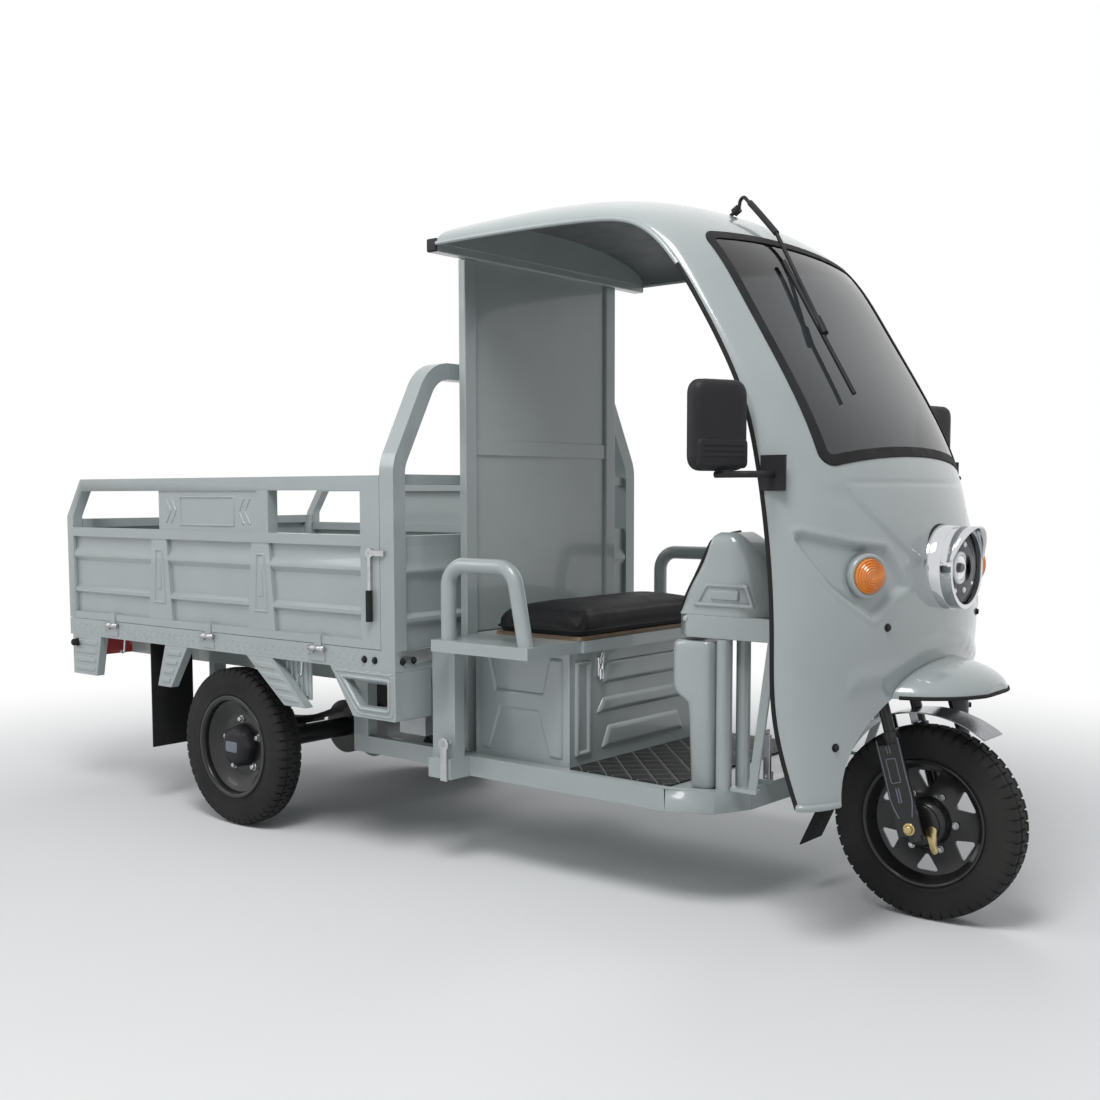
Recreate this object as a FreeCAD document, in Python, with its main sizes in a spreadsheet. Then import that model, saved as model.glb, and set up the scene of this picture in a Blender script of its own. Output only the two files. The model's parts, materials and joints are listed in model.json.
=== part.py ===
"""Cargo tricycle with a half cab and a drop-side bed, as a parametric assembly.

Millimetres. +X forward, +Y left, +Z up. The model is drawn with the rear axle at x = 0 and written with
its origin on the ground, under the middle of its length.
"""

import FreeCAD, Part
import math
import os
import re

import Sketcher

Vector = FreeCAD.Vector
Rotation = FreeCAD.Rotation
Placement = FreeCAD.Placement

# Driving dimensions: name, value, note
DIMS = [
    # whole
    ("wheelbase", 2199, "rear axle to front axle"),
    ("overrun", 20, "how far cutting tools pass the faces they cut"),
    ("run_gap", 0.05, "radial clearance of turning fits"),
    ("clear_gap", 0.3, "clearance between pieces that only sit together"),
    ("sheet", 3, "pressed steel sheet"),
    # wheels
    ("rear_tyre_radius", 264, "rear wheel on its tyre"),
    ("rear_tyre_round", 48, "section radius of a rear tyre"),
    ("front_tyre_radius", 253, "front wheel on its tyre"),
    ("front_tyre_round", 49, "section radius of the front tyre"),
    ("rim_radius", 168, "bead seat of the rims"),
    ("rim_wall", 10, "barrel thickness of the rims"),
    ("rim_half", 44, "half width of the rim barrels"),
    ("rear_wheel_y", 518, "rear wheel middle from the centre line"),
    ("disc_thickness", 8, "wheel disc"),
    ("disc_inset", 10, "rear disc face inside the wheel middle"),
    ("hub_cap_radius", 62, "hub cap at the disc"),
    ("hub_cap_nose", 46, "hub cap at its face"),
    ("hub_cap_length", 38, "hub cap"),
    ("drum_radius", 100, "brake drum outside"),
    ("drum_wall", 9, "brake drum wall"),
    ("drum_length", 52, "brake drum"),
    ("half_shaft_radius", 17, "drive shafts"),
    ("half_shaft_length", 250, "drive shaft inside the wheel disc"),
    ("spoke_hole_radius", 24, "holes of the front wheel disc"),
    ("spoke_hole_circle", 112, "circle of those holes"),
    ("spoke_holes", 6, "count of those holes"),
    ("front_hub_radius", 62, "front hub drum"),
    ("front_hub_half", 52, "half width of the front hub"),
    ("front_axle_radius", 8, "front axle"),
    ("front_axle_half", 124, "half length of the front axle"),
    # rear axle
    ("axle_tube_radius", 34, "axle housing tube"),
    ("axle_tube_half", 424, "half length of the axle housing"),
    ("back_plate_radius", 104, "brake back plates"),
    ("back_plate_thickness", 8, "brake back plates"),
    ("gear_case_radius", 96, "gear case on the axle"),
    ("gear_case_half", 62, "half width of the gear case"),
    ("motor_radius", 82, "drive motor"),
    ("motor_length", 190, "drive motor"),
    ("motor_ahead", 178, "motor axis ahead of the axle"),
    ("spring_y", 345, "leaf spring middle from the centre line"),
    ("leaf_width", 50, "leaf springs"),
    ("leaf_thickness", 8, "one leaf"),
    ("leaf_half_length", 380, "half length of the main leaf"),
    ("leaf_camber", 100, "rise of the main leaf's ends"),
    ("leaf_count", 4, "leaves in a pack"),
    ("spring_pad", 14, "pad between axle tube and spring"),
    ("eye_radius", 16, "spring eyes"),
    # main frame
    ("rail_y", 320, "inside of the main rails"),
    ("rail_width", 50, "main rails"),
    ("rail_height", 86, "main rails"),
    ("rail_rear_x", -866, "rear end of the main rails"),
    ("cross_width", 50, "frame cross members"),
    ("cross_height", 50, "frame cross members"),
    ("floor_beam_x", 393, "rear end of the low floor beams"),
    ("floor_beam_end_x", 1640, "front end of the floor beams"),
    ("floor_beam_y", 330, "inside of the floor beams"),
    ("floor_beam_width", 40, "floor beams"),
    ("floor_beam_height", 54, "floor beams"),
    ("upright_length", 67, "plates from floor beams up to the rails"),
    ("outrigger_x", 862, "outriggers behind the seat"),
    ("outrigger_length", 90, "outriggers"),
    ("outrigger_half", 500, "reach of the outriggers"),
    ("wing_post_y", 440, "posts under the seat wings"),
    ("wing_post_width", 40, "posts under the seat wings"),
    # cab floor
    ("floor_z", 326, "under side of the floor sheet"),
    ("floor_rim_height", 60, "edge beam of the floor"),
    ("floor_rim_rise", 6, "edge beam above the floor sheet's under side"),
    ("floor_rim_width", 32, "edge beam of the floor"),
    ("floor_half_width", 418, "floor over its edge beams"),
    ("floor_rear_x", 870, "rear edge of the floor"),
    ("floor_bend_x", 1650, "where the edge beams turn in"),
    ("floor_corner_x", 1772, "floor's front corners"),
    ("floor_corner_half", 366, "floor's front corners"),
    ("floor_nose_x", 1820, "floor's front corners, ahead"),
    ("floor_nose_half", 258, "floor's front corners, ahead"),
    ("floor_front_x", 1828, "front edge of the floor"),
    ("mat_thickness", 5, "rubber mat"),
    ("mat_gap", 12, "mat inside the floor's edges"),
    ("mat_front_x", 1640, "front edge of the mat"),
    # dash column
    ("column_outer_x", 1772, "outer column tubes"),
    ("column_outer_y", 322, "outer column tubes"),
    ("column_outer_radius", 21, "outer column tubes"),
    ("column_inner_x", 1797, "inner column tubes"),
    ("column_inner_y", 268, "inner column tubes"),
    ("column_inner_radius", 19, "inner column tubes"),
    ("belt_z", 728, "under side of the dash belt"),
    ("belt_height", 61, "dash belt"),
    ("belt_rear_x", 1614, "rear face of the belt"),
    ("belt_front_x", 1925, "front ends of the belt"),
    ("belt_half", 338, "half width of the belt"),
    ("belt_wall", 25, "belt wall"),
    ("belt_corner", 45, "belt rear corners"),
    ("bracket_thickness", 10, "head bracket plate"),
    ("leg_rear_x", 1621, "dash leg covers at the top"),
    ("leg_front_x", 1748, "dash leg covers"),
    ("leg_foot_rear_x", 1680, "dash leg covers at the floor"),
    ("leg_step_z", 556, "foot of the leg covers' step"),
    ("leg_step_rise", 30, "height of that step"),
    ("leg_inner_y", 236, "inside of the leg covers"),
    ("leg_width", 118, "leg covers"),
    ("leg_gap", 8, "leg covers under the belt"),
    ("cowl_height", 216, "dash cowl above the belt"),
    ("cowl_wall", 4, "dash cowl"),
    ("strut_x", 1850, "cab struts at the floor"),
    ("strut_width", 24, "cab struts"),
    ("strut_thickness", 8, "cab struts"),
    ("strut_height", 408, "cab struts"),
    ("strut_lean", 105, "forward lean of the cab struts"),
    ("strut_y", 326, "cab struts at the floor"),
    ("strut_spread", 86, "outward lean of the cab struts"),
    ("strut_foot", 10, "brackets under the cab struts"),
    # steering, in the fork's own frame
    ("rake", 16, "lean of the steering axis, degrees"),
    ("fork_offset", 26, "legs ahead of the steering axis"),
    ("leg_y", 95, "fork legs from the middle"),
    ("slider_radius", 21, "lower fork legs"),
    ("slider_foot", 34, "lower legs below the axle"),
    ("slider_height", 250, "lower legs above the axle"),
    ("stanchion_radius", 15, "upper fork legs"),
    ("stanchion_low", 130, "lower end of the upper legs above the axle"),
    ("yoke_height", 395, "lower yoke above the axle"),
    ("yoke_thickness", 28, "yokes"),
    ("yoke_half", 122, "half width of the yokes"),
    ("yoke_length", 84, "yokes fore and aft"),
    ("head_length", 120, "head tube"),
    ("head_radius", 30, "head tube"),
    ("stem_radius", 16, "steering stem"),
    ("stem_top", 845, "top of the stem above the axle"),
    ("bar_radius", 11, "handlebar tube"),
    ("bar_half", 300, "half length of the handlebar"),
    ("bar_clamp", 26, "handlebar clamp block, half size"),
    ("grip_radius", 17, "grips"),
    ("grip_length", 118, "grips"),
    ("grip_end", 6, "handlebar beyond the grips"),
    ("lever_length", 128, "brake lever"),
    ("lever_radius", 6, "brake lever"),
    ("lever_pivot", 46, "lever pivot ahead of the bar"),
    ("perch_width", 26, "lever perch on the bar"),
    ("pivot_radius", 4, "small hinge pins"),
    ("cover_width", 66, "fork leg covers"),
    ("cover_height", 236, "fork leg covers"),
    ("cover_thickness", 7, "fork leg covers"),
    # front mudguard
    ("guard_gap", 36, "mudguard off the tyre"),
    ("guard_wall", 4, "mudguard"),
    ("guard_half", 60, "half width of the mudguard"),
    ("guard_front", 35, "mudguard ahead of the top, degrees"),
    ("guard_span", 125, "mudguard from end to end, degrees"),
    ("guard_flap_height", 110, "rubber flap behind the front wheel"),
    ("guard_flap_thickness", 6, "rubber flap behind the front wheel"),
    ("guard_flap_lean", 52, "backward lean of that flap"),
    # bed
    ("bed_overhang", 926, "rear axle to the bed's rear face"),
    ("bed_length", 1746, "bed from tailgate to front posts"),
    ("bed_half", 591, "half width of the bed"),
    ("deck_rail_z", 586, "under side of the bed frame"),
    ("deck_rail_height", 61, "bed frame edge rails"),
    ("deck_rail_width", 40, "bed frame edge rails"),
    ("deck_sheet", 4, "deck plate"),
    ("joist_width", 40, "joists under the deck"),
    ("joist_count", 6, "joists under the deck"),
    ("post_depth", 58, "front posts fore and aft"),
    ("post_width", 48, "front posts across"),
    ("post_height", 610, "front posts up to where the hoop leans in"),
    ("hoop_height", 909, "top of the hoop above the bed frame's under side"),
    ("hoop_top_half", 436, "hoop's upper corners from the middle"),
    ("hoop_bend", 130, "outer radius of the hoop's upper bends"),
    ("wall_rail_height", 30, "rails of the front wall"),
    ("wall_rail_depth", 30, "rails of the front wall"),
    ("wall_height", 516, "front wall above the deck"),
    ("wall_panel_height", 306, "ribbed part of the front wall"),
    ("hinge_radius", 8, "gate hinge knuckles"),
    ("hinge_drop", 12, "gate hinge axis below the deck"),
    ("hinge_length", 64, "gate hinges"),
    ("hinge_leaf", 4, "gate hinge leaves"),
    ("hinge_leaf_height", 30, "gate hinge leaves"),
    # gates
    ("gate_gap", 2, "gates off the bed and off each other"),
    ("gate_height", 511, "side gates"),
    ("gate_thickness", 38, "gates"),
    ("gate_rear_height", 375, "rear end of a side gate"),
    ("gate_rear_post", 39, "rear end posts"),
    ("gate_front_post", 82, "front end posts"),
    ("gate_slant", 95, "slope of a side gate's rear end"),
    ("gate_bottom_rail", 25, "bottom rails"),
    ("gate_mid_rail", 32, "rails above the ribbed panels"),
    ("gate_top_rail", 43, "top rails"),
    ("gate_panel_height", 278, "ribbed panels"),
    ("panel_recess", 14, "ribbed panels behind the gate face"),
    ("panel_sheet", 4, "ribbed panels"),
    ("ridge_height", 12, "ridges of the ribbed panels"),
    ("badge_plate_x", -346, "pressed plate in the side gate's gap"),
    ("badge_plate_length", 541, "pressed plate"),
    ("badge_plate_thickness", 10, "pressed plate"),
    ("gap_post_width", 56, "post beside the pressed plate"),
    ("stiffener_rear_x", -347, "rear stiffener"),
    ("stiffener_front_x", 205, "front stiffener"),
    ("stiffener_top", 87, "stiffeners at the top"),
    ("stiffener_foot", 137, "stiffeners at the foot"),
    ("tail_height", 366, "tailgate"),
    ("tail_stiffener_y", 210, "tailgate stiffeners from the middle"),
    # latches
    ("latch_height", 284, "latch pivots above the gate's foot"),
    ("latch_boss_radius", 15, "latch bosses"),
    ("latch_boss", 10, "latch bosses"),
    ("latch_inset", 36, "latch pivots from the gate's end"),
    ("tongue_length", 62, "latch tongues"),
    ("tongue_height", 16, "latch tongues"),
    ("handle_length", 110, "latch handle bars"),
    ("handle_width", 12, "latch handle bars"),
    ("latch_grip_radius", 10, "rubber grips of the latches"),
    ("latch_grip_length", 92, "rubber grips of the latches"),
    # brackets under the bed
    ("bracket_depth", 30, "pressed brackets under the bed"),
    ("bracket_height", 146, "pressed brackets under the bed"),
    ("skirt_rear_x", -911, "rear corner skirts"),
    ("skirt_length", 190, "rear corner skirts"),
    ("skirt_taper", 34, "rear corner skirts"),
    ("rear_arch_x", -323, "brackets behind the rear wheels"),
    ("rear_arch_length", 128, "brackets behind the rear wheels"),
    ("rear_arch_foot_x", -371, "their feet"),
    ("rear_arch_foot", 78, "their feet"),
    ("front_arch_x", 126, "brackets ahead of the rear wheels"),
    ("front_arch_length", 132, "brackets ahead of the rear wheels"),
    ("front_arch_foot_x", 314, "their feet"),
    ("front_arch_foot", 106, "their feet"),
    ("corner_x", 535, "front corner brackets"),
    ("corner_foot_x", 636, "their feet"),
    ("corner_wall", 34, "frame of their windows"),
    ("corner_return", 150, "their returns across the front"),
    ("flap_x", -432, "rear mud flaps"),
    ("flap_thickness", 6, "rear mud flaps"),
    ("flap_outer", 578, "rear mud flaps from the middle"),
    ("flap_width", 170, "rear mud flaps"),
    ("flap_foot_z", 213, "rear mud flaps above the ground"),
    ("lamp_y", 400, "tail lamps from the middle"),
    ("lamp_width", 130, "tail lamps"),
    ("lamp_height", 70, "tail lamps"),
    ("lamp_depth", 16, "tail lamps"),
    ("lamp_drop", 22, "tail lamps below the bed frame"),
    ("lamp_plate", 12, "tail lamp carriers"),
    # cab rear
    ("pillar_x", 873, "rear pillars"),
    ("pillar_depth", 27, "rear pillars fore and aft"),
    ("pillar_width", 48, "rear pillars across"),
    ("pillar_half", 369, "outside of the rear pillars"),
    ("roof_beam", 38, "roof beam section"),
    ("roof_beam_x", 880, "rear face of the roof beam"),
    ("roof_beam_z", 1793, "under side of the roof beam"),
    ("roof_beam_half", 502, "half length of the roof beam"),
    ("back_panel_x", 884, "back panel"),
    ("back_panel_sheet", 5, "back panel"),
    ("back_band_z", 1222, "band across the back panel"),
    ("back_band_height", 46, "band across the back panel"),
    # seat
    ("box_x", 925, "rear of the seat box"),
    ("box_length", 360, "seat box"),
    ("box_half", 360, "half width of the seat box"),
    ("box_top_z", 656, "top of the seat box"),
    ("seat_plate_height", 34, "seat plate"),
    ("seat_plate_x", 905, "rear edge of the seat plate"),
    ("seat_plate_front_x", 1310, "front edge of the seat plate"),
    ("wing_x", 936, "rear end of the seat wings"),
    ("wing_front_x", 1300, "front end of the seat wings"),
    ("wing_half", 560, "seat over its wings"),
    ("bay_x", 1000, "rear edge of the opening under the cushion"),
    ("bay_front_x", 1262, "front edge of that opening"),
    ("bay_half", 326, "half width of that opening"),
    ("board_x", 988, "rear edge of the seat board"),
    ("board_front_x", 1304, "front edge of the seat board"),
    ("board_half", 336, "half width of the seat board"),
    ("board_thickness", 12, "seat board"),
    ("board_hinge_x", 974, "seat hinge axis"),
    ("board_hinge_rise", 9, "seat hinge axis above the plate"),
    ("board_hinge_y", 210, "seat hinges from the middle"),
    ("board_hinge_length", 50, "seat hinges"),
    ("cushion_x", 987, "rear of the cushion"),
    ("cushion_front_x", 1318, "front of the cushion"),
    ("cushion_half", 352, "half width of the cushion"),
    ("cushion_height", 66, "cushion at its edge"),
    ("cushion_crown", 14, "rise of the cushion's middle"),
    ("cushion_corner", 48, "corner radius of the cushion"),
    ("cushion_waist", 7, "how far the cushion's sides draw in"),
    ("arm_y", 530, "armrests from the middle"),
    ("arm_tube", 22, "armrest tube radius"),
    ("arm_rear_x", 978, "rear legs of the armrests"),
    ("arm_front_x", 1224, "front bends of the armrests"),
    ("arm_foot_x", 1272, "front feet of the armrests"),
    ("arm_rise", 214, "armrests above the seat plate, at the tube's axis"),
    ("arm_bend", 62, "armrest bends"),
    ("battery_gap", 40, "battery off the seat box walls"),
    ("battery_height", 230, "battery"),
    ("controller_set", 130, "motor controller behind the bed's front"),
    ("controller_length", 110, "motor controller"),
    ("controller_width", 80, "motor controller"),
    ("controller_height", 150, "motor controller"),
    ("controller_top", 26, "motor controller above the rails' under side"),
    ("park_x", 948, "parking brake base"),
    ("park_length", 70, "parking brake base"),
    ("park_width", 44, "parking brake base"),
    ("park_height", 62, "parking brake base"),
    ("park_y", 428, "parking brake base from the middle"),
    ("park_lever", 210, "parking brake lever"),
    ("park_lever_radius", 7, "parking brake lever"),
    ("park_eye_radius", 9, "parking brake lever's eye"),
    ("park_knob_radius", 13, "parking brake knob"),
    ("park_knob_length", 80, "parking brake knob"),
    # brakes
    ("rocker_x", 930, "brake rocker pivot"),
    ("rocker_z", 376, "brake rocker pivot"),
    ("rocker_arm", 108, "brake rocker"),
    ("rocker_width", 26, "brake rocker"),
    ("rocker_thickness", 8, "brake rocker"),
    ("rocker_boss", 20, "brake rocker boss radius"),
    ("rocker_pin", 9, "brake rocker pin radius"),
    ("pedal_x", 1832, "pedal pivot"),
    ("pedal_y", 200, "pedal to the right of the middle"),
    ("pedal_rise", 30, "pedal pivot above the floor sheet's under side"),
    ("pedal_arm", 120, "pedal arm"),
    ("pedal_width", 60, "pedal pad"),
    ("pedal_length", 74, "pedal pad"),
    ("pedal_thickness", 10, "pedal pad and arm"),
    # cab shell
    ("shell_rear_x", 918, "rear edge of the roof"),
    ("shell_length", 1322, "roof's rear edge to the nose"),
    ("shell_foot_z", 360, "lower ends of the cab shell"),
    ("shell_height", 1568, "cab shell"),
    ("shell_half", 505, "half width of the cab shell"),
    ("shell_wall", 5, "cab shell"),
    ("arch_half", 400, "half width of the wheel arch in the shell"),
    ("arch_height", 300, "wheel arch in the shell"),
    ("lip_root_half", 248, "front lip at the shell"),
    ("lip_tip_half", 66, "front lip at its tip"),
    ("lip_z", 603, "under side of the front lip"),
    ("lip_rise", 92, "front lip at the shell"),
    ("lip_tip_rise", 26, "front lip at its tip"),
    ("lip_root_x", 2120, "where the lip's form starts"),
    ("lip_tip_x", 2374, "tip of the front lip"),
    # windscreen
    ("screen_x", 1938, "middle of the windscreen"),
    ("screen_z", 1479, "middle of the windscreen"),
    ("screen_lean", 32.4, "lean of the windscreen, degrees"),
    ("screen_length", 700, "windscreen seal from top to foot"),
    ("screen_top_half", 400, "windscreen seal at the top"),
    ("screen_foot_half", 406, "windscreen seal at the foot"),
    ("screen_corner", 46, "windscreen corners"),
    ("screen_reach", 200, "reach of the windscreen's cutting tool"),
    ("seal_width", 28, "windscreen seal"),
    ("seal_proud", 4, "windscreen seal proud of the shell"),
    ("seal_lap", 11, "seal over the shell"),
    ("seal_web", 4, "seal between shell and glass"),
    # lamps
    ("head_lamp_x", 2243, "headlamp bezel's rear face"),
    ("head_lamp_z", 917, "headlamp"),
    ("bezel_radius", 104, "headlamp bezel"),
    ("bezel_depth", 44, "headlamp bezel"),
    ("bezel_wall", 11, "headlamp bezel"),
    ("bucket_radius", 84, "headlamp bucket behind the shell"),
    ("bucket_depth", 72, "headlamp bucket behind the shell"),
    ("lens_set", 14, "headlamp lens behind the bezel's front"),
    ("lens_thickness", 8, "headlamp lens"),
    ("signal_x", 2180, "turn signals"),
    ("signal_y", 338, "turn signals"),
    ("signal_z", 909, "turn signals"),
    ("signal_yaw", 28, "turn signals turned out, degrees"),
    ("signal_radius", 45, "turn signals"),
    ("signal_depth", 46, "turn signals"),
    ("signal_proud", 20, "turn signals proud of the shell"),
    ("signal_dome", 12, "domes of the turn signals"),
    # mirrors
    ("mirror_bracket_x", 1984, "mirror brackets"),
    ("mirror_bracket_z", 1112, "mirror brackets"),
    ("mirror_bracket_length", 66, "mirror brackets"),
    ("mirror_bracket_height", 84, "mirror brackets"),
    ("mirror_bracket_thickness", 7, "mirror brackets"),
    ("mirror_x", 1930, "mirror swivels"),
    ("mirror_y", 612, "mirror swivels"),
    ("mirror_arm_z", 1150, "mirror arms"),
    ("mirror_arm_radius", 8, "mirror arms"),
    ("mirror_pin_height", 60, "mirror swivel pins"),
    ("mirror_pin_radius", 6, "mirror swivel pins"),
    ("mirror_width", 154, "mirror heads"),
    ("mirror_height", 212, "mirror heads"),
    ("mirror_depth", 44, "mirror heads"),
    ("mirror_corner", 30, "corners of the mirror heads"),
    ("mirror_yaw", 22, "right mirror turned out, degrees"),
    ("mirror_left_yaw", -8, "left mirror turned out, degrees"),
    ("mirror_glass", 4, "mirror glass"),
    ("mirror_rim", 10, "mirror heads round the glass"),
    ("mirror_bush", 13, "mirror swivel bushes, radius"),
    # wiper
    ("wiper_x", 1592, "wiper spindle at the roof"),
    ("wiper_z", 1880, "wiper spindle at the roof"),
    ("wiper_y", 20, "wiper spindle to the right of the middle"),
    ("spindle_radius", 5, "wiper spindle"),
    ("spindle_reach", 26, "wiper spindle above the roof"),
    ("wiper_boss_radius", 12, "wiper boss"),
    ("wiper_boss_gap", 12, "wiper boss above the roof"),
    ("wiper_motor_radius", 32, "wiper motor"),
    ("wiper_motor_length", 62, "wiper motor"),
    ("wiper_motor_gap", 38, "wiper motor under the roof"),
    ("wiper_arm_radius", 5, "wiper arm"),
    ("wiper_blade_radius", 6, "wiper blade"),
    ("wiper_knee_x", 1624, "top of the wiper's neck"),
    ("wiper_knee_z", 1937, "top of the wiper's neck"),
    ("wiper_elbow_x", 1775, "wiper arm's elbow"),
    ("wiper_elbow_y", 85, "wiper arm's elbow"),
    ("wiper_elbow_z", 1799, "wiper arm's elbow"),
    ("wiper_block_x", 1973, "wiper arm's lower end"),
    ("wiper_block_z", 1516, "wiper arm's lower end"),
    ("wiper_block_y", 188, "wiper arm's lower end"),
    ("blade_top_x", 1840, "wiper blade's upper end"),
    ("blade_top_z", 1709, "wiper blade's upper end"),
    ("blade_top_y", 160, "wiper blade's upper end"),
    ("blade_foot_x", 2074, "wiper blade's lower end"),
    ("blade_foot_z", 1352, "wiper blade's lower end"),
    ("blade_foot_y", 214, "wiper blade's lower end"),
]

# Places worked out from the driving dimensions
PLACES = {
    "tail_reach": "bed_overhang + latch_boss + 2 * clear_gap + latch_grip_radius",
    "middle_x": "(wheelbase + front_tyre_radius - tail_reach) / 2",
    "bed_rear_x": "-bed_overhang",
    "bed_front_x": "bed_rear_x + bed_length",
    "post_x": "bed_front_x - post_depth",
    "controller_x": "bed_front_x - controller_set",
    "deck_top_z": "deck_rail_z + deck_rail_height",
    "rail_z": "deck_rail_z - rail_height",
    "gate_z": "deck_top_z + gate_gap",
    "gate_front_x": "post_x - gate_gap",
    "gate_length": "gate_front_x - bed_rear_x",
    "gate_face_y": "-bed_half",
    "gate_inner_y": "-bed_half + gate_thickness",
    "gate_panel_z": "gate_z + gate_bottom_rail",
    "gate_mid_z": "gate_panel_z + gate_panel_height",
    "gate_gap_z": "gate_mid_z + gate_mid_rail",
    "gate_top_z": "gate_z + gate_height",
    "gate_top_rail_z": "gate_top_z - gate_top_rail",
    "gate_rear_top_z": "gate_z + gate_rear_height",
    "gate_slope": "gate_slant / (gate_height - gate_rear_height)",
    "gate_top_x": "bed_rear_x + gate_rear_post + (gate_top_rail_z - gate_rear_top_z) * gate_slope",
    "panel_x": "bed_rear_x + gate_rear_post",
    "panel_end_x": "gate_front_x - gate_front_post",
    "panel_y": "gate_face_y + panel_recess",
    "hinge_y": "-bed_half - hinge_radius - clear_gap",
    "hinge_z": "deck_top_z - hinge_drop",
    "tail_half": "bed_half - gate_thickness - gate_gap",
    "tail_hinge_x": "bed_rear_x - hinge_radius - clear_gap",
    "tail_mid_z": "gate_z + tail_height - gate_mid_rail",
    "latch_z": "gate_z + latch_height",
    "latch_x": "gate_front_x - latch_inset",
    "tail_latch_y": "tail_half - latch_inset",
    "floor_top_z": "floor_z + sheet",
    "floor_rim_z": "floor_z + floor_rim_rise - floor_rim_height",
    "floor_rim_top_z": "floor_z + floor_rim_rise",
    "floor_inner": "floor_half_width - floor_rim_width",
    "floor_bend_inner_x": "floor_bend_x - floor_rim_width / 4",
    "floor_corner_inner_x": "floor_corner_x - floor_rim_width * 2 / 3",
    "floor_corner_inner": "floor_corner_half - floor_rim_width * 2 / 3",
    "floor_nose_inner_x": "floor_nose_x - floor_rim_width",
    "floor_nose_inner": "floor_nose_half - floor_rim_width / 4",
    "floor_beam_z": "floor_z - floor_beam_height",
    "seat_z": "box_top_z + seat_plate_height",
    "board_z": "seat_z + clear_gap",
    "cushion_z": "board_z + board_thickness",
    "board_hinge_z": "seat_z + board_hinge_rise",
    "belt_top_z": "belt_z + belt_height",
    "spring_z": "rear_tyre_radius + axle_tube_radius + spring_pad",
    "head_low": "yoke_height + yoke_thickness + clear_gap",
    "front_disc_y": "disc_thickness / 2",
    "bar_grip_y": "bar_half - grip_end - grip_length",
    "lamp_z": "deck_rail_z - lamp_drop - lamp_height",
    "arm_z": "seat_z + arm_rise",
    "bezel_front_x": "head_lamp_x + bezel_depth",
}

doc = FreeCAD.newDocument("cargo_tricycle")
NODES = []


def fill_sheets():
    """The driving sheet holds plain numbers, the second one the places that follow from them."""
    dims = doc.addObject("Spreadsheet::Sheet", "dims")
    for row, (alias, number, note) in enumerate(DIMS, 1):
        dims.set(f"A{row}", note)
        dims.set(f"B{row}", str(number))
        dims.setAlias(f"B{row}", alias)
    places = doc.addObject("Spreadsheet::Sheet", "places")
    for row, alias in enumerate(PLACES, 1):
        places.set(f"A{row}", alias)
        places.setAlias(f"B{row}", alias)
    for row, text in enumerate(PLACES.values(), 1):
        places.set(f"B{row}", "=" + bound(text))
    doc.recompute()
    return dims, places


DIM_NAMES = {alias for alias, number, note in DIMS}


def bound(text):
    """An expression over the sheets from one over plain names."""

    def owner(match):
        word = match.group()
        if word in PLACES:
            return "places." + word
        return "dims." + word if word in DIM_NAMES else word

    return re.sub(r"[a-z_]+", owner, text)


dims_sheet, places_sheet = fill_sheets()


def size(name):
    """The present value of a cell of either sheet."""
    return float((places_sheet if name in PLACES else dims_sheet).get(name))


def bind(obj, prop, text):
    obj.setExpression(prop, bound(text))


def move(obj, x="0", y="0", z="0"):
    for axis, text in zip("xyz", (x, y, z)):
        bind(obj, f"Placement.Base.{axis}", text)
    return obj


# Turns that lay a piece made along Z along another axis
LAY = {"x": Rotation(Vector(0, 1, 0), 90), "y": Rotation(Vector(1, 0, 0), -90), "z": Rotation()}


def box(name, x, y, z):
    """A box from (start, length) pairs along the three axes."""
    piece = doc.addObject("Part::Box", name)
    for prop, (start, length) in zip(("Length", "Width", "Height"), (x, y, z)):
        bind(piece, prop, length)
    return move(piece, x[0], y[0], z[0])


def rod(name, axis, at, radius, length):
    """A cylinder from the middle of its first end."""
    piece = doc.addObject("Part::Cylinder", name)
    bind(piece, "Radius", radius)
    bind(piece, "Height", length)
    piece.Placement = Placement(Vector(), LAY[axis])
    return move(piece, *at)


def cone(name, axis, at, radius, end_radius, length):
    piece = doc.addObject("Part::Cone", name)
    bind(piece, "Radius1", radius)
    bind(piece, "Radius2", end_radius)
    bind(piece, "Height", length)
    piece.Placement = Placement(Vector(), LAY[axis])
    return move(piece, *at)


def cut(name, base, tool):
    piece = doc.addObject("Part::Cut", name)
    piece.Base = base
    piece.Tool = tool
    return piece


def fuse(name, *pieces):
    piece = doc.addObject("Part::MultiFuse", name)
    piece.Shapes = list(pieces)
    return piece


def pipe(name, axis, at, radius, bore, length):
    """A tube with its bore right through."""
    outer = rod(name + "_outer", axis, at, radius, length)
    inner = rod(name + "_bore", axis, at, bore, length)
    return cut(name, outer, inner)


def group(name, *pieces):
    piece = doc.addObject("Part::Compound", name)
    piece.Links = list(pieces)
    return piece


def mirrored(source, name=None):
    """The same piece on the other side of the tricycle."""
    piece = doc.addObject("Part::Mirroring", name or source.Name + "_left")
    piece.Source = source
    piece.Normal = Vector(0, 1, 0)
    return piece


def pair(*pieces):
    return list(pieces) + [mirrored(piece) for piece in pieces]


def formed(name, shape):
    """A piece whose form the primitives and sketches don't reach."""
    piece = doc.addObject("Part::Feature", name)
    piece.Shape = shape
    return piece


def node(piece, label=None):
    piece.Label = label or piece.Name
    NODES.append(piece)
    return piece


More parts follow.
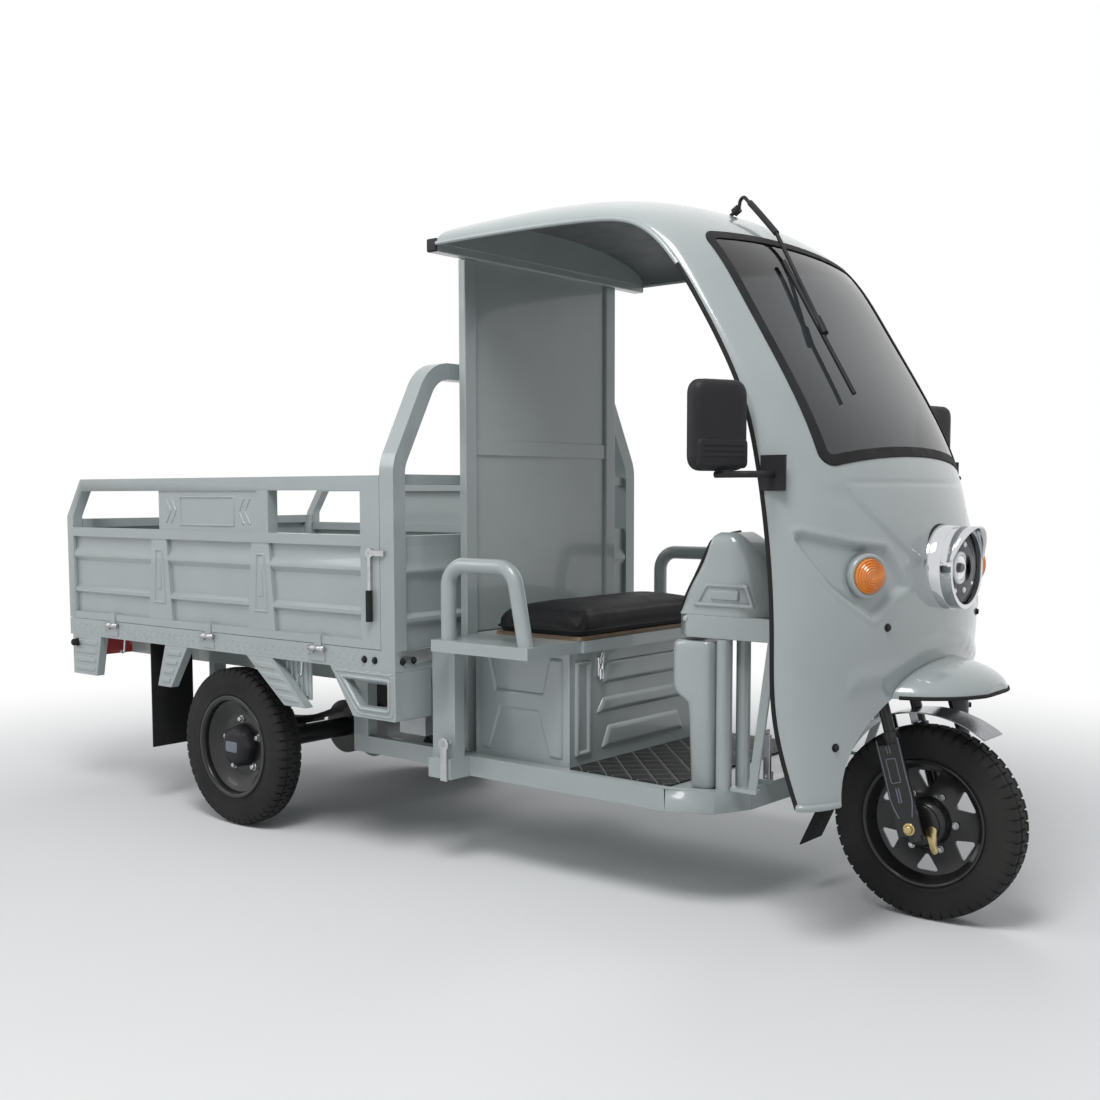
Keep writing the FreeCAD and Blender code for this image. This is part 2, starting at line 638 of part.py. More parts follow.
def outline_body(name, plane, outline, start, depth):
    """A padded outline. XY pads up, YZ forward, and XZ to the right, all from start."""
    body = doc.addObject("PartDesign::Body", name)
    sketch = body.newObject("Sketcher::SketchObject", name + "_outline")
    support = [item for item in body.Origin.OriginFeatures if item.Role == plane + "_Plane"][0]
    sketch.AttachmentSupport = [(support, "")]
    sketch.MapMode = "FlatFace"
    bind(sketch, "AttachmentOffset.Base.z", f"-({start})" if plane == "XZ" else start)
    count = len(outline)
    turn = 2 * math.pi / count
    ring = [Vector(math.cos(turn * i), math.sin(turn * i), 0) for i in range(count)]
    sketch.addGeometry([Part.LineSegment(ring[i], ring[(i + 1) % count]) for i in range(count)], False)
    sketch.addConstraint([Sketcher.Constraint("Coincident", i, 2, (i + 1) % count, 1) for i in range(count)])
    for i, corner in enumerate(outline):
        for kind, now, text in zip(("DistanceX", "DistanceY"), ring[i], corner):
            index = sketch.addConstraint(Sketcher.Constraint(kind, -1, 1, i, 1, now))
            bind(sketch, f"Constraints[{index}]", text)
    pad = body.newObject("PartDesign::Pad", name + "_pad")
    pad.Profile = sketch
    bind(pad, "Length", depth)
    return body


def rounded(corners, radii):
    """A closed wire through corners, each rounded by its radius."""
    count = len(corners)
    joints = []
    for i, corner in enumerate(corners):
        back = (corners[i - 1] - corner).normalize()
        ahead = (corners[(i + 1) % count] - corner).normalize()
        half = back.getAngle(ahead) / 2
        reach = radii[i] / math.tan(half)
        inward = (back + ahead).normalize() * (radii[i] / math.sin(half) - radii[i])
        joints.append((corner + back * reach, corner + inward, corner + ahead * reach))
    edges = []
    for i, (start, middle, end) in enumerate(joints):
        edges.append(Part.Arc(start, middle, end).toShape())
        edges.append(Part.LineSegment(end, joints[(i + 1) % count][0]).toShape())
    return Part.Wire(edges)


def tube(points, bend, radius):
    """A round bar along straight runs joined by tangent bends."""
    edges = []
    last = points[0]
    for before, corner, after in zip(points, points[1:], points[2:]):
        back = (before - corner).normalize()
        ahead = (after - corner).normalize()
        half = back.getAngle(ahead) / 2
        reach = bend / math.tan(half)
        inward = (back + ahead).normalize() * (bend / math.sin(half) - bend)
        edges.append(Part.LineSegment(last, corner + back * reach).toShape())
        last = corner + ahead * reach
        edges.append(Part.Arc(corner + back * reach, corner + inward, last).toShape())
    edges.append(Part.LineSegment(last, points[-1]).toShape())
    ring = Part.Wire(Part.Circle(points[0], points[1] - points[0], radius).toShape())
    return Part.Wire(edges).makePipeShell([ring], True, False)


def shift(share, start, length):
    return start + share * length


# Wheels


def tyre(name, centre, radius, section):
    """A round tyre bored to sit on its rim; the bore's seam is turned away from the ring's."""
    x, y, z = centre
    ring = doc.addObject("Part::Torus", name + "_ring")
    bind(ring, "Radius1", f"{radius} - {section}")
    bind(ring, "Radius2", section)
    ring.Placement = Placement(Vector(), LAY["y"])
    move(ring, x, y, z)
    bore = rod(name + "_bore", "y", (x, f"{y} - {section} - overrun", z), "rim_radius + clear_gap",
               f"2 * ({section} + overrun)")
    bore.Placement.Rotation = LAY["y"].multiply(Rotation(Vector(0, 0, 1), 90))
    return cut(name, ring, bore)


def rear_wheel():
    """The right rear wheel, then its mirror: tyre, and a rim with disc, drum, shaft and hub cap."""
    centre = ("0", "-rear_wheel_y", "rear_tyre_radius")
    tyre_right = node(tyre("rear_tyre_right", centre, "rear_tyre_radius", "rear_tyre_round"))
    node(mirrored(tyre_right, "rear_tyre_left"))
    face = "-rear_wheel_y + disc_inset"
    inside = face + " + disc_thickness"
    z = centre[2]
    rim_right = node(group(
        "rear_rim_right",
        pipe("rear_barrel", "y", ("0", "-rear_wheel_y - rim_half", z), "rim_radius", "rim_radius - rim_wall",
             "2 * rim_half"),
        rod("rear_disc", "y", ("0", face, z), "rim_radius - rim_wall", "disc_thickness"),
        pipe("rear_drum", "y", ("0", inside, z), "drum_radius", "drum_radius - drum_wall", "drum_length"),
        rod("half_shaft", "y", ("0", inside, z), "half_shaft_radius", "half_shaft_length"),
        cone("hub_cap", "y", ("0", face + " - hub_cap_length", z), "hub_cap_nose", "hub_cap_radius",
             "hub_cap_length"),
    ))
    node(mirrored(rim_right, "rear_rim_left"))


def front_wheel():
    centre = ("wheelbase", "0", "front_tyre_radius")
    node(tyre("front_tyre", centre, "front_tyre_radius", "front_tyre_round"))
    z = centre[2]
    disc = pipe("front_disc_plate", "y", ("wheelbase", "-front_disc_y", z), "rim_radius - rim_wall",
                "front_hub_radius", "disc_thickness")
    holes = []
    for i in range(int(size("spoke_holes"))):
        turn = f"{i} * 360 deg / spoke_holes"
        holes.append(rod(f"spoke_hole_{i}", "y", (f"wheelbase + spoke_hole_circle * cos({turn})",
                                                   "-disc_thickness",
                                                   f"{z} + spoke_hole_circle * sin({turn})"),
                         "spoke_hole_radius", "2 * disc_thickness"))
    node(group(
        "front_rim",
        pipe("front_barrel", "y", ("wheelbase", "-rim_half", z), "rim_radius", "rim_radius - rim_wall",
             "2 * rim_half"),
        cut("front_disc", disc, group("spoke_hole_set", *holes)),
        pipe("front_hub", "y", ("wheelbase", "-front_hub_half", z), "front_hub_radius",
             "front_axle_radius + run_gap", "2 * front_hub_half"),
    ))


# Rear axle and springs


def rear_axle():
    z = "rear_tyre_radius"
    tube_outer = rod("axle_tube", "y", ("0", "-axle_tube_half", z), "axle_tube_radius", "2 * axle_tube_half")
    case = rod("gear_case", "y", ("0", "-gear_case_half", z), "gear_case_radius", "2 * gear_case_half")
    plate = rod("back_plate", "y", ("0", "-axle_tube_half", z), "back_plate_radius", "back_plate_thickness")
    pad = box("spring_pad_block", ("-leaf_width / 2", "leaf_width"),
              ("-spring_y - leaf_width / 2", "leaf_width"),
              (z, "axle_tube_radius + spring_pad"))
    bore = rod("axle_bore", "y", ("0", "-axle_tube_half", z), "half_shaft_radius + run_gap",
               "2 * axle_tube_half")
    solid = fuse("axle_solid", tube_outer, case, *pair(plate, pad))
    node(cut("rear_axle_housing", solid, bore))
    node(rod("drive_motor", "y", ("motor_ahead", "-motor_length / 2", z), "motor_radius", "motor_length"))


def leaf(level, half_length):
    """One leaf, a bar bent to an arc; all leaves of a pack are bent about one centre."""
    thick = size("leaf_thickness")
    main, camber = size("leaf_half_length"), size("leaf_camber")
    radius = (main ** 2 + camber ** 2) / (2 * camber) + (size("leaf_count") - 1 - level) * thick
    low = size("spring_z") + level * thick
    y = -size("spring_y") - size("leaf_width") / 2

    def bow(base, bend):
        rise = bend - math.sqrt(bend ** 2 - half_length ** 2)
        return Part.Arc(Vector(-half_length, y, base + rise), Vector(0, y, base),
                        Vector(half_length, y, base + rise)).toShape()

    under, upper = bow(low, radius), bow(low + thick, radius - thick)
    ends = [Part.LineSegment(under.Vertexes[i].Point, upper.Vertexes[i].Point).toShape() for i in (0, -1)]
    face = Part.Face(Part.Wire([under, ends[1], upper, ends[0]]))
    return face.extrude(Vector(0, size("leaf_width"), 0))


def leaf_springs():
    """Packs of leaves, the longest on top, with eyes that reach up to hangers on the rails."""
    count = int(size("leaf_count"))
    leaves = [leaf(level, size("leaf_half_length") * (level + 1) / count) for level in range(count)]
    right = formed("spring_pack", Part.makeCompound(leaves))
    node(group("leaf_springs", *pair(right)))


def spring_hangers():
    """Brackets on the rails that hold the springs' ends."""
    pieces = []
    top = "spring_z + leaf_count * leaf_thickness + leaf_camber + leaf_thickness / 4"
    for name, start in (("rear", "-leaf_half_length"), ("front", "leaf_half_length - 2 * eye_radius")):
        pieces += pair(box(f"{name}_hanger", (start, "2 * eye_radius"),
                           ("-spring_y - leaf_width / 2", "leaf_width"), (top, f"rail_z - ({top})")))
    return pieces


# Frame


def chassis_frame():
    rail = box("main_rail", ("rail_rear_x", "bed_front_x - rail_rear_x"),
               ("-rail_y - rail_width", "rail_width"),
               ("rail_z", "rail_height"))
    beam = box("floor_beam", ("floor_beam_x", "floor_beam_end_x - floor_beam_x"),
               ("-floor_beam_y - floor_beam_width", "floor_beam_width"),
               ("floor_beam_z", "floor_beam_height"))
    upright = box("upright", ("floor_beam_x", "upright_length"),
                  ("-floor_beam_y - floor_beam_width", "floor_beam_width"), ("floor_z", "rail_z - floor_z"))
    outrigger = box("outrigger", ("outrigger_x", "outrigger_length"),
                    ("-outrigger_half", "outrigger_half - floor_half_width"),
                    ("floor_rim_z", "floor_rim_height"))
    post = box("wing_post", ("outrigger_x", "outrigger_length"),
               ("-wing_post_y - wing_post_width", "wing_post_width"),
               ("floor_rim_top_z", "box_top_z - floor_rim_top_z"))
    pieces = pair(rail, beam, upright, outrigger, post) + spring_hangers()
    for name, start in (("rear", "rail_rear_x"), ("middle", "floor_beam_x"),
                        ("front", "bed_front_x - cross_width")):
        pieces.append(box(f"{name}_cross", (start, "cross_width"), ("-rail_y", "2 * rail_y"),
                          ("deck_rail_z - cross_height", "cross_height")))
    for name, start in (("pillar", "floor_rear_x"), ("seat", "box_x + box_length"),
                        ("column", "floor_beam_end_x - cross_width")):
        pieces.append(box(f"{name}_floor_cross", (start, "cross_width"),
                          ("-floor_beam_y", "2 * floor_beam_y"),
                          ("floor_z - cross_height", "cross_height")))
    outer = rod("outer_column", "z", ("column_outer_x", "-column_outer_y", "floor_rim_top_z"),
                "column_outer_radius",
                "belt_z - floor_rim_top_z")
    inner = rod("inner_column", "z", ("column_inner_x", "-column_inner_y", "floor_rim_top_z"),
                "column_inner_radius",
                "belt_z - floor_rim_top_z")
    foot = box("strut_foot_plate", ("column_inner_x", "strut_x + strut_width - column_inner_x"),
               ("-strut_y - strut_thickness / 2", "strut_width"), ("floor_rim_top_z", "strut_foot"))
    strut = formed("cab_strut", strut_form())
    rocker_pin = rod("rocker_pin_rod", "y",
                     ("rocker_x", "-outrigger_half - rocker_thickness - clear_gap", "rocker_z"),
                     "rocker_pin",
                     "outrigger_half + rocker_thickness + clear_gap - wing_post_y - wing_post_width")
    ear = box("pedal_ear", ("pedal_x - pedal_thickness", "2 * pedal_thickness"),
              ("-pedal_y + pedal_thickness / 2 + clear_gap", "pedal_thickness"),
              ("floor_rim_top_z", "floor_z + pedal_rise + pedal_thickness - floor_rim_top_z"))
    ear_foot = box("pedal_ear_foot", ("floor_nose_inner_x", "pedal_x - floor_nose_inner_x"),
                   ("-pedal_y + pedal_thickness / 2 + clear_gap", "pedal_thickness"),
                   ("floor_rim_top_z", "pedal_thickness"))
    pedal_pin = rod("pedal_pin", "y", ("pedal_x", "-pedal_y - pedal_thickness / 2", "floor_z + pedal_rise"),
                    "pivot_radius", "2 * pedal_thickness + clear_gap")
    pieces += pair(outer, inner, foot, strut)
    pieces += [rocker_pin, fuse("pedal_bracket", ear, ear_foot, pedal_pin), head_bracket()]
    node(group("chassis_frame", *pieces))


def strut_form():
    """The right cab strut, a flat bar that leans forward and outward."""
    foot = Vector(size("strut_x"), -size("strut_y"), size("floor_rim_top_z") + size("strut_foot"))
    wide, thick = Vector(size("strut_width"), 0, 0), Vector(0, size("strut_thickness") / 2, 0)
    ring = [foot - thick, foot - thick + wide, foot + thick + wide, foot + thick, foot - thick]
    run = Vector(size("strut_lean"), -size("strut_spread"), size("strut_height"))
    return Part.Face(Part.makePolygon(ring)).extrude(run)


def steering_frame(piece):
    """Sets a piece drawn in the fork's frame, whose origin is the front axle, at the fork's lean."""
    piece.Placement = Placement(Vector(), Rotation(Vector(0, -1, 0), size("rake")))
    bind(piece, "Placement.Rotation.Angle", "rake * 1 deg")
    return move(piece, "wheelbase", "0", "front_tyre_radius")


def head_bracket():
    """The head tube on a plate and a web from the column tubes."""
    plate = box("head_plate", ("belt_rear_x + belt_corner", "belt_front_x - belt_rear_x + belt_corner"),
                ("-belt_half + belt_wall", "2 * (belt_half - belt_wall)"), ("belt_z", "bracket_thickness"))
    web = box("head_web", ("column_outer_x", "belt_front_x - column_outer_x + belt_corner"),
              ("-column_inner_radius", "2 * column_inner_radius"), ("belt_z", "belt_height"))
    tube_local = group("head_tube_set", rod("head_tube", "z", ("-fork_offset", "0", "head_low"),
                                            "head_radius",
                                            "head_length"))
    hole_local = group("head_hole_set", rod("head_hole", "z", ("-fork_offset", "0", "head_low - overrun"),
                                            "stem_radius + run_gap", "head_length + 2 * overrun"))
    solid = fuse("head_solid", plate, web, steering_frame(tube_local))
    return cut("head_bracket", solid, steering_frame(hole_local))


def cab_floor():
    """Edge beams round the front corners, the floor sheet inside them, and a rubber mat."""
    outer = [("floor_rear_x", "-floor_half_width"), ("floor_bend_x", "-floor_half_width"),
             ("floor_corner_x", "-floor_corner_half"), ("floor_nose_x", "-floor_nose_half")]
    inner = [("floor_rear_x", "-floor_inner"), ("floor_bend_inner_x", "-floor_inner"),
             ("floor_corner_inner_x", "-floor_corner_inner"), ("floor_nose_inner_x", "-floor_nose_inner")]
    beams = []
    for i in range(len(outer) - 1):
        beams += pair(outline_body(f"floor_edge_{i}", "XY", (outer[i], outer[i + 1], inner[i + 1], inner[i]),
                                   "floor_rim_z", "floor_rim_height"))
    bar = outline_body("floor_front_bar", "XY", (
        outer[-1], ("floor_front_x", "0"), ("floor_nose_x", "floor_nose_half"),
        ("floor_nose_inner_x", "floor_nose_inner"), inner[-1]), "floor_rim_z", "floor_rim_height")
    across = [(x, f"-({y})") for x, y in inner[::-1]]
    plate = outline_body("floor_plate", "XY", inner + across, "floor_z", "sheet")
    node(group("floor_pan", *beams, bar, plate))
    half = "floor_inner - mat_gap"
    rear = "box_x + box_length + mat_gap"
    node(box("floor_mat", (rear, f"mat_front_x - ({rear})"), (f"-({half})", f"2 * ({half})"),
             ("floor_top_z", "mat_thickness")))


def cab_rear():
    pillar = box("rear_pillar", ("pillar_x", "pillar_depth"), ("-pillar_half", "pillar_width"),
                 ("floor_top_z", "roof_beam_z - floor_top_z"))
    beam = box("roof_beam_tube", ("roof_beam_x", "roof_beam"), ("-roof_beam_half", "2 * roof_beam_half"),
               ("roof_beam_z", "roof_beam"))
    node(group("cab_rear_frame", *pair(pillar), beam))
    inner = "pillar_half - pillar_width"
    upper = box("back_sheet", ("back_panel_x", "back_panel_sheet"), (f"-({inner})", f"2 * ({inner})"),
                ("seat_z", "roof_beam_z - seat_z"))
    band = box("back_band", ("back_panel_x + back_panel_sheet", "back_panel_sheet"),
               (f"-({inner})", f"2 * ({inner})"),
               ("back_band_z", "back_band_height"))
    node(group("cab_back_panel", upper, band))


# Seat


def seat():
    span = ("floor_top_z", "box_top_z - floor_top_z")
    side = box("box_side", ("box_x", "box_length"), ("-box_half", "sheet"), span)
    across = ("-box_half + sheet", "2 * (box_half - sheet)")
    front = box("box_front", ("box_x + box_length - sheet", "sheet"), across, span)
    back = box("box_back", ("box_x", "sheet"), across, span)
    node(group("seat_box", *pair(side), front, back))
    rise = ("box_top_z", "seat_plate_height")
    wing = box("seat_wing", ("wing_x", "wing_front_x - wing_x"), ("-wing_half", "wing_half - bay_half"),
               rise)
    strip = ("-bay_half", "2 * bay_half")
    rear = box("seat_rear_strip", ("seat_plate_x", "bay_x - seat_plate_x"), strip, rise)
    front_strip = box("seat_front_strip", ("bay_front_x", "seat_plate_front_x - bay_front_x"), strip, rise)
    pin = rod("seat_pin", "y", ("board_hinge_x", "-board_hinge_y - board_hinge_length", "board_hinge_z"),
              "pivot_radius", "2 * board_hinge_length")
    lug = box("seat_lug", ("board_hinge_x - pivot_radius", "2 * pivot_radius"),
              ("-board_hinge_y - board_hinge_length", "board_hinge_length - clear_gap"),
              ("seat_z", "board_hinge_rise + pivot_radius"))
    hinge = fuse("seat_hinge", pin, lug)
    node(group("seat_plate", *pair(wing, hinge), rear, front_strip))
    board = box("board_sheet", ("board_x", "board_front_x - board_x"), ("-board_half", "2 * board_half"),
                ("board_z", "board_thickness"))
    knuckle_at = ("board_hinge_x", "-board_hinge_y + clear_gap", "board_hinge_z")
    knuckle = rod("board_knuckle", "y", knuckle_at, "hinge_radius", "board_hinge_length - clear_gap")
    strap = box("board_strap", ("board_hinge_x", "board_x - board_hinge_x + sheet"),
                ("-board_hinge_y + clear_gap", "board_hinge_length - clear_gap"),
                ("board_hinge_z - pivot_radius", "2 * pivot_radius"))
    bore = rod("board_bore", "y", ("board_hinge_x", "-board_hinge_y", "board_hinge_z"),
               "pivot_radius + run_gap",
               "board_hinge_length")
    solid = fuse("board_solid", board, *pair(knuckle, strap))
    node(cut("seat_board", solid, group("board_bores", *pair(bore))))
    node(formed("seat_cushion", cushion_form()))
    node(formed("armrests", armrest_form()))
    node(box("battery_pack", ("box_x + battery_gap", "box_length - 2 * battery_gap"),
             ("-box_half + battery_gap", "2 * (box_half - battery_gap)"), ("floor_top_z", "battery_height")))


def cushion_ring(inset, z):
    """The cushion's outline at a height: round corners, and sides that draw in between them."""
    low = Vector(size("cushion_x") + inset, -size("cushion_half") + inset, z)
    high = Vector(size("cushion_front_x") - inset, size("cushion_half") - inset, z)
    corner = size("cushion_corner")
    waist = size("cushion_waist")
    slant = corner * (1 - math.sqrt(2) / 2)
    mid_x = (low.x + high.x) / 2
    points = [
        Vector(low.x + corner, low.y, z), Vector(mid_x, low.y + waist, z), Vector(high.x - corner, low.y, z),
        Vector(high.x - slant, low.y + slant, z),
        Vector(high.x, low.y + corner, z), Vector(high.x - waist, 0, z), Vector(high.x, high.y - corner, z),
        Vector(high.x - slant, high.y - slant, z),
        Vector(high.x - corner, high.y, z), Vector(mid_x, high.y - waist, z),
        Vector(low.x + corner, high.y, z),
        Vector(low.x + slant, high.y - slant, z),
        Vector(low.x, high.y - corner, z), Vector(low.x + waist, 0, z), Vector(low.x, low.y + corner, z),
        Vector(low.x + slant, low.y + slant, z),
    ]
    count = len(points)
    return Part.Wire([Part.Arc(points[i], points[i + 1], points[(i + 2) % count]).toShape()
                      for i in range(0, count, 2)])


# Inset as a share of the corner radius, and height as a share of the edge height, from the foot to the crown
CUSHION_SHARES = ((0.16, 0.0), (0.0, 0.3), (0.0, 0.62), (0.2, 0.92), (0.9, 1.0))


def cushion_form():
    rings = []
    for inset_share, height_share in CUSHION_SHARES:
        z = size("cushion_z") + height_share * size("cushion_height")
        rings.append(cushion_ring(inset_share * size("cushion_corner"), z))
    top = size("cushion_z") + size("cushion_height") + size("cushion_crown")
    crown_inset = ((size("cushion_front_x") - size("cushion_x")) / 2 - size("cushion_corner")
                   - size("cushion_waist"))
    rings.append(cushion_ring(crown_inset, top))
    return Part.makeLoft(rings, True, True)


def armrest_form():
    y = size("arm_y")
    arms = []
    for side in (-1, 1):
        arms.append(tube([Vector(size("arm_rear_x"), side * y, size("seat_z")),
                          Vector(size("arm_rear_x"), side * y, size("arm_z")),
                          Vector(size("arm_front_x"), side * y, size("arm_z")),
                          Vector(size("arm_foot_x"), side * y, size("seat_z") - size("overrun"))],
                         size("arm_bend"), size("arm_tube")))
    below = Part.makeBox(size("box_length"), 2 * size("wing_half"), size("seat_plate_height") * 2,
                         Vector(size("arm_rear_x"), -size("wing_half"),
                                size("seat_z") - size("seat_plate_height") * 2))
    return Part.makeCompound([arm.cut(below) for arm in arms])


def parking_brake():
    base = box("park_block", ("park_x", "park_length"), ("park_y", "park_width"), ("seat_z", "park_height"))
    slot = box("park_slot", ("park_x", "park_length"),
               ("park_y + park_width / 2 - park_lever_radius - clear_gap",
                "2 * (park_lever_radius + clear_gap)"),
               ("seat_z + park_height / 2 - park_lever_radius - clear_gap", "park_height"))
    pin = rod("park_pin", "y", ("park_x + park_length / 2", "park_y",
                                "seat_z + park_height / 2 + park_lever_radius"),
              "pivot_radius", "park_width")
    node(fuse("parking_brake_base", cut("park_slotted", base, slot), pin))
    axis = ("park_x + park_length / 2", "park_y + park_width / 2",
            "seat_z + park_height / 2 + park_lever_radius")
    bar = rod("park_bar", "x", axis, "park_lever_radius", "park_lever")
    eye = rod("park_eye", "y", (axis[0], axis[1] + " - park_lever_radius", axis[2]), "park_eye_radius",
              "2 * park_lever_radius")
    bore = rod("park_bore", "y", (axis[0], axis[1] + " - park_lever_radius - overrun", axis[2]),
               "pivot_radius + run_gap", "2 * park_lever_radius + 2 * overrun")
    knob = rod("park_knob", "x", (axis[0] + " + park_lever", axis[1], axis[2]), "park_knob_radius",
               "park_knob_length")
    node(group("parking_brake_lever", cut("park_lever_bar", fuse("park_lever_solid", bar, eye), bore), knob))


def foot_brake():
    """Pedal in front of the dash, and the rocker that its rod turns under the bed."""
    y = "-pedal_y - pedal_thickness / 2"
    z = "floor_z + pedal_rise"
    arm = box("pedal_bar", ("pedal_x - pedal_thickness", "2 * pedal_thickness"), (y, "pedal_thickness"),
              (f"{z} - pedal_thickness", "pedal_arm"))
    pad = box("pedal_pad", ("pedal_x - 2 * pedal_thickness", "pedal_thickness"),
              ("-pedal_y - pedal_width / 2", "pedal_width"),
              (f"{z} + pedal_arm - pedal_length", "pedal_length"))
    bore = rod("pedal_bore", "y", ("pedal_x", y + " - overrun", z), "pivot_radius + run_gap",
               "pedal_thickness + 2 * overrun")
    node(group("brake_pedal", cut("pedal_arm_bar", arm, bore), pad))
    face = "-outrigger_half - rocker_thickness - clear_gap"
    boss = rod("rocker_boss_disc", "y", ("rocker_x", face, "rocker_z"), "rocker_boss", "rocker_thickness")
    lever = box("rocker_bar", ("rocker_x - rocker_width / 2", "rocker_width"), (face, "rocker_thickness"),
                ("rocker_z - rocker_arm", "rocker_arm"))
    hole = rod("rocker_hole", "y", ("rocker_x", face + " - overrun", "rocker_z"), "rocker_pin + run_gap",
               "rocker_thickness + 2 * overrun")
    node(cut("brake_rocker", fuse("rocker_solid", boss, lever), hole))


# Dash


def dash():
    wall_half = "belt_half - belt_wall"
    front, rear = "belt_front_x", "belt_rear_x"
    outer = [(front, "-belt_half"), (f"{rear} + belt_corner", "-belt_half"),
             (rear, "-belt_half + belt_corner")]
    inner = [(f"{rear} + belt_wall", f"-({wall_half}) + belt_wall"),
             (f"{rear} + belt_corner", f"-({wall_half})"),
             (front, f"-({wall_half})")]
    flip = [(x, f"-({y})") for x, y in outer[::-1]]
    flip_inner = [(x, f"-({y})") for x, y in inner[::-1]]
    node(outline_body("dash_belt", "XY", outer + flip + flip_inner + inner, "belt_z", "belt_height"))
    leg = outline_body("dash_leg", "XZ", (
        ("leg_foot_rear_x", "floor_rim_top_z"), ("leg_front_x", "floor_rim_top_z"),
        ("leg_front_x", "belt_z - leg_gap"),
        ("leg_rear_x", "belt_z - leg_gap"), ("leg_rear_x", "leg_step_z + leg_step_rise"),
        ("leg_foot_rear_x", "leg_step_z")), "-leg_inner_y", "leg_width")
    node(group("dash_leg_covers", *pair(leg)))
    cowl = cowl_form(0).cut(cowl_form(size("cowl_wall")))
    node(formed("dash_cowls", Part.makeCompound([cowl, across_plane(cowl)])))


# Dash cowl sections: height share, then rear and front as shares of the belt's length,
# inner and outer sides as shares of the belt's half width
COWL_SHARES = ((0.0, 0.02, 0.95, 0.2, 0.985), (0.25, 0.1, 0.92, 0.23, 0.985), (0.5, 0.21, 0.84, 0.3, 0.98),
               (0.78, 0.31, 0.73, 0.42, 0.965), (0.95, 0.37, 0.62, 0.54, 0.94), (1.0, 0.42, 0.57, 0.6, 0.9))
COWL_CORNER_SHARE = 0.42


def cowl_form(inset):
    """The right cowl on the dash, a loft of rounded outlines; an inset gives its inside, open below."""
    rings = []
    start, length = size("belt_rear_x"), size("belt_front_x") - size("belt_rear_x")
    for height_share, rear_share, front_share, inner_share, outer_share in COWL_SHARES:
        z = size("belt_top_z") + height_share * size("cowl_height") - inset
        rear = shift(rear_share, start, length) + inset
        front = shift(front_share, start, length) - inset
        outer = -outer_share * size("belt_half") + inset
        inner = -inner_share * size("belt_half") - inset
        corners = [Vector(rear, outer, z), Vector(front, outer, z), Vector(front, inner, z),
                   Vector(rear, inner, z)]
        radius = min(front - rear, inner - outer) * COWL_CORNER_SHARE
        rings.append(rounded(corners, [radius / 3, radius, radius, radius / 3]))
    return Part.makeLoft(rings, True, False)


# Front fork


def fork():
    """Yokes with upper legs and stem, lower legs with the axle, and the covers on the lower legs."""
    legs = []
    for name, side in (("right", "-"), ("left", "")):
        legs.append(rod(f"stanchion_{name}", "z", ("0", f"{side}leg_y", "stanchion_low"), "stanchion_radius",
                        "yoke_height - stanchion_low + yoke_thickness"))
    yoke = box("lower_yoke", ("-fork_offset - yoke_length / 2", "yoke_length"),
               ("-yoke_half", "2 * yoke_half"),
               ("yoke_height", "yoke_thickness"))
    stem = rod("stem", "z", ("-fork_offset", "0", "yoke_height"), "stem_radius", "stem_top - yoke_height")
    collar = rod("stem_collar", "z", ("-fork_offset", "0", "head_low + head_length + clear_gap"),
                 "head_radius",
                 "yoke_thickness")
    node(steering_frame(group("fork_yoke", fuse("yoke_solid", yoke, stem, collar, *legs))))
    lower = []
    for name, side, out in (("right", "-", "-leg_y - slider_radius - cover_thickness"),
                            ("left", "", "leg_y + slider_radius")):
        slider = rod(f"slider_{name}", "z", ("0", f"{side}leg_y", "-slider_foot"), "slider_radius",
                     "slider_foot + slider_height")
        bore = rod(f"slider_bore_{name}", "z", ("0", f"{side}leg_y", "stanchion_low - overrun * 4"),
                   "stanchion_radius + run_gap", "slider_height")
        lower.append(cut(f"slider_tube_{name}", slider, bore))
        lower.append(box(f"fork_cover_{name}", ("-cover_width / 2", "cover_width"), (out, "cover_thickness"),
                         ("-slider_foot / 2", "cover_height")))
    gap = "leg_y - slider_radius"
    axle = rod("axle_middle", "y", ("0", f"-({gap})", "0"), "front_axle_radius", f"2 * ({gap})")
    node(steering_frame(group("fork_sliders", axle, *lower)))


def front_mudguard():
    """An arched guard over the front wheel, its flap behind, and lugs to the lower legs."""
    inner = "front_tyre_radius + guard_gap"
    turn = LAY["y"].multiply(Rotation(Vector(0, 0, 1), size("guard_front") - size("guard_span") - 90))
    sectors = []
    for name, radius in (("guard_outer", inner + " + guard_wall"), ("guard_inner", inner)):
        sector = doc.addObject("Part::Cylinder", name)
        bind(sector, "Radius", radius)
        bind(sector, "Height", "2 * guard_half")
        bind(sector, "Angle", "guard_span * 1 deg")
        sector.Placement = Placement(Vector(), turn)
        move(sector, "wheelbase", "-guard_half", "front_tyre_radius")
        sectors.append(sector)
    guard = cut("guard_arch", *sectors)
    top_x = "wheelbase - front_tyre_radius - guard_gap - guard_wall"
    flap = outline_body("guard_flap", "XZ", (
        (top_x, "front_tyre_radius"), (f"{top_x} - guard_flap_lean",
                                       "front_tyre_radius - guard_flap_height"),
        (f"{top_x} - guard_flap_lean + guard_flap_thickness", "front_tyre_radius - guard_flap_height"),
        (f"{top_x} + guard_flap_thickness", "front_tyre_radius")), "guard_half", "2 * guard_half")
    reach = "leg_y - stanchion_radius - clear_gap"
    lug = box("guard_lug", ("-slider_radius / 2", "slider_radius"),
              (f"-({reach})", f"{reach} - guard_half"), ("slider_height", "guard_wall"))
    cheek = box("guard_cheek", ("-slider_radius / 2", "slider_radius"),
                ("-guard_half - guard_wall", "guard_wall"),
                ("slider_height", f"{inner} + guard_wall - slider_height"))
    stay = fuse("guard_stay", lug, cheek)
    stays = [steering_frame(group(f"{piece.Name}_set", piece)) for piece in pair(stay)]
    node(group("front_mudguard", guard, flap, *stays))


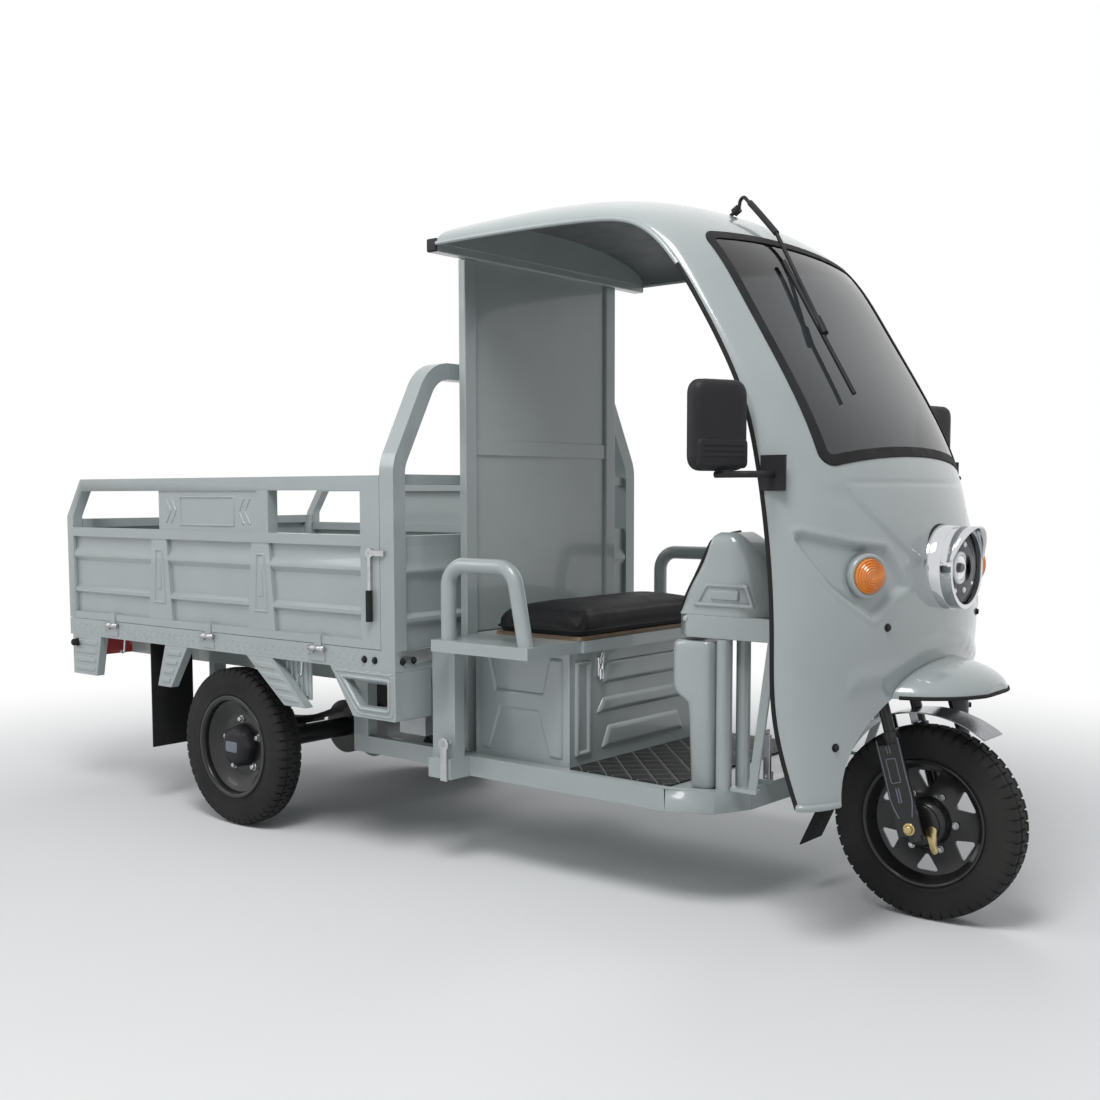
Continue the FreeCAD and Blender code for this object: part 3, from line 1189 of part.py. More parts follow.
def controls():
    """Handlebar, grips and brake lever on top of the stem."""
    z = "stem_top + bar_clamp"
    clamp = box("bar_clamp_block", ("-fork_offset - bar_clamp", "2 * bar_clamp"),
                ("-bar_clamp", "2 * bar_clamp"),
                ("stem_top", "2 * bar_clamp"))
    bar = rod("bar_tube", "y", ("-fork_offset", "-bar_half", z), "bar_radius", "2 * bar_half")
    perch = box("lever_perch", ("-fork_offset", "lever_pivot + 2 * pivot_radius"),
                ("-bar_grip_y + clear_gap", "perch_width"), (f"{z} - bar_radius", "2 * bar_radius"))
    slot = box("perch_slot", ("-fork_offset + lever_pivot - 3 * pivot_radius", "lever_pivot"),
               ("-bar_grip_y - overrun", "perch_width + 2 * overrun"),
               (f"{z} - lever_radius - clear_gap", "2 * (lever_radius + clear_gap)"))
    pin_at = ("-fork_offset + lever_pivot", "-bar_grip_y + clear_gap + perch_width / 2", f"{z} - bar_radius")
    pin = rod("lever_pin", "z", pin_at, "pivot_radius", "2 * bar_radius")
    solid = fuse("bar_solid", clamp, bar, fuse("perch_set", cut("perch_slotted", perch, slot), pin))
    grip = pipe("left_grip", "y", ("-fork_offset", "bar_grip_y", z), "grip_radius", "bar_radius",
                "grip_length")
    node(steering_frame(group("handlebar", solid, grip)))
    throttle = pipe("throttle_tube", "y", ("-fork_offset", "-bar_grip_y - grip_length", z), "grip_radius",
                    "bar_radius + run_gap", "grip_length")
    node(steering_frame(group("throttle_grip", throttle)))
    blade = rod("lever_blade", "y", (pin_at[0], f"{pin_at[1]} - lever_length", z), "lever_radius",
                "lever_length")
    eye = rod("lever_eye", "z", (pin_at[0], pin_at[1], f"{z} - lever_radius"), "2 * pivot_radius",
              "2 * lever_radius")
    bore = rod("lever_bore", "z", (pin_at[0], pin_at[1], f"{z} - lever_radius - overrun"),
               "pivot_radius + run_gap",
               "2 * lever_radius + 2 * overrun")
    node(steering_frame(group("brake_lever", cut("lever_bored", fuse("lever_solid", blade, eye), bore))))


# Bed


def hinge_leaf(name, axis, at):
    """The fixed half of a gate hinge: pin, two end knuckles and a leaf on the bed's edge rail."""
    x, y, z = at
    pin = rod(f"{name}_pin", axis, (x, y, z), "pivot_radius", "hinge_length")
    third = "hinge_length / 4 - clear_gap"
    step = "3 * hinge_length / 4 + clear_gap"
    far = (f"{x} + {step}", y, z) if axis == "x" else (x, f"{y} + {step}", z)
    knuckles = [rod(f"{name}_knuckle_{i}", axis, place, "hinge_radius", third)
                for i, place in enumerate((at, far))]
    leaf_z = (f"{z} - hinge_radius - clear_gap - hinge_leaf_height", "hinge_leaf_height")
    web_z = (f"{z} - 2 * hinge_radius", "2 * hinge_radius")
    if axis == "x":
        leaf_box = box(f"{name}_leaf", (x, "hinge_length"), (f"{y} + hinge_radius + clear_gap - hinge_leaf",
                                                             "hinge_leaf"), leaf_z)
        webs = [box(f"{name}_web_{i}", (start, third), (y, "hinge_radius"), web_z)
                for i, start in enumerate((x, f"{x} + {step}"))]
    else:
        leaf_box = box(f"{name}_leaf", (f"{x} + hinge_radius + clear_gap - hinge_leaf", "hinge_leaf"),
                       (y, "hinge_length"), leaf_z)
        webs = [box(f"{name}_web_{i}", (x, "hinge_radius"), (start, third), web_z)
                for i, start in enumerate((y, f"{y} + {step}"))]
    return fuse(name, pin, leaf_box, *knuckles, *webs)


def gate_leaf(name, axis, at):
    """The moving half of a gate hinge: one knuckle and a strap up the gate's face."""
    x, y, z = at
    step = "hinge_length / 4 + clear_gap"
    length = "hinge_length / 2 - 2 * clear_gap"
    rise = (z, "gate_gap + hinge_drop + hinge_leaf_height")
    if axis == "x":
        start = (f"{x} + {step}", y, z)
        strap = box(f"{name}_strap", (start[0], length), (f"{y} + hinge_radius + clear_gap - hinge_leaf",
                                                          "hinge_leaf"), rise)
        web = box(f"{name}_web", (start[0], length), (y, "hinge_radius - hinge_leaf"), (z, "hinge_radius"))
    else:
        start = (x, f"{y} + {step}", z)
        strap = box(f"{name}_strap", (f"{x} + hinge_radius + clear_gap - hinge_leaf", "hinge_leaf"),
                    (start[1], length), rise)
        web = box(f"{name}_web", (x, "hinge_radius - hinge_leaf"), (start[1], length), (z, "hinge_radius"))
    knuckle = rod(f"{name}_knuckle", axis, start, "hinge_radius", length)
    bore = rod(f"{name}_bore", axis, start, "pivot_radius + run_gap", length)
    return cut(name, fuse(f"{name}_solid", knuckle, strap, web), bore)


# Hinges along a side gate and along the tailgate, as shares of its length
SIDE_HINGE_SHARES = (0.151, 0.487, 0.816)
TAIL_HINGE_SHARES = (0.2, 0.5, 0.8)


def side_hinge_at(share):
    return (f"bed_rear_x + {share} * gate_length", "hinge_y", "hinge_z")


def tail_hinge_at(share):
    return ("tail_hinge_x", f"-tail_half + {share} * 2 * tail_half - hinge_length / 2", "hinge_z")


def bed():
    edge = ("deck_rail_z", "deck_rail_height")
    side = box("deck_side", ("bed_rear_x", "bed_length"), ("-bed_half", "deck_rail_width"), edge)
    across = ("-bed_half + deck_rail_width", "2 * (bed_half - deck_rail_width)")
    rear = box("deck_rear", ("bed_rear_x", "deck_rail_width"), across, edge)
    front = box("deck_front", ("post_x", "post_depth"), across, edge)
    pieces = pair(side) + [rear, front]
    count = int(size("joist_count"))
    for i in range(count):
        share = (i + 1) / (count + 1)
        pieces.append(box(f"joist_{i}", (f"bed_rear_x + {share} * bed_length - joist_width / 2",
                                         "joist_width"), across,
                          ("deck_rail_z", "deck_rail_height - deck_sheet")))
    for i, share in enumerate(SIDE_HINGE_SHARES):
        pieces += pair(hinge_leaf(f"side_hinge_{i}", "x", side_hinge_at(share)))
    for i, share in enumerate(TAIL_HINGE_SHARES):
        pieces.append(hinge_leaf(f"tail_hinge_{i}", "y", tail_hinge_at(share)))
    node(group("bed_frame", *pieces))
    node(box("bed_deck", ("bed_rear_x + deck_rail_width", "post_x - bed_rear_x - deck_rail_width"), across,
             ("deck_top_z - deck_sheet", "deck_sheet")))
    front_wall()
    node(formed("bed_hoop", hoop_form()))


def front_wall():
    """Rails and a ribbed panel between the front posts."""
    half = "bed_half - post_width"
    across = (f"-({half})", f"2 * ({half})")
    rail_x = ("post_x + (post_depth - wall_rail_depth) / 2", "wall_rail_depth")
    top = box("wall_top_rail", rail_x, across, ("deck_top_z + wall_height - wall_rail_height",
                                                "wall_rail_height"))
    middle = box("wall_mid_rail", rail_x, across, ("deck_top_z + wall_panel_height", "wall_rail_height"))
    panel = ribbed_panel("wall_panel", "XZ", "post_x + post_depth - panel_recess", "-1", "deck_top_z",
                         "wall_panel_height", half, f"2 * ({half})")
    node(group("bed_front_wall", top, middle, panel))


# Ridge places on a ribbed panel, as shares of its height: foot, peak start, peak end, top
RIDGE_SHARES = ((0.24, 0.27, 0.31, 0.35), (0.68, 0.74, 0.78, 0.86))


def ribbed_panel(name, plane, face, inward, foot_z, height, start, length):
    """A sheet with long pressed ridges: its face, the side that its back lies on (1 or -1), and its run."""
    points = [(face, foot_z)]
    for foot, peak, peak_end, top in RIDGE_SHARES:
        proud = f"{face} - ({inward}) * ridge_height"
        points += [(face, f"{foot_z} + {foot} * {height}"), (proud, f"{foot_z} + {peak} * {height}"),
                   (proud, f"{foot_z} + {peak_end} * {height}"), (face, f"{foot_z} + {top} * {height}")]
    back = f"{face} + ({inward}) * panel_sheet"
    points += [(face, f"{foot_z} + {height}"), (back, f"{foot_z} + {height}"), (back, foot_z)]
    return outline_body(name, plane, points, start, length)


def hoop_outline(inset):
    """The hoop's outline in the cross plane, from its foot over the top, set in by an inset."""
    half, foot = size("bed_half") - inset, size("deck_rail_z") + size("deck_rail_height")
    lean_z = size("deck_rail_z") + size("post_height") - inset / 4
    top = size("deck_rail_z") + size("hoop_height") - inset
    corner = size("hoop_top_half") - inset * 0.66
    bend = size("hoop_bend") - inset
    x = size("post_x")
    points = [Vector(x, -half, foot - (size("overrun") if inset else 0)), Vector(x, -half, lean_z),
              Vector(x, -corner, top)]
    points += [Vector(x, -point.y, point.z) for point in points[::-1]]
    tiny = size("clear_gap")
    return rounded(points, [tiny, bend, bend, bend, bend, tiny])


def hoop_form():
    depth = Vector(size("post_depth"), 0, 0)
    outer = Part.Face(hoop_outline(0)).extrude(depth)
    inner = Part.Face(hoop_outline(size("post_width"))).extrude(depth)
    return outer.cut(inner)


# Gates


def side_gates():
    rail_y = ("gate_face_y", "gate_thickness")
    span = ("panel_x", "panel_end_x - panel_x")
    rear = box("gate_rear_end", ("bed_rear_x", "gate_rear_post"), rail_y, ("gate_z", "gate_rear_height"))
    front = box("gate_front_end", ("panel_end_x", "gate_front_post"), rail_y, ("gate_z", "gate_height"))
    bottom = box("gate_bottom", span, rail_y, ("gate_z", "gate_bottom_rail"))
    middle = box("gate_middle", span, rail_y, ("gate_mid_z", "gate_mid_rail"))
    top = box("gate_top", ("gate_top_x", "panel_end_x - gate_top_x"), rail_y,
              ("gate_top_rail_z", "gate_top_rail"))
    slant = outline_body("gate_slant_bar", "XZ", (
        ("bed_rear_x", "gate_rear_top_z"), ("panel_x", "gate_rear_top_z"), ("gate_top_x", "gate_top_rail_z"),
        ("gate_top_x", "gate_top_z"), ("bed_rear_x + gate_slant", "gate_top_z")), "gate_inner_y",
        "gate_thickness")
    gap = ("gate_gap_z", "gate_top_rail_z - gate_gap_z")
    plate = box("badge_plate", ("badge_plate_x", "badge_plate_length"),
                ("gate_face_y + badge_plate_thickness / 2", "badge_plate_thickness"), gap)
    post = box("gap_post", ("badge_plate_x + badge_plate_length", "gap_post_width"), rail_y, gap)
    panel = ribbed_panel("gate_panel", "YZ", "panel_y", "1", "gate_panel_z", "gate_panel_height", *span)
    stiffeners = []
    for name, middle_x in (("rear", "stiffener_rear_x"), ("front", "stiffener_front_x")):
        stiffeners.append(outline_body(f"{name}_stiffener", "XZ", (
            (f"{middle_x} - stiffener_foot / 2", "gate_panel_z"),
            (f"{middle_x} + stiffener_foot / 2", "gate_panel_z"),
            (f"{middle_x} + stiffener_top / 2", "gate_mid_z"),
            (f"{middle_x} - stiffener_top / 2", "gate_mid_z")),
            "panel_y", "ridge_height"))
    hinges = [gate_leaf(f"gate_hinge_{i}", "x", side_hinge_at(share))
              for i, share in enumerate(SIDE_HINGE_SHARES)]
    pin = rod("latch_pin", "y", ("latch_x", "gate_face_y - latch_boss - clear_gap", "latch_z"),
              "pivot_radius",
              "latch_boss + clear_gap")
    right = node(group("gate_right", rear, front, bottom, middle, top, slant, plate, post,
                       fuse("gate_pressing", panel, *stiffeners), pin, *hinges))
    node(mirrored(right, "gate_left"))
    latch = node(side_latch())
    node(mirrored(latch, "gate_latch_left"))


def side_latch():
    """A hand latch on the gate's front end: boss, tongue over the post, bar and rubber grip."""
    face = "gate_face_y - latch_boss - clear_gap"
    boss = rod("latch_boss_disc", "y", ("latch_x", face, "latch_z"), "latch_boss_radius", "latch_boss")
    tongue = box("latch_tongue", ("latch_x", "tongue_length"), (face, "latch_boss / 2"),
                 ("latch_z - tongue_height / 2", "tongue_height"))
    bar = box("latch_bar", ("latch_x - handle_width / 2", "handle_width"), (face, "latch_boss"),
              ("latch_z - handle_length", "handle_length"))
    bore = rod("latch_bore", "y", ("latch_x", face, "latch_z"), "pivot_radius + run_gap", "latch_boss")
    grip = rod("latch_grip", "z", ("latch_x", "gate_face_y - clear_gap - latch_boss - clear_gap",
                                   "latch_z - handle_length - latch_grip_length"), "latch_grip_radius",
               "latch_grip_length")
    return group("gate_latch_right", cut("latch_lever", fuse("latch_solid", boss, tongue, bar), bore), grip)


def tailgate():
    x = ("bed_rear_x", "gate_thickness")
    end = box("tail_end", x, ("-tail_half", "gate_rear_post"), ("gate_z", "tail_height"))
    inner = "tail_half - gate_rear_post"
    across = (f"-({inner})", f"2 * ({inner})")
    bottom = box("tail_bottom", x, across, ("gate_z", "gate_bottom_rail"))
    top = box("tail_top", x, across, ("tail_mid_z", "gate_mid_rail"))
    height = "(tail_mid_z - gate_panel_z)"
    panel = ribbed_panel("tail_panel", "XZ", "bed_rear_x + panel_recess", "1", "gate_panel_z", height, inner,
                         f"2 * ({inner})")
    stiffener = outline_body("tail_stiffener", "YZ", (
        ("-tail_stiffener_y - stiffener_foot / 2", "gate_panel_z"),
        ("-tail_stiffener_y + stiffener_foot / 2", "gate_panel_z"),
        ("-tail_stiffener_y + stiffener_top / 2", "tail_mid_z"),
        ("-tail_stiffener_y - stiffener_top / 2", "tail_mid_z")),
        "bed_rear_x + panel_recess - ridge_height", "ridge_height")
    pin = rod("tail_latch_pin", "x", ("bed_rear_x - latch_boss - clear_gap", "-tail_latch_y", "latch_z"),
              "pivot_radius", "latch_boss + clear_gap")
    hinges = [gate_leaf(f"tail_knuckle_{i}", "y", tail_hinge_at(share))
              for i, share in enumerate(TAIL_HINGE_SHARES)]
    node(group("tailgate", *pair(end, pin), bottom, top, fuse("tail_pressing", panel, *pair(stiffener)),
               *hinges))
    latch = node(tail_latch())
    node(mirrored(latch, "tailgate_latch_left"))


def tail_latch():
    face = "bed_rear_x - latch_boss - clear_gap"
    y = "-tail_latch_y"
    boss = rod("tail_boss", "x", (face, y, "latch_z"), "latch_boss_radius", "latch_boss")
    tongue = box("tail_tongue", (face, "latch_boss / 2"), (f"{y} - tongue_length", "tongue_length"),
                 ("latch_z - tongue_height / 2", "tongue_height"))
    bar = box("tail_bar", (face, "latch_boss"), (f"{y} - handle_width / 2", "handle_width"),
              ("latch_z - handle_length", "handle_length"))
    bore = rod("tail_bore", "x", (face, y, "latch_z"), "pivot_radius + run_gap", "latch_boss")
    grip = rod("tail_grip", "z", ("bed_rear_x - clear_gap - latch_boss - clear_gap", y,
                                  "latch_z - handle_length - latch_grip_length"), "latch_grip_radius",
               "latch_grip_length")
    return group("tailgate_latch_right", cut("tail_lever", fuse("tail_lever_solid", boss, tongue, bar),
                                             bore), grip)


# Under the bed


def side_brackets():
    foot = "deck_rail_z - bracket_height"
    top = "deck_rail_z"

    def plate(name, top_x, top_length, foot_x, foot_length):
        return outline_body(name, "XZ", (
            (top_x, top), (f"{top_x} + {top_length}", top), (f"{foot_x} + {foot_length}", foot),
            (foot_x, foot)),
            "-bed_half + bracket_depth", "bracket_depth")

    skirt = plate("rear_skirt", "skirt_rear_x", "skirt_length", "skirt_rear_x",
                  "(skirt_length - skirt_taper)")
    behind = plate("rear_arch", "rear_arch_x", "rear_arch_length", "rear_arch_foot_x", "rear_arch_foot")
    ahead = plate("front_arch", "front_arch_x", "front_arch_length", "front_arch_foot_x", "front_arch_foot")
    corner = plate("corner_plate", "corner_x", "(bed_front_x - corner_x)", "corner_foot_x",
                   "(bed_front_x - corner_foot_x)")
    window = outline_body("corner_window", "XZ", (
        ("corner_x + 2 * corner_wall", f"{top} - corner_wall"),
        ("bed_front_x - corner_wall", f"{top} - corner_wall"),
        ("bed_front_x - corner_wall", f"{foot} + corner_wall"),
        ("corner_foot_x + corner_wall", f"{foot} + corner_wall")),
        "-bed_half + bracket_depth + overrun", "bracket_depth + 2 * overrun")
    back = box("corner_return_plate", ("bed_front_x - 2 * sheet", "2 * sheet"),
               ("-bed_half + bracket_depth", "corner_return - bracket_depth"), (foot, "bracket_height"))
    node(group("bed_side_brackets", *pair(skirt, behind, ahead, cut("corner_bracket", corner, window),
                                          back)))
    flap = box("rear_flap", ("flap_x", "flap_thickness"), ("-flap_outer", "flap_width"),
               ("flap_foot_z", "deck_rail_z - flap_foot_z"))
    node(group("mud_flaps", *pair(flap)))
    carrier = box("lamp_carrier", ("bed_rear_x", "lamp_plate"), ("-lamp_y - lamp_width / 2", "lamp_width"),
                  ("lamp_z", "deck_rail_z - lamp_z"))
    lens = box("lamp_lens", ("bed_rear_x - lamp_depth", "lamp_depth"),
               ("-lamp_y - lamp_width / 2", "lamp_width"),
               ("lamp_z", "lamp_height"))
    node(group("tail_lamps", *pair(carrier, lens)))
    node(box("motor_controller", ("controller_x", "controller_length"),
             ("-rail_y - rail_width - controller_width", "controller_width"),
             ("rail_z + controller_top - controller_height", "controller_height")))


# Cab shell. Each section runs from a crown on the centre line to a rim at both sides:
# crown x and z, rim x and z, as shares of the shell's length and height
SHELL_SHARES = (
    (0.0, 0.992, 0.0, 0.928), (0.25, 1.0, 0.25, 0.928), (0.44, 0.985, 0.425, 0.923),
    (0.565, 0.95, 0.52, 0.909),
    (0.656, 0.893, 0.584, 0.872), (0.754, 0.774, 0.667, 0.778), (0.857, 0.64, 0.757, 0.64),
    (0.937, 0.525, 0.796, 0.529), (0.989, 0.383, 0.822, 0.383), (1.0, 0.255, 0.831, 0.255),
    (0.981, 0.128, 0.839, 0.128), (0.962, 0.0, 0.886, 0.0))
SHELL_SECTIONS = 24


def shell_section(crown, rim, grow, wall):
    """A bow of half-ellipse form across the cab, of a given wall; no wall gives the filled section."""
    depth = (rim - crown).Length
    inward = (rim - crown).normalize()
    across = Vector(0, 1, 0)
    half = size("shell_half")

    def bow(step):
        ends = rim + across * (half + step), rim - inward * (depth + step)
        return Part.ArcOfEllipse(Part.Ellipse(*ends, rim), 0, math.pi).toShape()

    outer = bow(grow)
    if not wall:
        return Part.Wire([outer, Part.LineSegment(outer.Vertexes[-1].Point,
                                                  outer.Vertexes[0].Point).toShape()])
    inner = bow(grow - wall)
    ends = [Part.LineSegment(outer.Vertexes[i].Point, inner.Vertexes[i].Point).toShape() for i in (-1, 0)]
    return Part.Wire([outer, ends[0], inner, ends[1]])


def shell_loft(grow, wall):
    x, length = size("shell_rear_x"), size("shell_length")
    z, height = size("shell_foot_z"), size("shell_height")
    crowns = [Vector(shift(row[0], x, length), 0, shift(row[1], z, height)) for row in SHELL_SHARES]
    rims = [Vector(shift(row[2], x, length), 0, shift(row[3], z, height)) for row in SHELL_SHARES]
    runs = [0]
    for last, point in zip(crowns, crowns[1:]):
        runs.append(runs[-1] + (point - last).Length)
    lines = []
    for points in (crowns, rims):
        line = Part.BSplineCurve()
        line.interpolate(Points=points, Parameters=runs)
        lines.append(line)
    steps = [runs[-1] * i / SHELL_SECTIONS for i in range(SHELL_SECTIONS + 1)]
    sections = [shell_section(lines[0].value(step), lines[1].value(step), grow, wall) for step in steps]
    return Part.makeLoft(sections, True, False)


def rear_wall():
    """Closes the shell's rear end above the roof beam."""
    crown_x, crown_z, rim_x, rim_z = SHELL_SHARES[0]
    x, z = size("shell_rear_x"), size("shell_foot_z")
    crown = Vector(x, 0, shift(crown_z, z, size("shell_height")))
    rim = Vector(x, 0, shift(rim_z, z, size("shell_height")))
    return Part.Face(shell_section(crown, rim, 0, 0)).extrude(Vector(size("shell_wall"), 0, 0))


def screen_frame():
    """A frame on the windscreen: local Z out of the glass, local X up it."""
    lean = math.radians(size("screen_lean"))
    up = Vector(-math.sin(lean), 0, math.cos(lean))
    out = Vector(math.cos(lean), 0, math.sin(lean))
    return Vector(size("screen_x"), 0, size("screen_z")), up, out


def screen_prism(inset):
    """The windscreen's outline, set in, as a cutting tool right through the shell."""
    middle, up, out = screen_frame()
    half_length = size("screen_length") / 2 - inset
    reach = size("screen_reach")
    corners = []
    for rise, half in ((-half_length, size("screen_foot_half")), (half_length, size("screen_top_half"))):
        ends = [middle - out * reach + up * rise + Vector(0, side * (half - inset), 0) for side in (-1, 1)]
        corners += ends if rise < 0 else ends[::-1]
    wire = rounded(corners, [size("screen_corner") - inset] * 4)
    return Part.Face(wire).extrude(out * (2 * reach))


def signal_rod(radius, start, length):
    """A round bar on a turn signal's axis, on the right side."""
    yaw = math.radians(size("signal_yaw"))
    out = Vector(math.cos(yaw), -math.sin(yaw), 0)
    place = Vector(size("signal_x"), -size("signal_y"), size("signal_z"))
    return Part.makeCylinder(radius, length, place + out * start, out)


def across_plane(shape):
    return shape.mirror(Vector(), Vector(0, 1, 0))


def cab_shell():
    wall = size("shell_wall")
    full = shell_loft(0, wall).fuse(rear_wall())
    lap, web = size("seal_lap"), size("seal_web")
    gap = size("clear_gap")
    arch = Part.Ellipse(Vector(0, size("arch_half"), size("shell_foot_z")),
                        Vector(0, 0, size("shell_foot_z") + size("arch_height")),
                        Vector(0, 0, size("shell_foot_z"))).toShape()
    arch_tool = Part.Face(Part.Wire(arch)).extrude(Vector(size("lip_tip_x"), 0, 0))
    bucket = Part.makeCylinder(size("bucket_radius") + gap, size("shell_length"),
                               Vector(size("shell_rear_x") + size("shell_length") / 2, 0,
                                      size("head_lamp_z")),
                               Vector(1, 0, 0))
    signal = signal_rod(size("signal_radius") + gap, -size("signal_depth") * 2, size("signal_depth") * 4)
    spindle = wiper_rod(size("spindle_radius") + gap, -size("wiper_motor_length"),
                        size("wiper_motor_length") * 2)
    opening = screen_prism(lap)
    shell = full.cut([opening, arch_tool, bucket, signal, across_plane(signal), spindle])
    node(formed("cab_shell", shell))
    glass = full.common(screen_prism(lap + web))
    node(formed("windscreen", glass))
    proud = size("seal_proud")
    ring = screen_prism(0).cut(screen_prism(size("seal_width")))
    seal = shell_loft(proud, wall + 2 * proud).common(ring).cut([full.cut(opening), glass])
    node(formed("windscreen_seal", seal))
    front_lip()


# Front lip sections: place between root and tip, width and rise between theirs
LIP_SHARES = ((0.0, 0.0, 0.0), (0.45, 0.12, 0.14), (0.75, 0.38, 0.42), (1.0, 1.0, 1.0))


def front_lip():
    """A visor over the front wheel, an open-bottomed shell that lies against the cab shell."""
    wall = size("cowl_wall")

    def form(inset):
        rings = []
        for along, narrow, lower in LIP_SHARES:
            x = shift(along, size("lip_root_x"), size("lip_tip_x") - size("lip_root_x") - inset)
            half = shift(narrow, size("lip_root_half"), size("lip_tip_half") - size("lip_root_half")) - inset
            rise = shift(lower, size("lip_rise"), size("lip_tip_rise") - size("lip_rise")) - inset
            low = Vector(x, 0, size("lip_z"))
            bow = Part.ArcOfEllipse(Part.Ellipse(low + Vector(0, half, 0), low + Vector(0, 0, rise), low), 0,
                                    math.pi)
            edge = bow.toShape()
            base = Part.LineSegment(edge.Vertexes[-1].Point, edge.Vertexes[0].Point).toShape()
            rings.append(Part.Wire([edge, base]))
        return Part.makeLoft(rings, True, False)

    core = shell_loft(0, 0)
    node(formed("front_lip", form(0).cut([form(wall), core])))


def lamps():
    x, z = "head_lamp_x", "head_lamp_z"
    ring = pipe("bezel_ring", "x", (x, "0", z), "bezel_radius", "bezel_radius - bezel_wall", "bezel_depth")
    back = rod("lamp_back", "x", (x, "0", z), "bezel_radius - bezel_wall",
               "bezel_depth - lens_set - lens_thickness")
    bucket = rod("lamp_bucket", "x", (f"{x} - bucket_depth", "0", z), "bucket_radius", "bucket_depth")
    node(fuse("headlight_body", ring, back, bucket))
    node(rod("headlight_lens", "x", ("bezel_front_x - lens_set - lens_thickness", "0", z),
             "bezel_radius - bezel_wall",
             "lens_thickness"))
    yaw = math.radians(size("signal_yaw"))
    out = Vector(math.cos(yaw), -math.sin(yaw), 0)
    base = signal_rod(size("signal_radius"), size("signal_proud") - size("signal_depth"),
                      size("signal_depth") - size("signal_dome"))
    face = Vector(size("signal_x"), -size("signal_y"), size("signal_z")) + out * (size("signal_proud")
                                                                                 - size("signal_dome"))
    dome = Part.makeCone(size("signal_radius"), size("signal_radius") * 0.7, size("signal_dome"), face, out)
    lens = base.fuse(dome)
    node(formed("turn_signals", Part.makeCompound([lens, across_plane(lens)])))


# Mirrors


def mirrors():
    plate = box("mirror_plate", ("mirror_bracket_x", "mirror_bracket_length"),
                ("-shell_half - clear_gap - mirror_bracket_thickness", "mirror_bracket_thickness"),
                ("mirror_bracket_z", "mirror_bracket_height"))
    z = size("mirror_arm_z")
    start = Vector(size("mirror_bracket_x") + size("mirror_bracket_length") / 2,
                   -size("shell_half") - size("clear_gap") - size("mirror_bracket_thickness") / 2, z)
    turn = Vector(start.x, -size("mirror_y"), z)
    end = Vector(size("mirror_x") - size("mirror_arm_radius"), -size("mirror_y"), z)
    arm = formed("mirror_arm_bar", tube([start, turn, end], size("mirror_arm_radius") * 3,
                                        size("mirror_arm_radius")))
    pin = rod("mirror_pin", "z", ("mirror_x", "-mirror_y", "mirror_arm_z"), "mirror_pin_radius",
              "mirror_pin_height")
    node(group("mirror_arms", *pair(fuse("mirror_arm", plate, arm, pin))))
    node(formed("mirror_right", mirror_form(-1, -size("mirror_yaw"))))
    node(formed("mirror_left", mirror_form(1, size("mirror_left_yaw"))))


def mirror_form(side, yaw):
    """A rounded housing with its glass on the rear side, on a bush that turns on the arm's pin."""
    depth, width, height = size("mirror_depth"), size("mirror_width"), size("mirror_height")
    glass, rim = size("mirror_glass"), size("mirror_rim")
    foot = size("mirror_arm_radius") + size("clear_gap")

    def slab(inset, start, length):
        corners = [Vector(start, end * (width / 2 - inset), level) for end, level in
                   ((-1, foot + inset), (1, foot + inset), (1, foot + height - inset),
                    (-1, foot + height - inset))]
        return Part.Face(rounded(corners, [size("mirror_corner") - inset] * 4)).extrude(Vector(length, 0, 0))

    bush = size("mirror_bush")
    pin_hole = Part.makeCylinder(size("mirror_pin_radius") + size("run_gap"),
                                 size("mirror_pin_height") + size("clear_gap"), Vector())
    housing = slab(0, -depth / 2, depth).cut([slab(rim, -depth / 2, glass), pin_hole])
    collar = Part.makeCylinder(bush, foot - size("mirror_arm_radius"),
                               Vector(0, 0, size("mirror_arm_radius")))
    pane = slab(rim, -depth / 2, glass)
    head = Part.makeCompound([housing.fuse(collar.cut(pin_hole)), pane])
    place = Vector(size("mirror_x"), side * size("mirror_y"), size("mirror_arm_z"))
    head.Placement = Placement(place, Rotation(Vector(0, 0, 1), yaw))
    return head


# Wiper


def wiper_axis():
    middle, up, out = screen_frame()
    return Vector(size("wiper_x"), -size("wiper_y"), size("wiper_z")), out


def wiper_rod(radius, start, length):
    foot, out = wiper_axis()
    return Part.makeCylinder(radius, length, foot + out * start, out)


def wiper():
    foot, out = wiper_axis()
    gap = size("wiper_motor_gap")
    motor = wiper_rod(size("wiper_motor_radius"), -gap - size("wiper_motor_length"),
                      size("wiper_motor_length"))
    spindle = wiper_rod(size("spindle_radius"), -gap - size("spindle_radius"),
                        gap + size("spindle_radius") + size("spindle_reach"))
    node(formed("wiper_motor", motor.fuse(spindle)))
    boss_start = size("wiper_boss_gap")
    boss_end = size("spindle_reach") + size("spindle_radius")
    boss = wiper_rod(size("wiper_boss_radius"), boss_start, boss_end - boss_start)
    hole = wiper_rod(size("spindle_radius") + size("run_gap"), 0, size("spindle_reach") + size("clear_gap"))
    neck = foot + out * boss_end
    knee = Vector(size("wiper_knee_x"), -size("wiper_y"), size("wiper_knee_z"))
    elbow = Vector(size("wiper_elbow_x"), -size("wiper_elbow_y"), size("wiper_elbow_z"))
    block = Vector(size("wiper_block_x"), -size("wiper_block_y"), size("wiper_block_z"))
    arm = tube([neck, knee, elbow, block], size("wiper_arm_radius") * 3, size("wiper_arm_radius"))
    blade = tube([Vector(size("blade_top_x"), -size("blade_top_y"), size("blade_top_z")),
                  Vector(size("blade_foot_x"), -size("blade_foot_y"), size("blade_foot_z"))],
                 size("wiper_blade_radius"), size("wiper_blade_radius"))
    node(formed("wiper_arm", boss.cut(hole).fuse([arm, blade])))


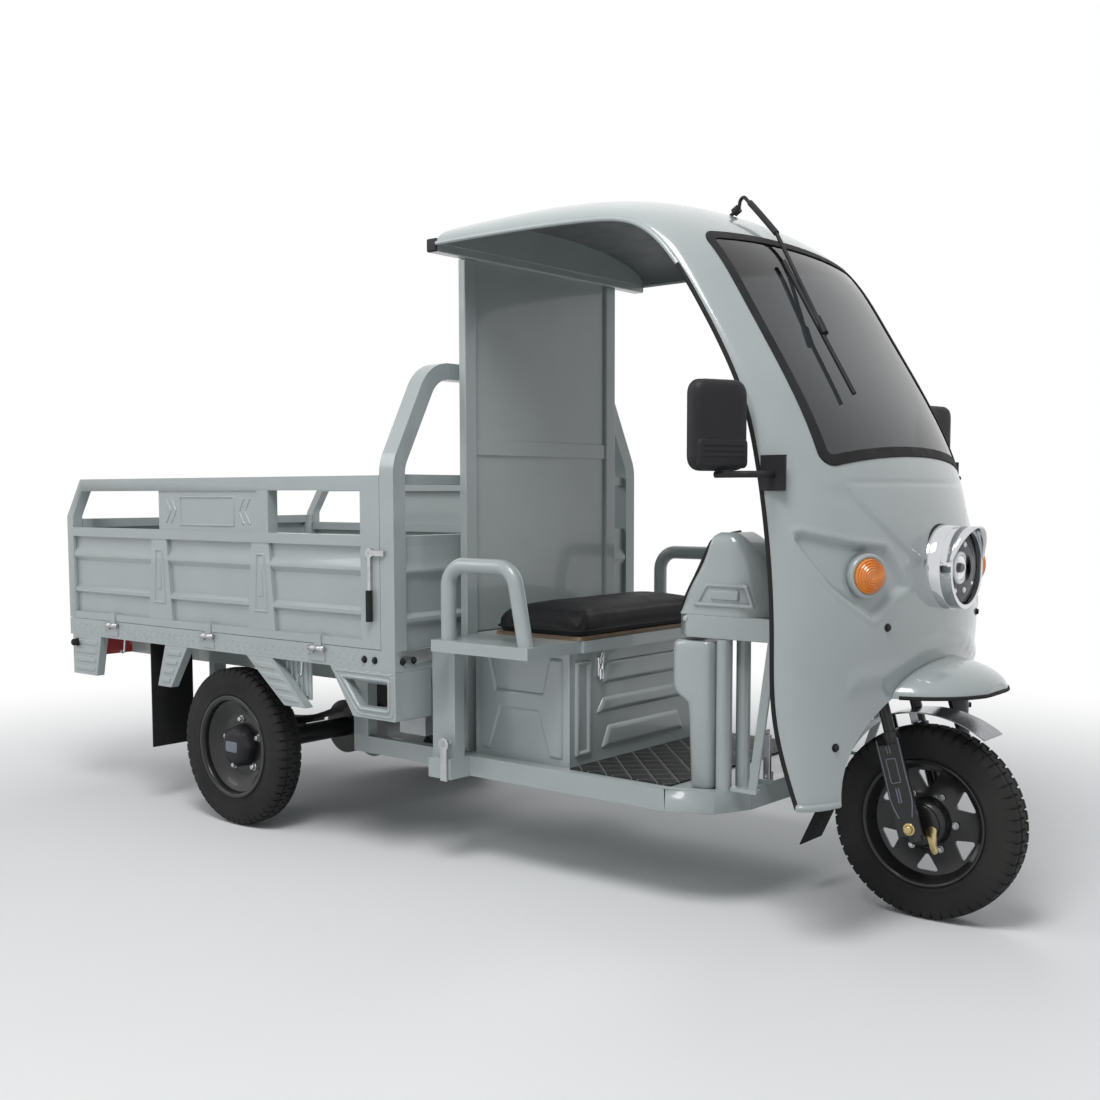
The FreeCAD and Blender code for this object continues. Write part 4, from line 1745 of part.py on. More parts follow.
def build():
    rear_wheel()
    front_wheel()
    rear_axle()
    leaf_springs()
    chassis_frame()
    cab_floor()
    cab_rear()
    seat()
    parking_brake()
    foot_brake()
    dash()
    fork()
    front_mudguard()
    controls()
    bed()
    side_gates()
    tailgate()
    side_brackets()
    cab_shell()
    lamps()
    mirrors()
    wiper()
    doc.recompute()


def check():
    """Every object has to be sound before anything is written."""
    faults = [obj.Name for obj in doc.Objects if {"Invalid", "Error"} & set(obj.State)]
    faults += [piece.Label for piece in NODES if piece.Shape.isNull() or not piece.Shape.isValid()]
    if faults:
        raise RuntimeError("unsound: " + ", ".join(sorted(set(faults))))


def write():
    os.makedirs("parts", exist_ok=True)
    for piece in NODES:
        shape = piece.Shape.copy()
        shape.translate(Vector(-size("middle_x"), 0, 0))
        shape.exportStep(f"parts/{piece.Label}.step")
        print(piece.Label, len(shape.Solids))


build()
check()
write()
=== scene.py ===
"""Looks of a cargo tricycle with a half cab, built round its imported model.

Metres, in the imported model's frame: +X forward, +Y to the rider's left, +Z up, origin on the ground.
"""

import json
import math

import bmesh
import bpy
import numpy as np
from mathutils import Matrix, Vector
from mathutils.bvhtree import BVHTree

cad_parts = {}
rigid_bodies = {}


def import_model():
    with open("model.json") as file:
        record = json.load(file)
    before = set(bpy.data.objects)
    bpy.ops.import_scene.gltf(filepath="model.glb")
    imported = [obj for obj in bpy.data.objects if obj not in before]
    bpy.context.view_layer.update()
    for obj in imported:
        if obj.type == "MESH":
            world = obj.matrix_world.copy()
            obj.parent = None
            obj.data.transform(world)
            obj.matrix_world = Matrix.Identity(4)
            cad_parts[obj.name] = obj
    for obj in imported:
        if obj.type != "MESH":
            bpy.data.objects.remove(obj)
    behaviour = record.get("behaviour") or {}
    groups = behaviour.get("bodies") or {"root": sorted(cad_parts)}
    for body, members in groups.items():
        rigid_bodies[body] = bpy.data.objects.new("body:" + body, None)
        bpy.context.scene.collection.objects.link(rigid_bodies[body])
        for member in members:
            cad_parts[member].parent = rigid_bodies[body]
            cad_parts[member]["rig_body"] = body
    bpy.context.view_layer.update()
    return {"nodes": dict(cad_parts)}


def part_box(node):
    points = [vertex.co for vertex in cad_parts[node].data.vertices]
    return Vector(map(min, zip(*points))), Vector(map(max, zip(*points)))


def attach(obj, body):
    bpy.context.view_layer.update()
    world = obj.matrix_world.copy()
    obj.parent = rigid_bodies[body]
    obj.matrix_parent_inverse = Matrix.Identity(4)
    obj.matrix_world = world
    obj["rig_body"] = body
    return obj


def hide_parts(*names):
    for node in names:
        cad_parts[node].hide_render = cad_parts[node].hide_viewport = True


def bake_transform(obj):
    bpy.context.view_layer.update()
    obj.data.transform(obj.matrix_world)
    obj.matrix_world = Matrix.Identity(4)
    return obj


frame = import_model()
NODES = frame["nodes"]
SIDES = (("right", -1), ("left", 1))
FORWARD = Vector((1, 0, 0))
LEFT = Vector((0, 1, 0))
RIGHT = Vector((0, -1, 0))
UP = Vector((0, 0, 1))
# Places well outside the object, to look at it from the right and from the front
FAR_RIGHT, FAR_FRONT = -1, 3

# Meshes

SAME_PLACE = 1e-6
WELD_GAP = 1e-5
SHARP_ANGLE = 35


def placed(name, data):
    """A new object in the scene."""
    piece = bpy.data.objects.new(name, data)
    bpy.context.scene.collection.objects.link(piece)
    return piece


def shade_faces(mesh, smooth):
    for face in mesh.polygons:
        face.use_smooth = smooth


def sharpen(piece, degrees):
    piece.data.set_sharp_from_angle(angle=math.radians(degrees))


def new_mesh(name, verts, faces, smooth=True):
    mesh = bpy.data.meshes.new(name)
    mesh.from_pydata([tuple(v) for v in verts], [], faces)
    mesh.validate()
    mesh.update()
    shade_faces(mesh, smooth)
    return placed(name, mesh)


def opened(piece):
    form = bmesh.new()
    form.from_mesh(piece.data)
    return form


def closed(form, piece):
    form.to_mesh(piece.data)
    form.free()
    return piece


def weld(form, gap):
    bmesh.ops.remove_doubles(form, verts=form.verts, dist=gap)


def face_out(form):
    bmesh.ops.recalc_face_normals(form, faces=form.faces)


def loft(name, rings, caps=True):
    """Quads between closed rings of equal count, with flat ends where it is capped."""
    count = len(rings[0])
    verts = [point for ring in rings for point in ring]
    faces = []
    for i in range(len(rings) - 1):
        for j in range(count):
            k = (j + 1) % count
            faces.append((i * count + j, i * count + k, (i + 1) * count + k, (i + 1) * count + j))
    if caps:
        faces.append(tuple(range(count))[::-1])
        faces.append(tuple((len(rings) - 1) * count + j for j in range(count)))
    piece = new_mesh(name, verts, faces)
    form = opened(piece)
    weld(form, SAME_PLACE)
    face_out(form)
    closed(form, piece)
    for face in piece.data.polygons:
        if len(face.vertices) > 4:
            face.use_smooth = False
    return piece


def axes_of(axis):
    """An axis and two directions square to it."""
    axis = Vector(axis).normalized()
    side = axis.cross(UP if abs(axis.z) < 0.9 else FORWARD).normalized()
    return axis, side, axis.cross(side)


def lathe(name, profile, centre, axis, steps=64, caps=True):
    """A turned piece: profile points are (along the axis, radius)."""
    axis, side, up = axes_of(axis)
    rings = []
    for along, radius in profile:
        ring = []
        for i in range(steps):
            turn = 2 * math.pi * i / steps
            way = side * math.cos(turn) + up * math.sin(turn)
            ring.append(Vector(centre) + axis * along + way * radius)
        rings.append(ring)
    return loft(name, rings, caps)


def beyond(profile, radius):
    """A profile whose radii are measured from some radius."""
    return [(along, radius + step) for along, step in profile]


def joined(name, pieces):
    """One object from several meshes."""
    form = bmesh.new()
    for piece in pieces:
        form.from_mesh(piece.data)
        bpy.data.objects.remove(piece)
    return closed(form, placed(name, bpy.data.meshes.new(name)))


def flipped(piece, name):
    """The mirror image across the middle plane."""
    twin = placed(name, piece.data.copy())
    twin.data.transform(Matrix.Scale(-1, 4, LEFT))
    twin.data.flip_normals()
    return twin


def worked_out(piece):
    """The mesh of a curve, or of a piece with its modifiers applied."""
    graph = bpy.context.evaluated_depsgraph_get()
    return bpy.data.meshes.new_from_object(piece.evaluated_get(graph))


def bake(piece):
    mesh = worked_out(piece)
    piece.modifiers.clear()
    piece.data = mesh


def carve(piece, cutter):
    """Cuts a closed form out of a piece."""
    tool = piece.modifiers.new("carve", "BOOLEAN")
    tool.operation = "DIFFERENCE"
    tool.solver = "EXACT"
    tool.object = cutter
    bake(piece)
    bpy.data.objects.remove(cutter)


def soften(piece, width, segments=2):
    """Rounds the sharp edges of a piece and keeps its flats flat."""
    merge = piece.modifiers.new("weld", "WELD")
    merge.merge_threshold = WELD_GAP
    bevel = piece.modifiers.new("bevel", "BEVEL")
    bevel.width = width
    bevel.segments = segments
    bevel.limit_method = "ANGLE"
    bevel.angle_limit = math.radians(SHARP_ANGLE)
    bevel.use_clamp_overlap = True
    normals = piece.modifiers.new("normals", "WEIGHTED_NORMAL")
    normals.weight = 80


def wire(name, points, radius, cyclic=False):
    """A round bar along a smooth line."""
    curve = bpy.data.curves.new(name, "CURVE")
    curve.dimensions = "3D"
    curve.bevel_depth = radius
    curve.bevel_resolution = 3
    curve.use_fill_caps = True
    path = curve.splines.new("NURBS")
    path.points.add(len(points) - 1)
    for place, point in zip(path.points, points):
        place.co = (*point, 1)
    path.order_u = 3
    path.use_endpoint_u = not cyclic
    path.resolution_u = 6
    path.use_cyclic_u = cyclic
    rod = placed(name, curve)
    mesh = worked_out(rod)
    bpy.data.objects.remove(rod)
    shade_faces(mesh, True)
    return placed(name, mesh)


# Materials

# Most of a noise lies between these
NOISE_RANGE = (0.3, 0.7)
COAT_ROUGH = 0.05
GLASS_ROUGH, GLASS_PATCH = (0.03, 0.06), 30.0
# Quilt: scale of its diamonds, and the parts of a wave that are stitched and sunk
QUILT_SCALE, STITCH_RANGE, SEAM_RANGE, SEAM_DEPTH = 5.2, (0.988, 0.998), (0.8, 1.0), 0.003
QUILT_ROUGH = 0.6


def shader(name):
    made = bpy.data.materials.new(name)
    made.use_nodes = True
    return made, made.node_tree, made.node_tree.nodes["Principled BSDF"]


def feed(tree, node, inputs):
    """Fills a node's inputs: other nodes' outputs are linked, and constants go on the sockets."""
    for key, value in inputs.items():
        if isinstance(value, bpy.types.NodeSocket):
            tree.links.new(value, node.inputs[key])
        else:
            node.inputs[key].default_value = value
    return node


def add_node(tree, kind, inputs, operation=None):
    node = tree.nodes.new(f"ShaderNode{kind}")
    if operation:
        node.operation = operation
    return feed(tree, node, inputs)


def places_of(tree):
    return tree.nodes.new("ShaderNodeTexCoord").outputs["Object"]


def noise(tree, scale, detail=3.0):
    grain = add_node(tree, "TexNoise", {"Vector": places_of(tree), "Scale": scale, "Detail": detail})
    return grain.outputs["Fac"]


def ranged(tree, value, start=0.0, end=1.0, low=0.0, high=1.0):
    ends = {"From Min": start, "From Max": end, "To Min": low, "To Max": high}
    return add_node(tree, "MapRange", {"Value": value, **ends})


def spread(tree, value, low, high):
    """Maps the middle of a noise to a range."""
    return ranged(tree, value, *NOISE_RANGE, low, high).outputs["Result"]


def blend_colour(tree, share, first, second):
    mixed = tree.nodes.new("ShaderNodeMix")
    mixed.data_type = "RGBA"
    feed(tree, mixed, {"A": (*first, 1), "B": (*second, 1), "Factor": share})
    return mixed.outputs["Result"]


def bump(tree, height, depth):
    return add_node(tree, "Bump", {"Height": height, "Strength": 1.0, "Distance": depth}).outputs["Normal"]


def surface(name, colour, shade, rough, metal=0.0, coat=0.0,
            patch=5.0, grain=400.0, depth=0.0002, level=0.5):
    """A finish that drifts between two tones, with uneven gloss and a fine grain."""
    made, tree, body = shader(name)
    tone = spread(tree, noise(tree, patch), 0.0, 1.0)
    feed(tree, body, {
        "Base Color": blend_colour(tree, tone, colour, shade),
        "Roughness": spread(tree, noise(tree, patch * 4), *rough),
        "Normal": bump(tree, noise(tree, grain, 2.0), depth),
        "Metallic": metal, "Coat Weight": coat, "Coat Roughness": COAT_ROUGH, "Specular IOR Level": level})
    return made


def clear(name, colour, index=1.45):
    """Clear or tinted glass and plastic."""
    made, tree, body = shader(name)
    gloss = spread(tree, noise(tree, GLASS_PATCH), *GLASS_ROUGH)
    feed(tree, body, {
        "Base Color": (*colour, 1), "Transmission Weight": 1.0, "IOR": index, "Roughness": gloss})
    return made


def quilted(name):
    """Black quilted mat with pale stitching on its diamonds."""
    made, tree, body = shader(name)
    place = places_of(tree)
    bands = []
    for turn in (45, -45):
        turned = add_node(tree, "Mapping", {"Vector": place, "Rotation": (0, 0, math.radians(turn))})
        band = add_node(tree, "TexWave", {"Vector": turned.outputs["Vector"], "Scale": QUILT_SCALE})
        bands.append(band.outputs["Fac"])
    seams = add_node(tree, "Math", dict(enumerate(bands)), "MAXIMUM").outputs["Value"]
    line = ranged(tree, seams, *STITCH_RANGE).outputs["Result"]
    sunk = ranged(tree, seams, *SEAM_RANGE, 1.0, 0.0).outputs["Result"]
    feed(tree, body, {
        "Base Color": blend_colour(tree, line, BLACK, STITCH),
        "Normal": bump(tree, sunk, SEAM_DEPTH), "Roughness": QUILT_ROUGH})
    return made


GREY = (0.388, 0.43, 0.432)
GREY_SHADE = (0.364, 0.404, 0.406)
BLACK = (0.012, 0.012, 0.013)
BLACK_SHADE = (0.02, 0.02, 0.021)
STITCH = (0.17, 0.165, 0.155)
# Gloss and grain that coloured lenses share
LENS_LOOK = {"rough": (0.08, 0.16), "coat": 0.8, "grain": 500.0, "depth": 0.0004}

PAINT = surface("gloss_paint", GREY, GREY_SHADE, (0.2, 0.26), coat=0.7, grain=260.0, depth=0.00001)
STEEL_PAINT = surface("frame_paint", GREY, GREY_SHADE, (0.3, 0.4), coat=0.5, grain=420.0, depth=0.00003)
DECK_PAINT = surface("deck_paint", GREY_SHADE, (0.33, 0.355, 0.35), (0.45, 0.6), grain=300.0, depth=0.0002)
# Darker grey for the shell's inside: painted shade that stands in for the shade under the roof, where the
# real paint matches the outside
UNDER_ROOF_PAINTED_SHADE = surface("cab_inside_painted_shade", (0.16, 0.17, 0.17), (0.13, 0.14, 0.14), (0.5, 0.65), grain=600.0)
BLACK_PAINT = surface("black_enamel", BLACK, BLACK_SHADE, (0.26, 0.38), coat=0.15, depth=0.00003, level=0.4)
PLASTIC = surface("black_plastic", (0.016, 0.016, 0.018), (0.026, 0.026, 0.028), (0.45, 0.58), grain=1400.0,
                  level=0.22)
RUBBER = surface("black_rubber", BLACK, BLACK_SHADE, (0.6, 0.8), grain=900.0, level=0.22)
TYRE = surface("tyre_rubber", (0.013, 0.013, 0.014), (0.03, 0.029, 0.028), (0.62, 0.82), grain=700.0,
               level=0.22)
CHROME = surface("chrome", (0.66, 0.67, 0.69), (0.58, 0.59, 0.61), (0.05, 0.12), metal=1.0, depth=0.00002)
# Plated mudguard with a darkened metal colour: painted reflection that stands in for the dark surroundings
# its chrome mirrors
GUARD_PAINTED_REFLECTION = surface("guard_painted_dark_reflection", (0.3, 0.31, 0.325), (0.24, 0.25, 0.265), (0.12, 0.22), metal=1.0, patch=12.0)
ZINC = surface("zinc", (0.56, 0.57, 0.58), (0.44, 0.45, 0.46), (0.28, 0.42), metal=1.0, patch=40.0)
BRASS = surface("yellow_zinc", (0.62, 0.5, 0.24), (0.5, 0.4, 0.2), (0.25, 0.4), metal=1.0, patch=40.0)
CAST = surface("cast_alloy", (0.42, 0.43, 0.44), (0.32, 0.33, 0.34), (0.5, 0.65), metal=0.8, grain=350.0,
               depth=0.0005)
SPRING = surface("spring_steel", (0.03, 0.03, 0.03), (0.055, 0.045, 0.04), (0.5, 0.7), metal=0.4)
VINYL = surface("seat_vinyl", (0.011, 0.011, 0.012), (0.019, 0.019, 0.02), (0.5, 0.62), grain=900.0,
                depth=0.0005, level=0.15)
PLY = surface("plywood", (0.3, 0.22, 0.14), (0.22, 0.16, 0.1), (0.6, 0.75), patch=18.0)
PALE = surface("pale_plate", (0.2, 0.215, 0.25), (0.16, 0.175, 0.205), (0.4, 0.5), metal=0.3)
LAMP_BLACK = surface("lamp_black", (0.008, 0.008, 0.009), (0.013, 0.013, 0.014), (0.35, 0.45), level=0.2)
SILVER = surface("reflector", (0.85, 0.85, 0.86), (0.75, 0.75, 0.76), (0.05, 0.12), metal=1.0)
WHITE_LENS = surface("white_lens", (0.8, 0.82, 0.84), (0.7, 0.72, 0.75), (0.1, 0.18), coat=0.5)
MIRROR = surface("mirror_glass", (0.9, 0.91, 0.92), (0.86, 0.87, 0.88), (0.01, 0.02), metal=1.0,
                 depth=0.00001)
SCREEN = clear("screen_glass", (0.035, 0.04, 0.043))
LENS = clear("lamp_lens", (0.96, 0.965, 0.97), index=1.12)
AMBER = surface("amber_lens", (0.9, 0.3, 0.012), (0.78, 0.22, 0.008), **LENS_LOOK)
RED = surface("red_lens", (0.5, 0.012, 0.01), (0.4, 0.008, 0.008), **LENS_LOOK)
MAT = quilted("quilted_mat")

# Finish of the carried-over solids, and the width of their rounded edges
NODE_LOOKS = (
    (STEEL_PAINT, 0.0, "armrests"),
    (STEEL_PAINT, 0.0008, "floor_pan"),
    (STEEL_PAINT, 0.001, "cab_back_panel seat_box"),
    (STEEL_PAINT, 0.0015, "bed_front_wall"),
    (STEEL_PAINT, 0.002, "bed_frame gate_right gate_left tailgate"),
    (STEEL_PAINT, 0.003, "cab_rear_frame chassis_frame bed_side_brackets"),
    (STEEL_PAINT, 0.004, "seat_plate"),
    (STEEL_PAINT, 0.006, "bed_hoop"),
    (DECK_PAINT, 0.0, "bed_deck"),
    (PAINT, 0.0, "cab_shell dash_cowls"),
    (PAINT, 0.0015, "front_lip"),
    (PAINT, 0.008, "dash_belt"),
    (PAINT, 0.014, "dash_leg_covers"),
    (BLACK_PAINT, 0.001, "handlebar rear_rim_right rear_rim_left front_rim"),
    (BLACK_PAINT, 0.002, "rear_axle_housing fork_yoke fork_sliders"),
    (PLASTIC, 0.0, "wiper_arm"),
    (PLASTIC, 0.002, "mirror_arms"),
    (PLASTIC, 0.003, "wiper_motor parking_brake_base"),
    (PLASTIC, 0.004, "mirror_right mirror_left battery_pack"),
    (RUBBER, 0.001, "mud_flaps"),
    (RUBBER, 0.0015, "windscreen_seal"),
    (RUBBER, 0.002, "throttle_grip"),
    (TYRE, 0.0, "rear_tyre_right rear_tyre_left front_tyre"),
    (ZINC, 0.001, "parking_brake_lever brake_pedal brake_rocker brake_lever"),
    (ZINC, 0.001, "gate_latch_right gate_latch_left tailgate_latch_right tailgate_latch_left"),
    (CAST, 0.003, "motor_controller drive_motor"),
    (GUARD_PAINTED_REFLECTION, 0.001, "front_mudguard"),
    (CHROME, 0.002, "headlight_body"),
    (SCREEN, 0.0, "windscreen"),
    (LENS, 0.001, "headlight_lens"),
    (AMBER, 0.002, "turn_signals"),
    (RED, 0.003, "tail_lamps"),
    (PLY, 0.001, "seat_board"),
    (VINYL, 0.0, "seat_cushion"),
    (SPRING, 0.001, "leaf_springs"),
    (MAT, 0.001, "floor_mat"),
)


def paint(piece, material):
    piece.data.materials.clear()
    piece.data.materials.append(material)


def dress_nodes():
    for material, width, names in NODE_LOOKS:
        for name in names.split():
            paint(NODES[name], material)
            if width:
                soften(NODES[name], width)


def dress(piece, material, body="chassis", stands_for=()):
    """Gives a piece its material and its body, and hides the nodes that it stands for."""
    paint(piece, material)
    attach(piece, body)
    if stands_for:
        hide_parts(*stands_for)


# Outlines on a plane

# Foot of a raised form below its face, and the least corner of an outline
SUNK = 0.0012
LEAST_CORNER = 0.0008
# Keeps a sharp corner from running off as its sides move inward
LEAST_MITRE = 0.35
# A bend takes less than half of each side
BEND_PART = 2.1
# Sides of a raised form, as shares of its slope inward and of its rise
PAD_SHARES = ((0.35, 0.55), (0.8, 0.95), (1.15, 1.0))
# Where a raised band is level, as shares of its width
BAND_SHARES = (0.3, 0.7)
# Bolt: foot of its head, shares of its head's radius and height, and its washer's heights and shares
HEAD_FOOT, HEAD_INNER_SHARE, HEAD_TOP_SHARE = 0.0012, 0.2, 0.8
WASHER_SHARES = ((-SUNK, 1.4), (0.001, 1.4), (0.0016, 1.25))


def ccw(outline):
    area = sum(a[0] * b[1] - a[1] * b[0] for a, b in zip(outline, outline[1:] + outline[:1]))
    return list(outline) if area > 0 else list(outline)[::-1]


def corners_of(outline):
    """Each point of an outline with those before and after it."""
    points = [Vector(point) for point in outline]
    return zip(points[-1:] + points[:-1], points, points[1:] + points[:1])


def inset(outline, step):
    """Moves each side of an anticlockwise outline inward."""
    moved = []
    for last, here, after in corners_of(outline):
        first = (here - last).normalized()
        second = (after - here).normalized()
        normals = Vector((-first.y, first.x)), Vector((-second.y, second.x))
        share = step / max(LEAST_MITRE, 1 + normals[0].dot(normals[1]))
        moved.append(here + (normals[0] + normals[1]) * share)
    return moved


def round_off(outline, radius, steps=4):
    """Replaces each corner of an outline with an arc-like bend."""
    bent = []
    for last, here, after in corners_of(outline):
        reach = min(radius, (last - here).length / BEND_PART, (after - here).length / BEND_PART)
        start = here + (last - here).normalized() * reach
        end = here + (after - here).normalized() * reach
        for k in range(steps + 1):
            t = k / steps
            bent.append(start * (1 - t) ** 2 + here * 2 * t * (1 - t) + end * t ** 2)
    return bent


def rectangle(u0, u1, v0, v1):
    return [(u0, v0), (u1, v0), (u1, v1), (u0, v1)]


def moved_by(outline, u, v):
    return [(u + across, v + up) for across, up in outline]


class Plane:
    """A flat face to work on: an origin, two directions along it and one out of it."""

    def __init__(self, origin, across, up=UP):
        self.origin = Vector(origin)
        self.across = Vector(across).normalized()
        self.up = Vector(up).normalized()
        self.out = self.across.cross(self.up)

    def at(self, point, rise=0.0):
        return self.origin + self.across * point[0] + self.up * point[1] + self.out * rise

    def raised(self, rise):
        return Plane(self.origin + self.out * rise, self.across, self.up)

    def ring(self, outline, rise):
        return [self.at(point, rise) for point in outline]


def side_face(y):
    """The plane of a right-hand face, with x across and z up."""
    return Plane((0, y, 0), FORWARD)


def front_face(x):
    """The plane of a forward face, with y across and z up."""
    return Plane((x, 0, 0), LEFT)


def stepped(plane, outline, steps, corner, bends):
    """Rings of an outline, moved inward and raised by steps."""
    rings = []
    for step, height in steps:
        ring = round_off(inset(ccw(outline), step), max(corner - step / 2, LEAST_CORNER), bends)
        rings.append(plane.ring(ring, height))
    return rings


def pad(plane, outline, rise, slope, corner=0.004):
    """A raised form with sloped sides and a flat top; its foot is sunk a little into the face."""
    steps = [(0.0, -SUNK), (0.0, 0.0)] + [(inward * slope, up * rise) for inward, up in PAD_SHARES]
    form = loft("pad", stepped(plane, outline, steps, corner, bends=3))
    sharpen(form, 60)
    return form


def frame_pad(plane, outline, width, rise, corner=0.006):
    """A raised closed band along an outline."""
    top = [(share, rise) for share in BAND_SHARES]
    steps = [(0.0, -SUNK), (0.0, 0.0), *top, (1.0, 0.0), (1.0, -SUNK)]
    rings = stepped(plane, outline, [(share * width, height) for share, height in steps], corner, bends=4)
    return loft("band", rings + rings[:1], caps=False)


def bolt(place, out, radius, height, sides=6):
    """A hexagon head on a round washer."""
    head = ((HEAD_FOOT, radius * HEAD_INNER_SHARE), (HEAD_FOOT, radius), (height * HEAD_TOP_SHARE, radius),
            (height, radius * HEAD_TOP_SHARE))
    washer = [(rise, radius * share) for rise, share in WASHER_SHARES]
    pieces = [lathe("head", head, place, out, sides), lathe("washer", washer, place, out, steps=24)]
    return joined("bolt", pieces)


def middle(node):
    low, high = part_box(node)
    return (low + high) / 2


def radius_of(node):
    low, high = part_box(node)
    return (high.z - low.z) / 2


def body_of(node):
    return NODES[node]["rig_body"]


TREES = {}


def touch(piece, start, way):
    """Where a line from a start first meets a piece."""
    if piece.name not in TREES:
        mesh = piece.data
        faces = [face.vertices[:] for face in mesh.polygons]
        TREES[piece.name] = BVHTree.FromPolygons([v.co for v in mesh.vertices], faces)
    return TREES[piece.name].ray_cast(Vector(start), Vector(way).normalized())[0]


def both(name, pieces, material, bodies=("chassis", "chassis")):
    """One piece on the right from several, and its mirror image on the left."""
    right = joined(f"{name}_right", pieces)
    left = flipped(right, f"{name}_left")
    dress(right, material, bodies[0])
    dress(left, material, bodies[1])


# Wheels

TREAD_PITCHES = 54
TREAD_DEPTH = 0.0055
# Places along one pitch, with the cuts that are open there on the left and on the right
TREAD_STATIONS = (
    (0.0, 1, 0), (0.17, 1, 0), (0.21, 0, 0), (0.48, 0, 0), (0.52, 0, 1), (0.68, 0, 1), (0.72, 0, 0),
    (0.96, 0, 0))
# Half section from bead to crown: shares of the section's height and half width, and what is cut there
PLAIN, BLOCK, CHANNEL = 0, 1, 2
TYRE_SHARES = (
    (0.0, 0.74, PLAIN), (0.05, 0.86, PLAIN), (0.12, 0.9, PLAIN), (0.15, 0.95, PLAIN), (0.18, 0.93, PLAIN),
    (0.34, 1.0, PLAIN), (0.52, 1.0, PLAIN), (0.64, 0.97, PLAIN), (0.7, 0.955, PLAIN), (0.73, 0.96, BLOCK),
    (0.82, 0.93, BLOCK), (0.92, 0.86, BLOCK), (0.965, 0.74, BLOCK), (0.985, 0.5, BLOCK),
    (0.987, 0.45, CHANNEL), (0.99, 0.34, CHANNEL), (0.992, 0.3, BLOCK), (1.0, 0.06, BLOCK))
BEAD_OVERLAP = 0.004


def spoke(step, count):
    """A direction in the plane of a wheel, by steps of a full turn."""
    turn = 2 * math.pi * step / count
    return Vector((math.cos(turn), 0, math.sin(turn)))


def treaded_tyre(name, node, rim_node):
    """A tyre with cut shoulder blocks and two channels, in place of the plain one."""
    low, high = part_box(node)
    centre = middle(node)
    half = (high.y - low.y) / 2
    bead = radius_of(rim_node) - BEAD_OVERLAP
    height = radius_of(node) - bead
    section = [(bead + rise * height, out * half, kind) for rise, out, kind in TYRE_SHARES]
    section += [(radius, -y, kind) for radius, y, kind in section[::-1]]
    rings = []
    for pitch in range(TREAD_PITCHES):
        for place, left_cut, right_cut in TREAD_STATIONS:
            way = spoke(pitch + place, TREAD_PITCHES)
            ring = []
            for radius, y, kind in section:
                cut = {PLAIN: 0, BLOCK: left_cut if y > 0 else right_cut, CHANNEL: 1}[kind]
                ring.append(centre + way * (radius - cut * TREAD_DEPTH) + Vector((0, y, 0)))
            rings.append(ring)
    tyre = loft(name, rings + rings[:1], caps=False)
    sharpen(tyre, 38)
    dress(tyre, TYRE, body_of(node), [node])


def nuts_round(hub, out, count, shift, reach, rise, radius, height):
    """Nuts on a circle round a hub."""
    places = [hub + spoke(i + shift, count) * reach + out * rise for i in range(count)]
    return [bolt(place, out, radius, height) for place in places]


# Turned profiles of a rear wheel, from its disc; those of the rim's edge are from the edge and the bead
DISC_SET = 0.05
RIM_EDGE = (
    (-0.03, -0.012), (-0.004, -0.012), (0.002, -0.006), (0.003, 0.002), (0.0, 0.006), (-0.004, 0.003),
    (-0.008, -0.004), (-0.03, -0.004), (-0.03, -0.012))
RIM_STEP = (
    (0.0, 0.06), (0.004, 0.1), (0.002, 0.112), (0.012, 0.122), (0.014, 0.14), (0.03, 0.152), (0.03, 0.157),
    (0.0, 0.157), (-0.004, 0.06))
HUB_CAP = ((0.0, 0.072), (0.02, 0.072), (0.03, 0.069), (0.042, 0.06), (0.05, 0.048), (0.051, 0.03))
CAP_SIDES = 8
HUB_PLATE = rectangle(-0.03, 0.03, -0.018, 0.018)
LUG_NUTS = {"count": 5, "shift": 0.3, "reach": 0.088, "rise": 0.003, "radius": 0.009, "height": 0.012}


def rear_wheel_trim(side_name, side):
    """Lug nuts, an eight-sided dome cap with a bare plate, and a stepped rim edge."""
    node = f"rear_rim_{side_name}"
    low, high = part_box(node)
    hub = middle(node)
    out = Vector((0, side, 0))
    body = body_of(node)
    edge_y = low.y if side < 0 else high.y
    face = Vector((hub.x, edge_y - side * DISC_SET, hub.z))
    edge = beyond(RIM_EDGE, radius_of(node))
    rim_edge = lathe(f"rim_edge_{side_name}", edge, (hub.x, edge_y, hub.z), out, steps=96, caps=False)
    dress(rim_edge, BLACK_PAINT, body)
    dress(lathe(f"rim_step_{side_name}", RIM_STEP, face, out, steps=96, caps=False), BLACK_PAINT, body)
    dress(joined(f"lug_nuts_{side_name}", nuts_round(face, out, **LUG_NUTS)), ZINC, body)
    cap = lathe(f"hub_cap_{side_name}", HUB_CAP, face, out, steps=CAP_SIDES)
    soften(cap, width=0.004, segments=3)
    shade_faces(cap.data, False)
    dress(cap, PLASTIC, body)
    top = Plane(face + out * HUB_CAP[-1][0], (-side, 0, 0))
    plate = pad(top, HUB_PLATE, rise=0.0018, slope=0.0012, corner=0.009)
    plate.name = f"hub_plate_{side_name}"
    dress(plate, PALE, body)


# Front wheel: half profile of the barrel, from the bead, and the profile of the disc inside its edge
BARREL = 0.044
BARREL_HALF = (
    (0.012, -0.026), (0.02, -0.016), (BARREL - 0.006, -0.012), (BARREL, -0.006), (BARREL, 0.0),
    (BARREL - 0.006, -0.006), (0.02, -0.01), (0.01, -0.02))
DISC_OUTSIDE = ((-0.012, 0.04), (-0.016, 0.07), (-0.004, 0.085), (-0.004, 0.135))
DISC_INSIDE = ((0.003, 0.135), (0.003, 0.085), (-0.008, 0.07), (-0.004, 0.04))
DISC_EDGE = ((-0.01, -0.022), (-0.004, -0.022))
HUB_BELLY = (0.016, 0.066)
